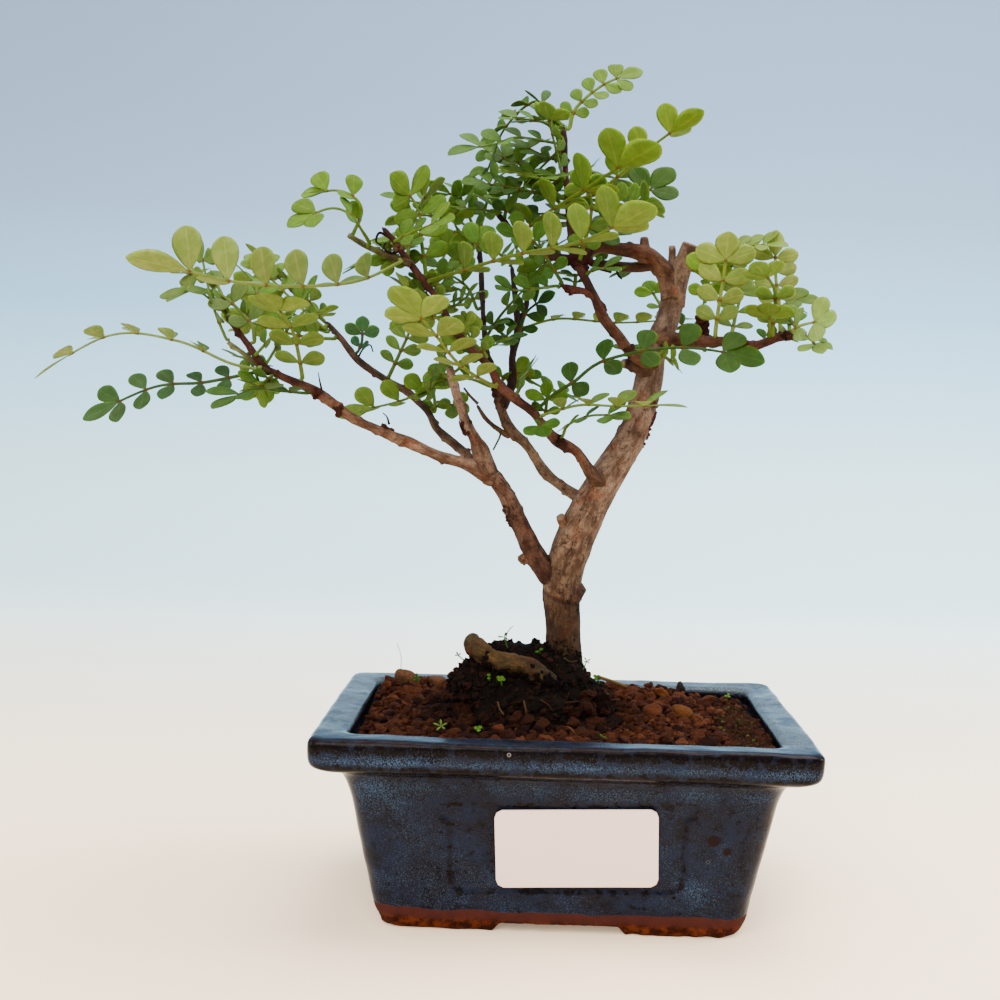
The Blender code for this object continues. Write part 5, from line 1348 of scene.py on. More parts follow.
# %% Bark material
def make_bark():
    """Weathered bark: matt, cracked along the grain with painted shade in the cracks, mossy where it is damp,
    with a painted highlight in the olive on the surface root's top.
    """
    material, add = new_finish("weathered_cracked_bark", 0.88, 1.4, 0.2)
    place = add("Attribute", out="Vector", attribute_name="grain")
    tone = add("Attribute", out="Color", attribute_name="tone")
    age, moss_and_root_highlight, cut = (add("Attribute", out="Fac", attribute_name=key) for key in ("age", "moss", "cut"))
    clouds = add("TexNoise", {"Vector": add("Mapping", {"Vector": place, "Scale": (0.5, 1.0, 1.0)}),
                              "Scale": 260.0, "Detail": 5.0, "Roughness": 0.68})
    fine = add("TexNoise", {"Vector": place, "Scale": 1500.0, "Detail": 4.0, "Roughness": 0.7})
    patch = add("TexNoise", {"Vector": place, "Scale": 320.0, "Detail": 5.0})
    # A crack runs where a stretched noise crosses its middle value: long ones with the grain,
    # short ones across it. A patchy mask breaks both off.
    cracks = None
    for stretch, width, weight in (((0.22, 1.0, 1.0), 0.020, 1.0), ((1.5, 0.45, 0.45), 0.016, 0.7)):
        field = add("TexNoise", {"Vector": add("Mapping", {"Vector": place, "Scale": stretch}),
                                 "Scale": 430.0, "Detail": 2.5, "Distortion": 0.4})
        gap = add("Math", {0: add("Math", {0: field, 1: 0.5}, operation="SUBTRACT")}, operation="ABSOLUTE")
        line = add("MapRange", {0: gap, 1: 0.0, 2: width, 3: weight, 4: 0.0}, **EASE)
        cracks = line if cracks is None else add("Math", {0: cracks, 1: line}, operation="MAXIMUM")
    broken = add("MapRange", {0: patch, 1: 0.42, 2: 0.56}, **EASE)
    mask = add("Math", {0: broken, 1: age}, operation="MULTIPLY")
    cracks = add("Math", {0: cracks, 1: mask}, operation="MULTIPLY")
    shade = add("Mix", {0: 1.0, 6: tone, 7: (0.42, 0.33, 0.28, 1.0)}, **TINT)
    light = add("Mix", {0: 1.0, 6: tone, 7: (1.5, 1.5, 1.5, 1.0)}, **TINT)
    cloudy = add("MapRange", {0: clouds, 1: 0.36, 2: 0.64}, **EASE)
    colour = add("Mix", {0: cloudy, 6: shade, 7: light}, **BLEND)
    rust = add("TexNoise", {"Vector": place, "Scale": 150.0, "Detail": 5.0, "Roughness": 0.65})
    rusty = add("Mix", {0: 1.0, 6: colour, 7: (0.85, 0.52, 0.38, 1.0)}, **TINT)
    patches = add("MapRange", {0: rust, 1: 0.53, 2: 0.62, 4: 0.8}, **EASE)
    colour = add("Mix", {0: patches, 6: colour, 7: rusty}, **BLEND)
    specks = add("MapRange", {0: fine, 1: 0.34, 2: 0.5, 3: 0.75, 4: 0.0}, **EASE)
    colour = add("Mix", {0: specks, 6: colour, 7: shade}, **BLEND)
    glints = add("MapRange", {0: fine, 1: 0.62, 2: 0.74, 4: 0.5}, **EASE)
    colour = add("Mix", {0: glints, 6: colour, 7: light}, **BLEND)
    # The cracks are painted dark: partly the darker bark inside them, partly painted shade in them.
    dark = add("Mix", {0: 1.0, 6: tone, 7: (0.16, 0.11, 0.09, 1.0)}, **TINT)
    colour = add("Mix", {0: cracks, 6: colour, 7: dark}, **BLEND)
    moss_mask = add("Math", {0: add("MapRange", {0: patch, 1: 0.44, 2: 0.6, 4: 0.55}, **EASE), 1: moss_and_root_highlight},
                    operation="MULTIPLY")
    green = add("Mix", {0: fine, 6: rgba("#24210f"), 7: rgba("#6d6a2e")}, **BLEND)
    colour = add("Mix", {0: moss_mask, 6: colour, 7: green}, **BLEND)
    pale_wood = add("Mix", {0: fine, 6: rgba("#8a6f58"), 7: rgba("#c4a68c")}, **BLEND)
    solid = add("Math", {0: 1.0, 1: cracks}, operation="SUBTRACT")
    relief = add("Math", {0: add("Math", {0: clouds, 1: fine}), 1: 0.45, 2: solid}, operation="MULTIPLY_ADD")
    feed(material, Base_Color=add("Mix", {0: cut, 6: colour, 7: pale_wood}, **BLEND),
         Normal=add("Bump", {"Height": relief, "Distance": 0.45 * MM, "Strength": 0.9}))
    return material


add_piece("tree_bark", wood_shape, make_bark(), ("tree_wood",), wood_values)

# %% [markdown]
# ## Feathered leaves
#
# Each leaf is a thin green rib with pairs of round leaflets and one at its tip. The rib
# carries the leaflets on small reddish joints. A flat card with a picture would do from far
# off, but here every leaflet is a closed lens: a grid that runs from its foot to its tip, and
# round over the upper side and back under the lower side. All leaflets of a leaf are worked
# out at once.

# %% Leaf table
# Each leaf: path from the twig to the tip, pairs, length and width of a leaflet, lean of the
# blade (0 faces up, 90 the front, -90 the back) and fold of the leaflets above it.
LEAVES = {
    "lower_left": (
        (((-94, -28, 166), (-103, -33, 170), (-118, -35, 176), (-137, -38, 177), (-158, -44, 164)),
         5, 8, 5, 0, 18),
        (((-94, -25, 167), (-111, -29, 164), (-126, -32, 162), (-146, -36, 152)), 5, 7.4, 5, 40, 5),
        (((-79, -23, 161), (-88, -34, 162), (-94, -44, 162), (-103, -54, 156)), 3, 8.2, 5.2, 10, 15),
        (((-82, -23, 165), (-83, -35, 178), (-85, -44, 184), (-90, -54, 190)), 4, 8.6, 6.6, -10, 10),
        (((-98, -25, 173), (-99, -24, 183), (-111, -22, 192), (-128, -18, 190)), 4, 8, 5.2, 35, 15),
    ),
    "dark_limb": (
        (((-51, -31, 201), (-66, -48, 193), (-92, -64, 191), (-121, -78, 197)), 6, 10.6, 7.2, -35, 40),
        (((-67, -33, 207), (-64, -34, 215), (-66, -35, 219), (-72, -35, 221), (-82, -34, 219)),
         3, 7, 5.2, 35, 25),
        (((-60, -33, 205), (-63, -40, 209), (-66, -44, 213), (-72, -47, 214), (-83, -50, 208)),
         2, 7.4, 5.4, 35, 15),
        (((-45, -28, 195), (-47, -24, 208), (-49, -20, 219), (-58, -16, 229)), 4, 8.4, 5.8, -50, 15),
        (((-55, -31, 207), (-47, -36, 210), (-36, -42, 213)), 2, 7.4, 5.4, 40, 10),
        (((-23, -17, 164), (-34, -34, 171), (-42, -50, 181), (-52, -62, 192)), 5, 9, 6.8, -30, 10),
        (((-44, -28, 196), (-19, -46, 202), (1, -62, 205), (19, -78, 213)), 6, 9.4, 7, -40, 35),
        (((-17, -16, 162), (-15, -20, 168), (-11, -25, 174)), 2, 5.6, 4.2, 30, 10),
        (((-11, -15, 158), (-6, -20, 163), (0, -21, 167), (10, -22, 174), (32, -24, 178), (57, -28, 175)),
         5, 7.8, 6.4, 50, 10),
        (((-10, -15, 157), (2, -24, 160), (14, -31, 160), (33, -40, 161)), 4, 8, 5, 5, 25),
        (((-3, -12, 149), (-1, -18, 154), (6, -25, 157), (17, -33, 157)), 3, 5.8, 4.2, 35, 10),
        (((-11, -15, 156), (-10, -20, 154), (-8, -25, 150)), 1, 5, 4, 60, 0),
    ),
    "back_left": (
        (((-61, 18, 167), (-57, 14, 175), (-53, 8, 183), (-51, 4, 192)), 4, 6.6, 5.2, -70, 10),
        (((-71, 20, 174), (-70, 20, 180), (-70, 19, 188)), 2, 5.4, 3.6, 20, 20),
        (((-84, 23, 186), (-87, 22, 191), (-92, 20, 197)), 2, 5.4, 3.8, -30, 10),
        (((-47, 14, 157), (-43, 12, 160), (-33, 10, 157)), 1, 5.4, 4, 50, 10),
    ),
    "left_stub": (
        (((-38, -15, 170), (-39, -20, 173), (-42, -25, 176)), 1, 4.8, 3.8, 60, 0),
    ),
    "tan_limb": (
        (((-25, 18, 165), (-38, 9, 168), (-55, 4, 160), (-75, -2, 155)), 5, 7.4, 5.4, 40, 30),
        (((-29, 20, 180), (-23, 16, 190), (-11, 10, 203)), 3, 6.4, 4.6, 40, 10),
        (((-19, 25, 180), (-15, 22, 191), (-6, 18, 197)), 3, 7, 3.4, 60, 10),
        (((-29, 20, 179), (-24, 12, 181), (-19, 3, 179)), 2, 6.4, 4.4, 30, 10),
        (((-18, 28, 185), (-4, 27, 189), (16, 25, 188), (41, 22, 190)), 6, 7.4, 5, 0, 20),
        (((-21, 34, 206), (-29, 45, 214), (-40, 55, 217), (-52, 62, 214)), 4, 8.4, 5.6, -20, 10),
        (((-32, 26, 215), (-41, 34, 222), (-53, 40, 224), (-66, 43, 221)), 4, 8.4, 5.6, -15, 15),
        (((-16, 32, 205), (-9, 44, 213), (1, 54, 216), (13, 61, 213)), 4, 8.4, 5.6, -20, 10),
    ),
    "crown": (
        (((-19, 6, 212), (-12, -12, 217), (2, -30, 224), (22, -48, 235)), 4, 9.8, 7.6, -40, 35),
        (((-3, -2, 224), (7, -12, 226), (20, -20, 237), (36, -28, 248)), 4, 7.4, 5.6, -30, 40),
        (((0, -6, 208), (8, 0, 214), (19, 6, 225), (31, 12, 238)), 4, 8, 6, 50, 10),
        (((-5, 0, 247), (-1, 2, 254), (8, 4, 262), (20, 6, 267)), 5, 5.6, 5, 55, 5),
        (((-6, 0, 247), (-14, 4, 256), (-24, 9, 248), (-30, 12, 234), (-40, 14, 221)), 8, 8, 3.6, 20, 25),
        (((-6, 0, 245), (-13, -6, 248), (-25, -14, 247)), 3, 6, 4.4, 20, 15),
        (((-6, 0, 242), (-19, -10, 242), (-26, -15, 239), (-40, -22, 235)), 4, 6.8, 5, 30, 20),
        (((-5, 0, 236), (-12, 7, 240), (-22, 13, 246)), 3, 7.2, 3.6, 20, 10),
        (((-4, 0, 233), (-12, -14, 229), (-22, -28, 229)), 3, 7.4, 5.6, 20, 10),
        (((-4, -2, 224), (-20, 0, 228), (-37, -1, 230)), 5, 7.4, 5, 35, 10),
        (((-3, 0, 226), (4, 14, 233), (12, 30, 237), (17, 44, 233)), 4, 8.4, 5.8, 0, 15),
        (((-24, 10, 220), (-29, 21, 227), (-40, 33, 231), (-53, 41, 229)), 4, 8.4, 5.6, -10, 15),
    ),
    "top_branch": (
        (((14, 3, 211), (10, 18, 218), (3, 34, 223), (-7, 47, 220)), 4, 8.4, 5.8, 0, 15),
    ),
    "right_twig": (
        (((44, -8, 182), (44, -12, 189), (45, -15, 200), (46, -17, 214)), 4, 7.6, 6.4, -90, 10),
        (((63, -14, 184), (63, -11, 192), (62, -8, 202), (62, -5, 216)), 5, 6.4, 5, -90, 10),
        (((66, -14, 184), (68, -2, 191), (73, 6, 200)), 2, 6, 4.6, 30, 10),
        (((65, -14, 183), (69, -20, 186), (78, -27, 188)), 2, 7, 5, 60, 10),
        (((71, -16, 183), (72, -20, 181), (74, -26, 177)), 2, 5.4, 4, 50, 0),
        (((59, -13, 182), (59, -19, 185), (57, -28, 192)), 1, 6.2, 5.2, 10, 10),
        (((49, -10, 182), (51, -2, 190), (55, 6, 203)), 3, 7, 4.6, 60, 10),
    ),
    "right_spur": (
        (((41, -1, 193), (41, -5, 200), (42, -8, 210)), 2, 6.4, 5, -60, 10),
    ),
    "trunk": (
        (((30, 11, 190), (27, 17, 196), (24, 21, 202)), 2, 5.2, 3.8, 60, 5),
    ),
}
SEAT_DEPTH = 0.2
STEM_START = 0.55
PROBE = 3.0
SQUARE_STEM = 0.8
PATH_STEP = 0.5
# The end leaflet: its share of the leaf's length, its least and greatest length and its width,
# in lengths and widths of a side leaflet.
END_SHARE = 0.25
END_LEAST = 1.05
END_MOST = 1.6
END_WIDTH = 1.1
BARE_STEM = 0.2
FIRST_PAIR = 2.4
WIDEST_SPACING = 2.0
CROWDING = 1.15
SWEEP = math.radians(68.0)
SMALLEST = 0.74
JOINT_HALF = 0.55
RIB_HALF = 0.62
RIB_SIDES = 8
RIB_STEP = 0.55
RIB_FLAT = 0.72
FULLER = 1.25

# %% [markdown]
# A leaf starts on the bark. The nearest point of the CAD wood gives the spot and the
# direction that the bark faces; the stem leaves it squarely and then follows the table.

# %% Paths and directions of a leaf
wood_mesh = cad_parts["tree_wood"].data
wood_tree = BVHTree.FromPolygons([vertex.co for vertex in wood_mesh.vertices],
                                 [tuple(face.vertices) for face in wood_mesh.polygons])


def leaf_path(points):
    """Catmull-Rom curve from just inside the bark, squarely out of it and through the table."""
    points = np.array(points, float)
    probe = points[0] + PROBE * unit(points[1] - points[0])
    spot, normal, _, _ = wood_tree.find_nearest(Vector((probe + POT_CENTRE) * MM))
    out = np.array(normal)
    seat = np.array(spot) / MM - POT_CENTRE
    start = seat + STEM_START * out
    path = catmull_rom(np.vstack([start, start + SQUARE_STEM * out, points[1:]]), PATH_STEP)
    return np.vstack([seat - SEAT_DEPTH * out, path])


def leaf_frames(path, stations, facing):
    """At each distance along the path: the point, forward, side and up vectors. Up is the
    facing vector with its part along the path taken out."""
    distance = path_length(path)

    def at(where):
        return np.stack([np.interp(where, distance, path[:, axis]) for axis in range(3)], axis=-1)

    forward = unit(at(stations + 1.0) - at(stations - 1.0))
    up = unit(facing - (forward @ facing)[:, None] * forward)
    return at(stations), forward, np.cross(forward, up), up


# %% [markdown]
# The outline of a leaflet is an egg that stands on its point: half width = width / 2 ·
# sin(π · u^1.45) ^ 0.55, where u runs from 0 at the foot to 1 at the tip. The blade is
# slightly cupped along its midrib, and its tip bends down a little.

# %% Leaflets
SOFT_EDGE = 1.5
LOW_LIMIT = np.array(CAD_BOX[0]) / MM - POT_CENTRE + SOFT_EDGE + 0.1
HIGH_LIMIT = np.array(CAD_BOX[1]) / MM - POT_CENTRE - SOFT_EDGE - 0.1


def hold_inside(points):
    """Ease the outermost tips back into the CAD model's box: a distance e beyond the limit
    becomes soft · tanh(e / soft)."""
    over = np.clip(points - HIGH_LIMIT, 0.0, None)
    under = np.clip(LOW_LIMIT - points, 0.0, None)
    return (points - over + SOFT_EDGE * np.tanh(over / SOFT_EDGE)
            + under - SOFT_EDGE * np.tanh(under / SOFT_EDGE))


ALONG = 10
AROUND = 8
LEAF_THICK = 0.30
# Powers of the outline, for a leaflet and for the slimmer end one.
EGG = (1.45, 0.55)
SLIM_EGG = (1.3, 0.64)


def leaflet_grids(base, direction, across, length, width, rng, slim=False):
    """Closed lenses for all leaflets of a leaf at once.

    Point = base + direction · length · u + across · half width · cos(a)
    + normal · (cup · cos(a)² · half width - droop · u² · length + thickness · sin(a)).
    """
    u = (1.0 - np.cos(np.linspace(0.0, np.pi, ALONG + 2)))[1:-1] / 2.0
    angle = full_turn(AROUND)
    inner, outer = SLIM_EGG if slim else EGG
    half = np.sin(np.pi * u ** inner) ** outer
    count = len(base)
    normal = np.cross(direction, across)
    cup = rng.uniform(0.04, 0.22, count)
    droop = rng.uniform(-0.02, 0.12, count)
    sway = rng.uniform(-0.05, 0.05, count)
    half_width = (width[:, None] / 2.0 * half[None])[..., None]
    cos, sin = np.cos(angle)[None, None], np.sin(angle)[None, None]
    x = half_width * cos + (sway[:, None] * length[:, None] * (u * (1 - u))[None])[..., None]
    thick = LEAF_THICK / 2.0 * np.minimum(1.0, 3.0 * (1.0 - u) + 0.25)[None, :, None]
    z = (cup[:, None, None] * cos ** 2 * half_width
         - (droop[:, None] * length[:, None] * u[None] ** 2)[..., None] + thick * sin)
    y = length[:, None, None] * u[None, :, None] * np.ones_like(x)
    grid = (base[:, None, None] + direction[:, None, None] * y[..., None]
            + across[:, None, None] * x[..., None] + normal[:, None, None] * z[..., None])
    uv = np.stack([np.broadcast_to(u[:, None], (ALONG, AROUND)),
                   np.broadcast_to((np.cos(angle) + 1.0)[None] / 2.0, (ALONG, AROUND))], axis=-1)
    upper = np.broadcast_to((np.sin(angle) + 1.0)[None] / 2.0, (ALONG, AROUND))
    foot = base[:, None]
    tip = (base + direction * length[:, None] - normal * (droop * length)[:, None])[:, None]
    points = np.concatenate([grid.reshape(count, -1, 3), foot, tip], axis=1)
    uv = np.vstack([uv.reshape(-1, 2), (0.0, 0.5), (1.0, 0.5)])
    upper = np.concatenate([upper.reshape(-1), (0.5, 0.5)])
    return points, {"uv": np.tile(uv, (count, 1)), "upper": np.tile(upper, count)}


def blades_shape(points):
    """Points and faces of lenses, each closed by its two end points."""
    count, stride = points.shape[:2]
    _, quads, fans = skin(np.zeros((ALONG, AROUND, 3)))
    return points.reshape(-1, 3), repeat_faces(quads, count, stride), repeat_faces(fans, count, stride)


def plain_values(count, tone, red=0.0):
    """What a leaf skin reads on a rib or a stem: no blade and no upper side."""
    return {"tone": np.tile(tone, (count, 1)), "upper": np.full(count, 0.5), "red": np.full(count, red),
            "blade": np.zeros(count), "uv": np.full((count, 2), 0.5)}


# %% [markdown]
# ## Leaf colours
#
# Young leaves are yellow-green and glow where light comes through. Older ones inside the tree
# are dark and waxy, and their dark tones are partly painted shade from lying deep in the tree.
# Each leaf has one main tone; its leaflets differ a little, and those near the tip are younger
# and lighter.

# %% Leaf tones
LEAF_TINT = np.array([0.98, 1.08, 1.35])
# Dark tones of leaves deep in the tree are partly their own older colour and partly painted shade.
LEAF_TONES = {
    "lower_left": ("#a8b664", "#5c7342", "#56702f", "#93a546", "#879648"),
    "dark_limb": ("#a0b058", "#86a034", "#829c36", "#74902e", "#7b9430", "#98a548", "#7c8c38", "#6a8436",
                  "#4c6428", "#94a84c", "#7a9440", "#5c7f2e"),
    "back_left": ("#7d9646", "#567650", "#7c9444", "#7c9040"),
    "left_stub": ("#6f8a3c",),
    "tan_limb": ("#859638", "#667e34", "#4a6432", "#5c7a34", "#8da645", "#66822f", "#627c2c", "#5d742a"),
    "crown": ("#748a2c", "#869c30", "#4c6424", "#90a840", "#66823a", "#6c8838", "#72903c", "#688436",
              "#708c30", "#5c782c", "#5c7c28", "#6c8c32"),
    "top_branch": ("#506c26",),
    "right_twig": ("#a3b14e", "#aab455", "#84983a", "#b0be60", "#a8be50", "#788e34", "#98a848"),
    "right_spur": ("#8db03a",),
    "trunk": ("#8db03a",),
}


# %% Build one leaf
def leaf_shape(table, tone, rng):
    """Rib and leaflets of one leaf, joined into one shape and its values."""
    path_points, pairs, length, width, lean, fold = table
    path = leaf_path(path_points)
    total = path_length(path)[-1]
    facing = np.array([0.0, -math.sin(math.radians(lean)), math.cos(math.radians(lean))])
    end_length = min(END_MOST * length, max(END_LEAST * length, END_SHARE * total))
    rib_end = total - end_length
    last_knot = rib_end - JOINT_HALF
    spacing = WIDEST_SPACING * width
    if pairs > 1:
        spacing = min(spacing, (last_knot - max(FIRST_PAIR, BARE_STEM * total)) / (pairs - 1))
    knots = last_knot - spacing * np.arange(pairs - 1, -1, -1)
    length, width = length * FULLER, min(width * FULLER, CROWDING * spacing)

    # Rib: an oval ring along the path, thicker and redder at each joint.
    stations = np.arange(0.0, rib_end + 0.8, RIB_STEP)
    here, forward, side, up = leaf_frames(path, stations, facing)
    near_joint = np.exp(-(np.min(np.abs(stations[:, None] - knots[None]), axis=1) / 0.45) ** 2)
    taper = 1.15 - 0.45 * stations / stations[-1]
    half = RIB_HALF * taper * (1.0 + 0.35 * near_joint)
    turn = full_turn(RIB_SIDES)
    rib = skin(here[:, None] + up[:, None] * (RIB_FLAT * half[:, None] * np.cos(turn))[..., None]
               + side[:, None] * (half[:, None] * np.sin(turn))[..., None])
    red = np.concatenate([np.repeat(near_joint, RIB_SIDES), near_joint[[0, -1]]])

    # Leaflets: pairs at the knots, then the end one.
    here, forward, side, up = leaf_frames(path, knots, facing)
    youth = np.linspace(0.0, 1.0, pairs) if pairs > 1 else np.ones(1)
    scale = SMALLEST + (1.0 - SMALLEST) * youth
    leaflets = []
    rise = math.radians(fold)
    for sign in (-1.0, 1.0):
        shake = rng.normal(0.0, 0.07, (pairs, 2))
        outward = sign * side * np.cos(rise + shake[:, :1]) + up * np.sin(rise + shake[:, :1])
        sweep = SWEEP + shake[:, 1:]
        way = unit(forward * np.cos(sweep) + outward * np.sin(sweep))
        across = sign * unit(forward - np.sum(forward * way, axis=1)[:, None] * way)
        tilt = rng.normal(0.0, 0.12, (pairs, 1))
        across = unit(across + tilt * np.cross(way, across))
        leaflets.append((here + sign * side * RIB_HALF * 0.5, way, across,
                         length * scale * rng.uniform(0.93, 1.0, pairs),
                         width * scale * rng.uniform(0.92, 1.0, pairs)))
    here, forward, side, _ = leaf_frames(path, np.array([rib_end]), facing)
    points, values = leaflet_grids(*(np.concatenate(pair) for pair in zip(*leaflets)), rng)
    end_points, end_values = leaflet_grids(here, forward, -side, np.array([end_length * 0.985]),
                                           np.array([width * END_WIDTH]), rng, slim=True)
    youth = np.concatenate([youth, youth, np.ones(1)])
    blades = np.concatenate([points, end_points])
    count, stride = blades.shape[:2]

    base_tone = linear(tone, PAINT) * LEAF_TINT
    young = np.clip(base_tone * (1.12, 1.10, 1.0), 0, 1)
    old = base_tone * (0.80, 0.86, 0.9)
    mixed = old + (young - old) * youth[:, None]
    mixed = mixed * rng.uniform(0.86, 1.14, (count, 1)) * rng.uniform(0.96, 1.05, (count, 3))
    tones = np.column_stack([np.clip(mixed, 0, 1), np.ones(count)])
    blade_values = {key: np.concatenate([values[key], end_values[key]]) for key in values}
    blade_values.update(tone=np.repeat(tones, stride, axis=0), red=np.zeros(count * stride),
                        blade=np.ones(count * stride))
    rib_tone = (*np.clip(base_tone * (1.0, 0.95, 0.8), 0, 1), 1.0)
    (points, quads, fans), values = join_shapes([(rib, plain_values(len(rib[0]), rib_tone, red)),
                                                 (blades_shape(blades), blade_values)])
    return (hold_inside(points), quads, fans), values


# %% [markdown]
# A leaf skin is waxy above and duller below, with a pale midrib, faint side veins and a thin
# reddish rim. Light enters one side and comes out of the other, which subsurface scattering
# over about a millimetre stands for. Where the blade is on its own map, u runs from foot to
# tip and v from one edge to the other.

# %% Leaf material
def make_leaf_skin():
    """Waxy leaf skin over glowing green flesh, with midrib, veins and a red rim."""
    material, add = new_finish("waxy_leaf_skin", 0.55, 1.3, 0.05)
    surface = material.node_tree.nodes["Principled BSDF"]
    surface.inputs["Subsurface Weight"].default_value = 0.15
    surface.inputs["Subsurface Radius"].default_value = (0.6, 1.0, 0.15)
    surface.inputs["Subsurface Scale"].default_value = 0.0012
    tone = add("Attribute", out="Color", attribute_name="tone")
    upper, red, blade = (add("Attribute", out="Fac", attribute_name=key) for key in ("upper", "red", "blade"))
    place = add("TexCoord", out="Object")
    flat = add("TexCoord", out="UV")
    along = add("SeparateXYZ", {0: flat}, "X")
    off = add("Math", {0: add("SeparateXYZ", {0: flat}, "Y"), 1: 0.5}, operation="SUBTRACT")
    away = add("Math", {0: off}, operation="ABSOLUTE")
    clouds = add("TexNoise", {"Vector": place, "Scale": 420.0, "Detail": 3.0})
    is_top = add("MapRange", {0: upper, 1: 0.42, 2: 0.58}, **EASE)
    darker = add("Mix", {0: 1.0, 6: tone, 7: (0.80, 0.86, 0.76, 1.0)}, **TINT)
    colour = add("Mix", {0: is_top, 6: tone, 7: darker}, **BLEND)
    cloudy = add("Mix", {0: 1.0, 6: colour, 7: (0.80, 0.85, 0.76, 1.0)}, **TINT)
    clear = add("MapRange", {0: clouds, 1: 0.4, 2: 0.62}, **EASE)
    colour = add("Mix", {0: clear, 6: cloudy, 7: colour}, **BLEND)
    # Side veins leave the midrib forwards: a wave of u minus the distance from the midrib.
    slant = add("Math", {0: away, 1: -0.55, 2: along}, operation="MULTIPLY_ADD")
    wave = add("Math", {0: add("Math", {0: slant, 1: 44.0}, operation="MULTIPLY")}, operation="SINE")
    vein = add("MapRange", {0: wave, 1: 0.72, 2: 0.98}, **EASE)
    midrib = add("MapRange", {0: away, 1: 0.02, 2: 0.055, 3: 1.0, 4: 0.0}, **EASE)
    lines = add("Math", {0: vein, 1: 0.30, 2: midrib}, operation="MULTIPLY_ADD")
    lines = add("Math", {0: lines, 1: blade}, operation="MULTIPLY")
    pale = add("Mix", {0: 1.0, 6: colour, 7: (1.45, 1.32, 1.4, 1.0)}, **TINT)
    faint = add("Math", {0: lines, 1: 0.6}, operation="MULTIPLY")
    colour = add("Mix", {0: faint, 6: colour, 7: pale}, **BLEND)
    rim = add("MapRange", {0: away, 1: 0.455, 2: 0.49}, **EASE)
    rim = add("Math", {0: rim, 1: blade}, operation="MULTIPLY")
    rim_red = add("Mix", {0: 0.55, 6: colour, 7: rgba("#6a3c20")}, **BLEND)
    colour = add("Mix", {0: rim, 6: colour, 7: rim_red}, **BLEND)
    relief = add("Math", {0: lines, 1: -1.0, 2: clouds}, operation="MULTIPLY_ADD")
    feed(material, Base_Color=add("Mix", {0: red, 6: colour, 7: rgba("#7a4026")}, **BLEND),
         Roughness=add("MapRange", {0: is_top, 3: 0.7, 4: 0.5}),
         Normal=add("Bump", {"Height": relief, "Distance": 0.10 * MM, "Strength": 0.6}))
    return material


leaf_skin = make_leaf_skin()
leaf_rng = np.random.default_rng(101)
for twig, leaves in LEAVES.items():
    for number, (table, tone) in enumerate(zip(leaves, LEAF_TONES[twig]), start=1):
        shape, values = leaf_shape(table, tone, leaf_rng)
        place = f"{twig}_{number}"
        add_piece("frond_" + place, shape, leaf_skin, ("leaf_" + place,), values)
print("leaves:", sum(len(leaves) for leaves in LEAVES.values()))

# %% [markdown]
# ## Young sprays
#
# Between the long leaves the twigs carry many short ones, which close the crown. They are too
# small to be solids of their own, so they are only here. Each starts on the nearest bark and
# is built in the same way; all of them make one piece.

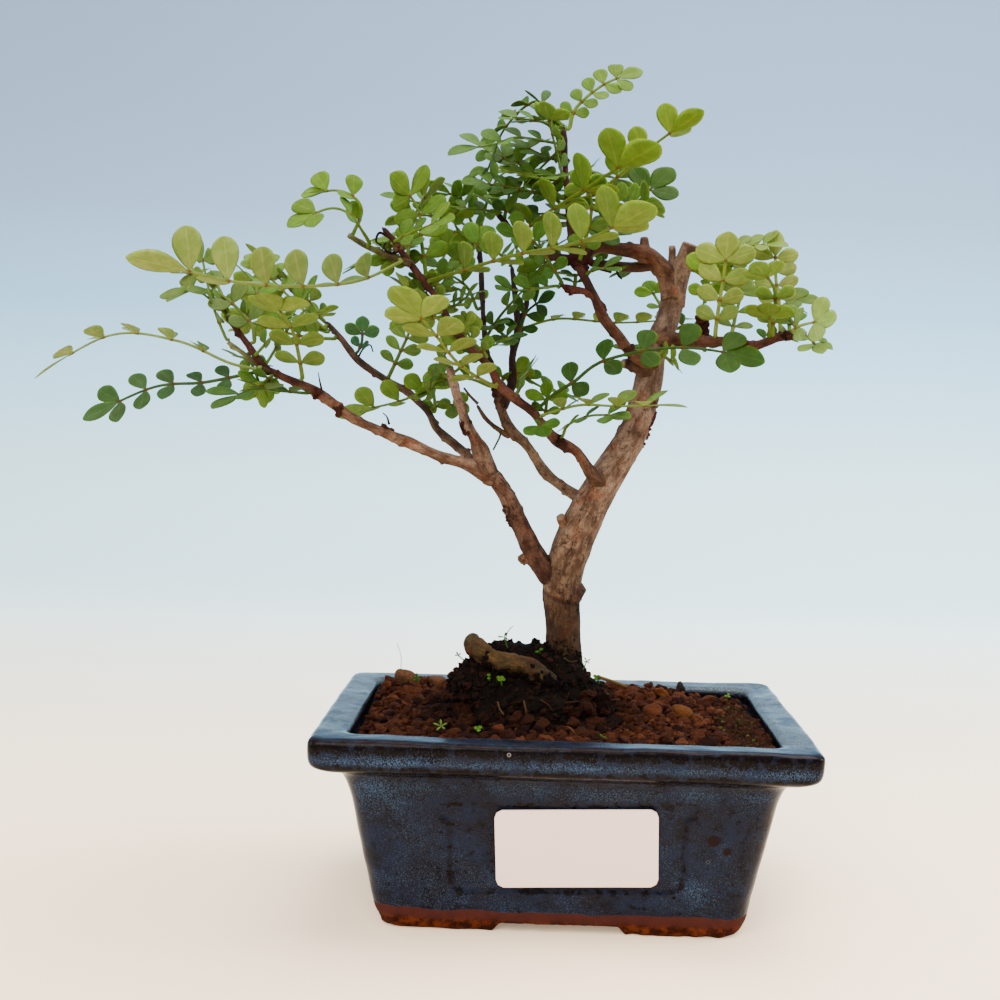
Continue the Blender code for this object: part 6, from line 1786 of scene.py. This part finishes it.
# %% Short leaves between the long ones
# The darkest tones, on sprays deep in the crown, are partly painted shade as well.
# Three points from the twig to the tip, pairs, length and width of a leaflet, lean, fold, tone.
YOUNG_SPRAYS = (
    (35, 7, 205, 48, 14, 202, 62, 24, 217, 5, 5.3, 3.9, -30, 15, "#8ca244"),
    (35, 7, 207, 47, 0, 206, 52, -8, 204, 3, 5.5, 4.1, 30, 15, "#8ca244"),
    (36, 7, 209, 46, 0, 211, 65, -12, 211, 5, 5.6, 4.1, 30, 15, "#a0b04c"),
    (-38, -15, 168, -44, -5, 168, -46, 10, 161, 4, 5.2, 3.8, 60, 15, "#6e8c36"),
    (-105, -26, 184, -112, -18, 196, -128, -3, 199, 5, 5.2, 3.8, 0, 15, "#8ca244"),
    (-102, -26, 180, -98, -17, 192, -105, -5, 200, 3, 6.3, 4.6, -30, 15, "#7e9a3c"),
    (-94, -24, 169, -86, -11, 185, -78, 8, 187, 5, 5.4, 4, -30, 5, "#7e9a3c"),
    (-93, -24, 168, -101, -8, 171, -111, 11, 174, 5, 6.1, 4.5, -30, 5, "#6e8c36"),
    (-90, -23, 167, -93, -26, 165, -100, -28, 159, 2, 6.3, 4.7, -60, 5, "#6e8c36"),
    (-80, 23, 183, -97, 18, 196, -111, 29, 209, 5, 6.3, 4.7, 30, 25, "#8ca244"),
    (-79, 22, 182, -91, 24, 184, -118, 33, 183, 4, 6.4, 4.7, 0, 25, "#7e9a3c"),
    (-32, 25, 209, -39, 18, 217, -40, 9, 225, 3, 5.6, 4.1, 30, 5, "#6e8c36"),
    (-32, 26, 214, -36, 17, 223, -40, 8, 231, 3, 6.2, 4.6, 60, 5, "#6e8c36"),
    (-32, 26, 215, -27, 31, 235, -15, 47, 246, 5, 6.3, 4.6, -30, 25, "#6e8c36"),
    (-30, 22, 188, -34, 19, 185, -38, 20, 176, 2, 5.1, 3.7, -30, 25, "#8ca244"),
    (-30, 22, 189, -36, 25, 199, -45, 11, 204, 3, 6.3, 4.7, -60, 25, "#6e8c36"),
    (-25, 18, 165, -21, 20, 170, -12, 22, 170, 2, 5.4, 4, -60, 5, "#6e8c36"),
    (-52, -30, 203, -58, -1, 212, -63, 8, 212, 5, 6.3, 4.7, 60, 5, "#7e9a3c"),
    (-50, -30, 201, -59, -19, 203, -72, -8, 201, 4, 6.3, 4.7, 30, 5, "#6e8c36"),
    (-49, -29, 200, -44, -14, 194, -41, 0, 194, 4, 5.7, 4.2, 0, 15, "#7e9a3c"),
    (-42, -25, 191, -41, -12, 205, -40, -2, 206, 3, 6.4, 4.7, 60, 5, "#6e8c36"),
    (-41, -25, 189, -39, -16, 190, -38, -10, 187, 2, 4.7, 3.5, -60, 5, "#7e9a3c"),
    (-40, -23, 187, -46, -20, 193, -51, -17, 196, 2, 6.2, 4.6, -60, 15, "#8ca244"),
    (-40, -23, 187, -34, -6, 193, -35, 6, 195, 4, 5.6, 4.1, -60, 25, "#6e8c36"),
    (-39, -23, 186, -48, -22, 184, -57, -21, 182, 3, 5.2, 3.9, 0, 15, "#7e9a3c"),
    (-38, -22, 183, -48, -25, 191, -57, -23, 198, 3, 6.4, 4.7, 0, 25, "#8ca244"),
    (-26, -18, 171, -32, -18, 180, -35, -15, 188, 3, 4.6, 3.4, -30, 5, "#8ca244"),
    (-9, -14, 154, -8, -16, 162, -9, -19, 167, 2, 5.7, 4.2, 30, 5, "#6e8c36"),
    (-104, -25, 176, -110, -26, 189, -115, -25, 210, 4, 6.3, 4.7, 0, 5, "#8ca244"),
    (-98, -25, 171, -82, -30, 189, -78, -33, 197, 4, 5.8, 4.3, 30, 25, "#7e9a3c"),
    (32, 8, 200, 24, 11, 206, 11, 13, 202, 3, 5.5, 4.1, 0, 5, "#58762c"),
    (2, -11, 201, 9, -15, 202, 11, -20, 199, 2, 6.4, 4.7, 30, 25, "#58762c"),
    (26, 5, 172, 27, -1, 177, 33, -12, 173, 3, 4.6, 3.4, -60, 25, "#7e9a3c"),
    (-3, -10, 196, -14, -17, 210, -25, -23, 212, 4, 5.8, 4.3, 60, 25, "#58762c"),
    (-3, -10, 196, -17, -12, 195, -24, -19, 195, 3, 6.1, 4.5, 30, 25, "#6e8c36"),
    (0, -11, 196, 0, -3, 201, -1, 5, 201, 3, 4.8, 3.6, 30, 15, "#58762c"),
    (-5, 0, 242, -14, 5, 233, -23, 6, 222, 3, 5.8, 4.3, 30, 25, "#6e8c36"),
    (-5, 0, 246, -8, 7, 251, -6, 16, 253, 3, 5.1, 3.8, -30, 15, "#7e9a3c"),
    (-4, 0, 233, -8, 2, 230, -15, 2, 225, 2, 4.8, 3.5, 0, 25, "#6e8c36"),
    (-4, 0, 234, -8, 10, 249, -14, 24, 258, 4, 6.3, 4.7, -30, 5, "#6e8c36"),
    (-3, -3, 221, -13, 5, 232, -25, 16, 243, 4, 6.3, 4.7, 60, 25, "#6e8c36"),
    (-3, -2, 226, 15, -17, 221, 25, -31, 219, 5, 6.4, 4.7, -60, 25, "#6e8c36"),
    (-3, -1, 228, -2, 7, 229, 5, 23, 240, 3, 6.1, 4.5, -30, 15, "#6e8c36"),
    (-24, 9, 220, -48, 4, 223, -63, 2, 226, 5, 5.4, 4, 30, 15, "#6e8c36"),
    (-21, 8, 216, -20, 8, 213, -17, 5, 204, 2, 6.3, 4.7, -60, 15, "#6e8c36"),
    (-12, 1, 208, -11, 9, 211, -10, 23, 215, 3, 5.4, 4, -60, 15, "#7e9a3c"),
    (29, 7, 186, 39, 14, 187, 44, 21, 179, 2, 5.9, 4.7, 30, 25, "#587632"),
    (-38, -15, 168, -29, -7, 177, -21, 3, 179, 2, 5.8, 4.7, 0, 15, "#6c8a36"),
    (-105, -26, 184, -114, -20, 191, -120, -16, 192, 2, 5.9, 4.7, 0, 5, "#849c40"),
    (-99, -25, 176, -97, -22, 167, -94, -18, 158, 2, 5.9, 4.7, -30, 5, "#6c8a36"),
    (-88, -23, 166, -96, -25, 163, -100, -29, 163, 2, 5.8, 4.7, 0, 5, "#6c8a36"),
    (-80, 23, 183, -99, 19, 191, -112, 14, 201, 4, 5.9, 4.7, -60, 15, "#849c40"),
    (-80, 23, 183, -92, 27, 193, -109, 17, 211, 5, 5.9, 4.7, 0, 5, "#849c40"),
    (-77, 22, 180, -92, 18, 181, -116, 12, 187, 5, 5.9, 4.7, -60, 25, "#7c963e"),
    (-45, 13, 154, -46, 16, 166, -49, 19, 168, 2, 5.9, 4.7, -60, 15, "#7c963e"),
    (-31, 24, 204, -41, 22, 209, -43, 23, 218, 2, 5.2, 4.1, 60, 5, "#7c963e"),
    (-20, 22, 172, -10, 23, 166, 3, 32, 162, 3, 5.9, 4.7, 30, 25, "#6c8a36"),
    (-19, 26, 180, -26, 14, 185, -27, 2, 184, 3, 5.9, 4.7, -60, 15, "#587632"),
    (-57, -32, 209, -56, -29, 205, -57, -26, 197, 2, 5.4, 4.3, 0, 25, "#6c8a36"),
    (-50, -30, 201, -49, -16, 219, -41, -10, 229, 4, 5.9, 4.7, -30, 5, "#7c963e"),
    (-44, -27, 194, -35, -30, 201, -25, -30, 212, 3, 5.9, 4.7, 60, 25, "#6c8a36"),
    (-26, -18, 171, -34, -18, 181, -36, -16, 187, 2, 5.9, 4.7, 60, 5, "#849c40"),
    (13, 2, 210, -5, -1, 220, -22, -4, 218, 4, 5.9, 4.7, 30, 5, "#587632"),
    (19, 3, 209, 3, 5, 209, -19, 9, 203, 5, 5.9, 4.7, -30, 5, "#587632"),
    (1, -9, 203, 4, -18, 221, -2, -26, 230, 4, 5.9, 4.7, -30, 5, "#6c8a36"),
    (21, -1, 175, 20, 6, 177, 20, 15, 181, 2, 5.9, 4.7, 60, 5, "#6c8a36"),
    (-5, 0, 246, -14, 5, 250, -18, 12, 251, 2, 5.1, 4.1, 30, 15, "#7c963e"),
    (-4, -1, 229, -9, -10, 245, -11, -19, 251, 4, 5.9, 4.7, 30, 25, "#7c963e"),
    (-3, -2, 224, -18, 8, 235, -32, 13, 245, 4, 5.9, 4.7, 30, 5, "#6c8a36"),
    (-22, 8, 218, -22, 10, 226, -22, 14, 234, 2, 5.9, 4.7, -60, 15, "#587632"),
    (56, -12, 180, 63, -6, 183, 71, 0, 182, 3, 5, 4, 30, 25, "#6c8a36"),
    (61, -13, 181, 59, -25, 196, 51, -34, 203, 3, 5.8, 4.7, -30, 15, "#849c40"),
    (69, -16, 183, 66, 0, 193, 73, 13, 194, 3, 5.9, 4.7, 60, 15, "#849c40"),
)


spray_rng = np.random.default_rng(55)
sprays = [leaf_shape(((row[:3], row[3:6], row[6:9]), *row[9:-1]), row[-1], spray_rng) for row in YOUNG_SPRAYS]
spray_shape, spray_values = join_shapes(sprays)
add_piece("young_sprays", spray_shape, leaf_skin, (), spray_values)
print("young sprays:", len(sprays))

# %% [markdown]
# ## Small litter and seedlings
#
# Dried curls and thorns hang on the twigs, straws and rootlets lie in the pot, and weed
# seedlings have come up between the granules. They are too fine for solids. A tube carried
# along a short path makes a straw, and a star of leaflets on a tube makes a seedling.

# %% Tables of small things
# Each stem: colour, radius at its start and at its end, then the points it runs through.
DRY_STEMS = (
    ("#3c1a18", 0.55, 0.25, (-53.9, -31, 206.6), (-56.7, -31, 208.6), (-59, -31, 209.4),
     (-59.9, -31, 207), (-58.4, -31, 205.9)),
    ("#34181a", 0.5, 0.2, (-53, -31, 204.2), (-55.3, -32, 203.5), (-57.4, -32, 204.9), (-56.8, -32, 206.7)),
    ("#2f1a16", 0.45, 0.25, (-3.5, -3, 219.3), (-2.6, -4, 221.9), (-1.1, -4, 221.7), (-1.3, -4, 219.2)),
    ("#4a2020", 1.5, 0.9, (-3.1, -6, 204.6), (1.1, -9, 206.3), (6.5, -10, 203.2), (11.2, -10, 201.8)),
    ("#4a2424", 1.1, 0.6, (-0.6, -8, 202.6), (2.4, -10, 204.3), (4.8, -10, 207.8)),
    ("#5e2a24", 0.4, 0.12, (-76.6, -22, 162.3), (-77.3, -22, 165.1), (-77.9, -22, 168.1)),
    ("#2c2320", 0.35, 0.25, (-71.3, 20, 173.9), (-69.5, 19, 176.9), (-67.1, 18, 178.3), (-66, 18, 176)),
    ("#5b2f27", 0.4, 0.15, (-71.2, -21, 157.3), (-72.3, -22, 159.1), (-74.1, -22, 160)),
    ("#5b2f27", 0.4, 0.15, (-56.3, -18, 152.7), (-56.9, -19, 154.9), (-58.2, -19, 156.1)),
    ("#5b2f27", 0.45, 0.2, (-32.8, -13, 150.2), (-34.3, -14, 152), (-35, -14, 154.2)),
    ("#6a7a3c", 0.42, 0.3, (-23.1, 15, 151.9), (-23, 14, 149.2), (-25.1, 13, 144.6)),
    ("#3a2420", 0.5, 0.3, (12.4, 6, 206.2), (13.9, 6, 202.1), (15.2, 6, 200.8)),
    ("#70503a", 0.5, 0.35, (-29.1, -17, 159.6), (-31.6, -17, 162), (-33.5, -18, 164.4)),
)
STRAWS = (
    ("#5a3a22", 0.35, 0.25, (-36.6, -7.3, 66.8), (-32.7, -14, 67.3), (-29, -17.6, 66.9)),
    ("#8a6a44", 0.3, 0.2, (-20.5, -22.7, 68.2), (-19.8, -24, 66.3), (-18.5, -25.3, 64.8)),
    ("#7a5634", 0.3, 0.25, (-12.5, -22.9, 68.8), (-11.8, -26, 66.7), (-11.4, -24.8, 64)),
    ("#4a3020", 0.35, 0.25, (-0.1, -21.9, 68.4), (3.3, -19.1, 68.2), (6.6, -14.4, 67.7)),
    ("#a5814f", 0.6, 0.5, (11.3, -3, 73.1), (16.3, 0, 71.1), (20.6, 2, 69.2)),
    ("#7c5230", 0.35, 0.25, (14.9, -11.7, 65.4), (17.4, -7.6, 63), (19.5, -11.5, 62)),
    ("#2a1c12", 0.3, 0.2, (-28.2, -12.3, 75.1), (-26.7, -16.1, 73), (-25.9, -18.5, 70.3)),
    ("#6a5a3a", 0.25, 0.15, (-0.3, -9.5, 80.2), (1.7, -8.7, 78.8), (4, -5.7, 78.7)),
    ("#8a6238", 0.4, 0.3, (0.9, -26.6, 62), (2.4, -28.5, 61.6), (3.8, -32.4, 61)),
    ("#7a4c2c", 0.4, 0.3, (-50.3, 11.5, 60.4), (-48.4, 5.1, 60.5)),
    ("#8c7d70", 0.13, 0.1, (-57, 44, 64.2), (-57.1, 44, 69.5), (-58.6, 44, 74.2)),
    ("#3a2416", 0.3, 0.2, (-22.5, -17, 79), (-21.2, -16.1, 75), (-21.3, -19.8, 71.4)),
    ("#5c3c24", 0.28, 0.2, (-7.5, -22.2, 69.2), (-5, -23.4, 67.9), (-3.4, -23, 65.7)),
    ("#6b4a2c", 0.28, 0.2, (8.2, -12.7, 69.6), (10.5, -10.5, 66.6), (12.4, -11.7, 65.7)),
)
SPROUTS = (
    ("#4c5a2a", 0.2, 0.12, (-18.4, -7.9, 82.6), (-18.8, -7.9, 86), (-17.9, -7.9, 88.3),
     (-16.7, -7.9, 89.6)),
)
# Each seedling: foot, top, leaflets, their length and width, tone.
SEEDLINGS = (
    ((-19.4, -20, 72.7), (-19.8, -20.8, 75), 4, 1.5, 1.4, "#5f8a2a"),
    ((-23.3, -17.1, 73.3), (-23.6, -17.9, 74.9), 2, 1.4, 1.3, "#5c8828"),
    ((-37.5, -27.6, 60.1), (-37.5, -28.4, 61.4), 5, 2.3, 0.7, "#84a048"),
    ((-26, -31.3, 60.4), (-26, -32.1, 61.7), 3, 1.6, 1.4, "#6f9a30"),
    ((11.4, -1.4, 70.6), (10.7, -2.2, 72.7), 4, 1.6, 1.3, "#628c2c"),
    ((14.1, -8.5, 65.7), (13.4, -9.3, 68), 3, 1.6, 0.7, "#6f8f56"),
    ((-7.9, -9.1, 81.2), (-8.2, -9.9, 82.2), 2, 1.5, 1.1, "#4f7a24"),
    ((57.7, 33, 60), (57.5, 32.2, 61.2), 3, 1.2, 1, "#7c9a48"),
    ((-49.8, 27.8, 63), (-49.8, 27, 65.1), 5, 1.9, 0.8, "#4c6a20"),
    ((5.9, -8.5, 76.4), (7, -9.3, 79.3), 4, 1.6, 0.5, "#6a7f5a"),
    ((-18.4, -7.9, 82.6), (-19.4, -8.7, 86.1), 3, 2.2, 0.7, "#55702c"),
    ((-31.4, -6.2, 77.3), (-34, -7, 79.6), 4, 1.3, 0.6, "#2c3a1c"),
    ((11.7, -32.2, 60), (11.6, -33, 60.8), 2, 1.2, 0.8, "#4f7a24"),
)
# Crumbs of old bark: middle, spread, count, least and greatest radius, tone.
BARK_CRUMBS = (
    ((40.4, -5, 186.1), (2, 2, 3), 30, 0.5, 1.1, "#5a2c1e"),
    ((3.5, -9.3, 205), (5, 1.8, 2.2), 34, 0.4, 1, "#4a201c"),
    ((-0.3, -8.2, 204.1), (1, 1, 1), 6, 0.9, 1.5, "#451f1c"),
    ((-2.3, -11.8, 195.4), (0.6, 0.6, 0.6), 4, 0.6, 1, "#5a2a20"),
    ((-53.9, -31.2, 205.3), (0.8, 0.8, 0.8), 5, 0.6, 1.1, "#8a6a50"),
    ((26, 3.1, 155.2), (2.2, 1.2, 6), 46, 0.35, 0.8, "#774030"),
    ((-33.8, -13, 151.4), (1.6, 1.6, 2.6), 26, 0.4, 0.9, "#5e3526"),
    ((-78.2, -23.3, 162), (1.4, 1, 1.2), 12, 0.4, 0.9, "#5b2f27"),
    ((-71.5, -22.5, 156.4), (1.2, 1, 1), 10, 0.4, 0.9, "#6b3f30"),
    ((-56.3, -18, 152.7), (1.2, 1, 1), 10, 0.4, 0.9, "#6b3f30"),
    ((-3.5, -13.4, 149.7), (1.5, 1.2, 1.2), 14, 0.4, 0.9, "#4a2c22"),
    ((-25.4, 17, 164.4), (1.2, 1.2, 1.4), 12, 0.4, 0.8, "#4a2a22"),
    ((17.4, -6.9, 177.3), (1.6, 1.4, 1.4), 14, 0.4, 0.9, "#5c3a2a"),
    ((64, -15.5, 182.7), (1.2, 1, 0.9), 10, 0.35, 0.8, "#4a2a1e"),
    ((52.3, -12.6, 179.8), (1.4, 1, 0.9), 12, 0.35, 0.8, "#553222"),
    ((0.5, -7, 76.5), (7, 2.4, 3), 130, 0.5, 1.4, "#1f140d"),
    ((-2.9, -4.7, 82), (5.5, 1.2, 3), 40, 0.3, 0.6, "#33200f"),
    ((-14.1, -5.1, 110.5), (1.2, 1, 1), 8, 0.5, 0.9, "#a0745a"),
    ((-20.1, -8, 123.3), (1.4, 1.4, 2.6), 16, 0.3, 0.7, "#5e3a2c"),
    # Peat-dark crumbs along the underside of the surface root: peat clinging there, and painted shade under
    # the root.
    ((-3.6, -19, 72.9), (2.2, 1.2, 1.6), 46, 0.5, 1.3, "#1b110b"),
    ((-13.9, -18, 75.6), (7, 1, 1.4), 70, 0.4, 1, "#1b110b"),
    ((-24.4, -14, 78.3), (2, 1.2, 2), 30, 0.4, 0.9, "#24170f"),
)
STEM_SIDES = 6
# Radius of a seedling's stem at its foot and at its top.
SEEDLING_STEM = (0.24, 0.16)


# %% Stems and stars of leaflets
def thin_stem(row):
    """A tube whose radius slides from first to last, with the values that a leaf skin or a
    plant fibre reads."""
    tone, first, last, *points = row
    path = catmull_rom(points, PATH_STEP)
    share = path_length(path) / path_length(path)[-1]
    radius = first + (last - first) * share
    shape = skin(carry_ring(path, np.repeat(radius[:, None], STEM_SIDES, axis=1), STEM_SIDES)[0])
    values = plain_values(len(shape[0]), rgba(tone))
    return shape, {"tint": values["tone"], **values}


def seedling(row, rng):
    """A stem, and leaflets that point from its top in equal turns about a line that leans to
    the light: direction = right · cos a + over · sin a + 0.25 · facing."""
    foot, top, count, length, width, tone = row
    facing, right = np.array((0.0, -0.6, 0.8)), np.array((1.0, 0.0, 0.0))
    turn = (2 * np.pi * np.arange(count) / count + rng.uniform(0.0, 2 * np.pi))[:, None]
    way = unit(right * np.cos(turn) + np.cross(facing, right) * np.sin(turn) + 0.25 * facing)
    blades, values = leaflet_grids(np.tile(top, (count, 1)), way, unit(np.cross(facing, way)),
                                   length * rng.uniform(0.8, 1.1, count), np.full(count, width), rng)
    total = len(values["upper"])
    tones = np.tile(rgba(tone), (total, 1)) * (*LEAF_TINT, 1.0)
    values.update(tint=tones, tone=tones, red=np.zeros(total), blade=np.ones(total))
    return join_shapes([thin_stem((tone, *SEEDLING_STEM, foot, top)), (blades_shape(blades), values)])


fibre = make_baked_clay("dry_plant_fibre", 0.6, 0.5)
for name, rows, slot in (("dried_curls_and_thorns", DRY_STEMS, "bark"),
                         ("straws_and_rootlets", STRAWS, "dark_peat")):
    shape, values = join_shapes([thin_stem(row) for row in rows])
    add_piece(name, shape, fibre, (), {"tint": values["tint"]})
seed_rng = np.random.default_rng(66)
green = [thin_stem(row) for row in SPROUTS] + [seedling(row, seed_rng) for row in SEEDLINGS]
seed_shape, seed_values = join_shapes(green)
add_piece("seedlings", seed_shape, leaf_skin, (), seed_values)
print("stems:", len(DRY_STEMS) + len(STRAWS), "seedlings:", len(SEEDLINGS))

# %% [markdown]
# Old bark crumbles where leaves have dropped and where a cut healed. Each crumb is drawn
# round its middle and then moved to the nearest point of the bark, so that none floats.

# %% Crumbs of bark
bark_tree = BVHTree.FromPolygons(wood_shape[0].tolist(), wood_shape[1].tolist() + wood_shape[2].tolist())
bark_rng = np.random.default_rng(88)
flake_places = np.vstack([middle + bark_rng.normal(0.0, 0.7, (count, 3)) * spread
                          for middle, spread, count, _, _, _ in BARK_CRUMBS])
flake_places = np.array([bark_tree.find_nearest(Vector(place))[0] for place in flake_places])
flake_sizes = np.concatenate([bark_rng.uniform(low, high, count)
                              for _, _, count, low, high, _ in BARK_CRUMBS])
flake_tint = np.vstack([np.tile(rgba(tone), (count, 1)) for _, _, count, _, _, tone in BARK_CRUMBS])
flake_tint[:, :3] *= bark_rng.uniform(0.7, 1.25, (len(flake_tint), 1))
flake_shape = lumps_at(flake_places, flake_sizes, 0.9, 0.55, bark_rng)
add_lumps("bark_crumbs", flake_shape, flake_tint, fibre)
print("bark crumbs:", len(flake_places))

# %% [markdown]
# ## Camera, light and floor
#
# The photograph was taken from a little under half a metre, slightly above the pot and
# looking a touch down, in a white studio with a pale blue wall that fades into a cream table.
# The camera's place was solved from the corners of the pot.

# %% Camera
CAMERA_MM = np.array([-9.2, -454.6, 159.3])
PITCH, YAW, ROLL = np.radians([3.81, -1.62, 1.45])
FOCAL_PX = 1419.0
PHOTO_PX = 1000.0
SENSOR_MM = 36.0


def camera_axes():
    """Right, up and back of a camera that is turned by yaw, tipped down by pitch and rolled."""
    ahead = np.array([math.sin(YAW) * math.cos(PITCH), math.cos(YAW) * math.cos(PITCH), -math.sin(PITCH)])
    level = np.array([math.cos(YAW), -math.sin(YAW), 0.0])
    over = np.cross(level, ahead)
    right = math.cos(ROLL) * level + math.sin(ROLL) * over
    up = -math.sin(ROLL) * level + math.cos(ROLL) * over
    return right, up, -ahead


lens = bpy.data.cameras.new("studio_camera")
lens.sensor_width = SENSOR_MM
lens.lens = FOCAL_PX * SENSOR_MM / PHOTO_PX
lens.clip_start = 0.01
camera = bpy.data.objects.new("studio_camera", lens)
bpy.context.scene.collection.objects.link(camera)
pose = np.eye(4)
pose[:3, :3] = np.stack(camera_axes(), axis=1)
pose[:3, 3] = (CAMERA_MM + POT_CENTRE) * MM
camera.matrix_world = Matrix(pose.tolist())
bpy.context.scene.camera = camera
print("lens in mm:", round(lens.lens, 2))

# %% [markdown]
# The floor and the wall are one sheet with a wide bend, so that no line shows behind the
# tree. Its colour fades from a warm cream on the table to a cool pale blue high on the wall.

# %% Floor and backdrop
SHEET_HALF_WIDTH = 3.0
FLOOR_FRONT = -2.2
BEND_START = 0.75
BEND_RADIUS = 0.9
WALL_HEIGHT = 2.6
SHEET_COLOURS = ((0.0, "#fbe0be"), (0.08, "#ece2cc"), (0.27, "#dcf6f5"), (0.36, "#cdf3fb"), (0.41, "#b4e4fc"),
                 (0.52, "#99cae9"), (0.68, "#91afcb"), (0.82, "#8ba7c5"), (1.0, "#8aa0bd"))
# Painted light: the sheet glows, weakly on the left and most on the right, as if lit from that side.
PAINTED_LIGHT_RANGE = (0.05, 0.62)


def studio_sheet():
    """Along the floor, round a quarter circle and up the wall; fade runs from 0 on the table
    near the pot to 1 high on the wall. The painted light grows to the right, where the window light is."""
    floor_y = np.linspace(FLOOR_FRONT, BEND_START, 40)
    turn = np.radians(np.linspace(0.0, 90.0, 40))[1:]
    wall_z = np.linspace(BEND_RADIUS, WALL_HEIGHT, 20)[1:]
    y = np.concatenate([floor_y, BEND_START + BEND_RADIUS * np.sin(turn),
                        np.full(len(wall_z), BEND_START + BEND_RADIUS)])
    z = np.concatenate([np.zeros(len(floor_y)), BEND_RADIUS * (1 - np.cos(turn)), wall_z])
    x = np.linspace(-SHEET_HALF_WIDTH, SHEET_HALF_WIDTH, 96)
    grid = np.stack(np.broadcast_arrays(x[None], y[:, None], z[:, None]), axis=-1)
    fade = 0.35 * smooth(0.0, 0.9, y) + 0.65 * smooth(0.0, 0.85, z)
    index = np.arange(len(y) * len(x)).reshape(len(y), len(x))
    quads = np.stack([index[:-1, :-1], index[:-1, 1:], index[1:, 1:], index[1:, :-1]], -1).reshape(-1, 4)
    slant = x[None] / np.maximum(y[:, None] + 0.5, 0.4)
    painted_light = PAINTED_LIGHT_RANGE[0] + (PAINTED_LIGHT_RANGE[1] - PAINTED_LIGHT_RANGE[0]) * smooth(-0.3, 0.42, slant)
    return grid.reshape(-1, 3), quads, {"fade": np.repeat(fade, len(x)), "painted_light": painted_light.ravel()}


def make_sheet_paper():
    """Seamless studio paper: matt, with a colour that fades upwards and a painted glow that
    grows to the right, as light falling from that side."""
    material, add = new_finish("studio_paper_with_painted_light", 0.9, 1.3)
    fade = add("Attribute", out="Fac", attribute_name="fade")
    colour = rgba(SHEET_COLOURS[0][1], 1.0)
    for (low, _), (high, tone) in zip(SHEET_COLOURS[:-1], SHEET_COLOURS[1:]):
        share = add("MapRange", {0: fade, 1: low, 2: high})
        colour = add("Mix", {0: share, 6: colour, 7: rgba(tone, 1.0)}, **BLEND)
    feed(material, Base_Color=colour, Emission_Color=colour,
         Emission_Strength=add("Attribute", out="Fac", attribute_name="painted_light"))
    return material


sheet_points, sheet_quads, sheet_values = studio_sheet()
sheet_mesh = put_mesh("studio_sheet", sheet_points / MM - POT_CENTRE, sheet_quads)
write_values(sheet_mesh, sheet_values)
sheet_mesh.materials.append(make_sheet_paper())
studio = bpy.data.objects.new("studio_sheet", sheet_mesh)
bpy.context.scene.collection.objects.link(studio)

# %% [markdown]
# Large soft boxes give even light with faint shadows: one over the camera, one overhead and
# two weak ones at the sides, which draw the pale lines down the pot's corners.

# %% Lights
LIGHTS = (
    ("front_softbox", (-0.35, -1.05, 0.95), 0.9, 30.0, "#fff7ee"),
    ("top_softbox", (0.15, 0.10, 1.15), 0.9, 30.0, "#fbfcff"),
    ("left_softbox", (-1.25, -0.15, 0.55), 0.7, 9.0, "#f4f8ff"),
    ("right_softbox", (1.20, 0.10, 0.70), 0.7, 18.0, "#fffaf4"),
)
AIM = Vector((0.0, 0.0, 0.12))
WORLD_COLOUR = "#eef2f5"
WORLD_STRENGTH = 1.3

for name, place, size, power, colour in LIGHTS:
    lamp = bpy.data.lights.new(name, "AREA")
    lamp.shape = "SQUARE"
    lamp.size = size
    lamp.energy = power
    lamp.color = linear(colour)
    box = bpy.data.objects.new(name, lamp)
    bpy.context.scene.collection.objects.link(box)
    box.location = place
    box.rotation_euler = (AIM - Vector(place)).to_track_quat("-Z", "Y").to_euler()

world = bpy.data.worlds.new("studio_air")
bpy.context.scene.world = world
world.use_nodes = True
world.node_tree.nodes["Background"].inputs["Color"].default_value = rgba(WORLD_COLOUR, 1.0)
world.node_tree.nodes["Background"].inputs["Strength"].default_value = WORLD_STRENGTH
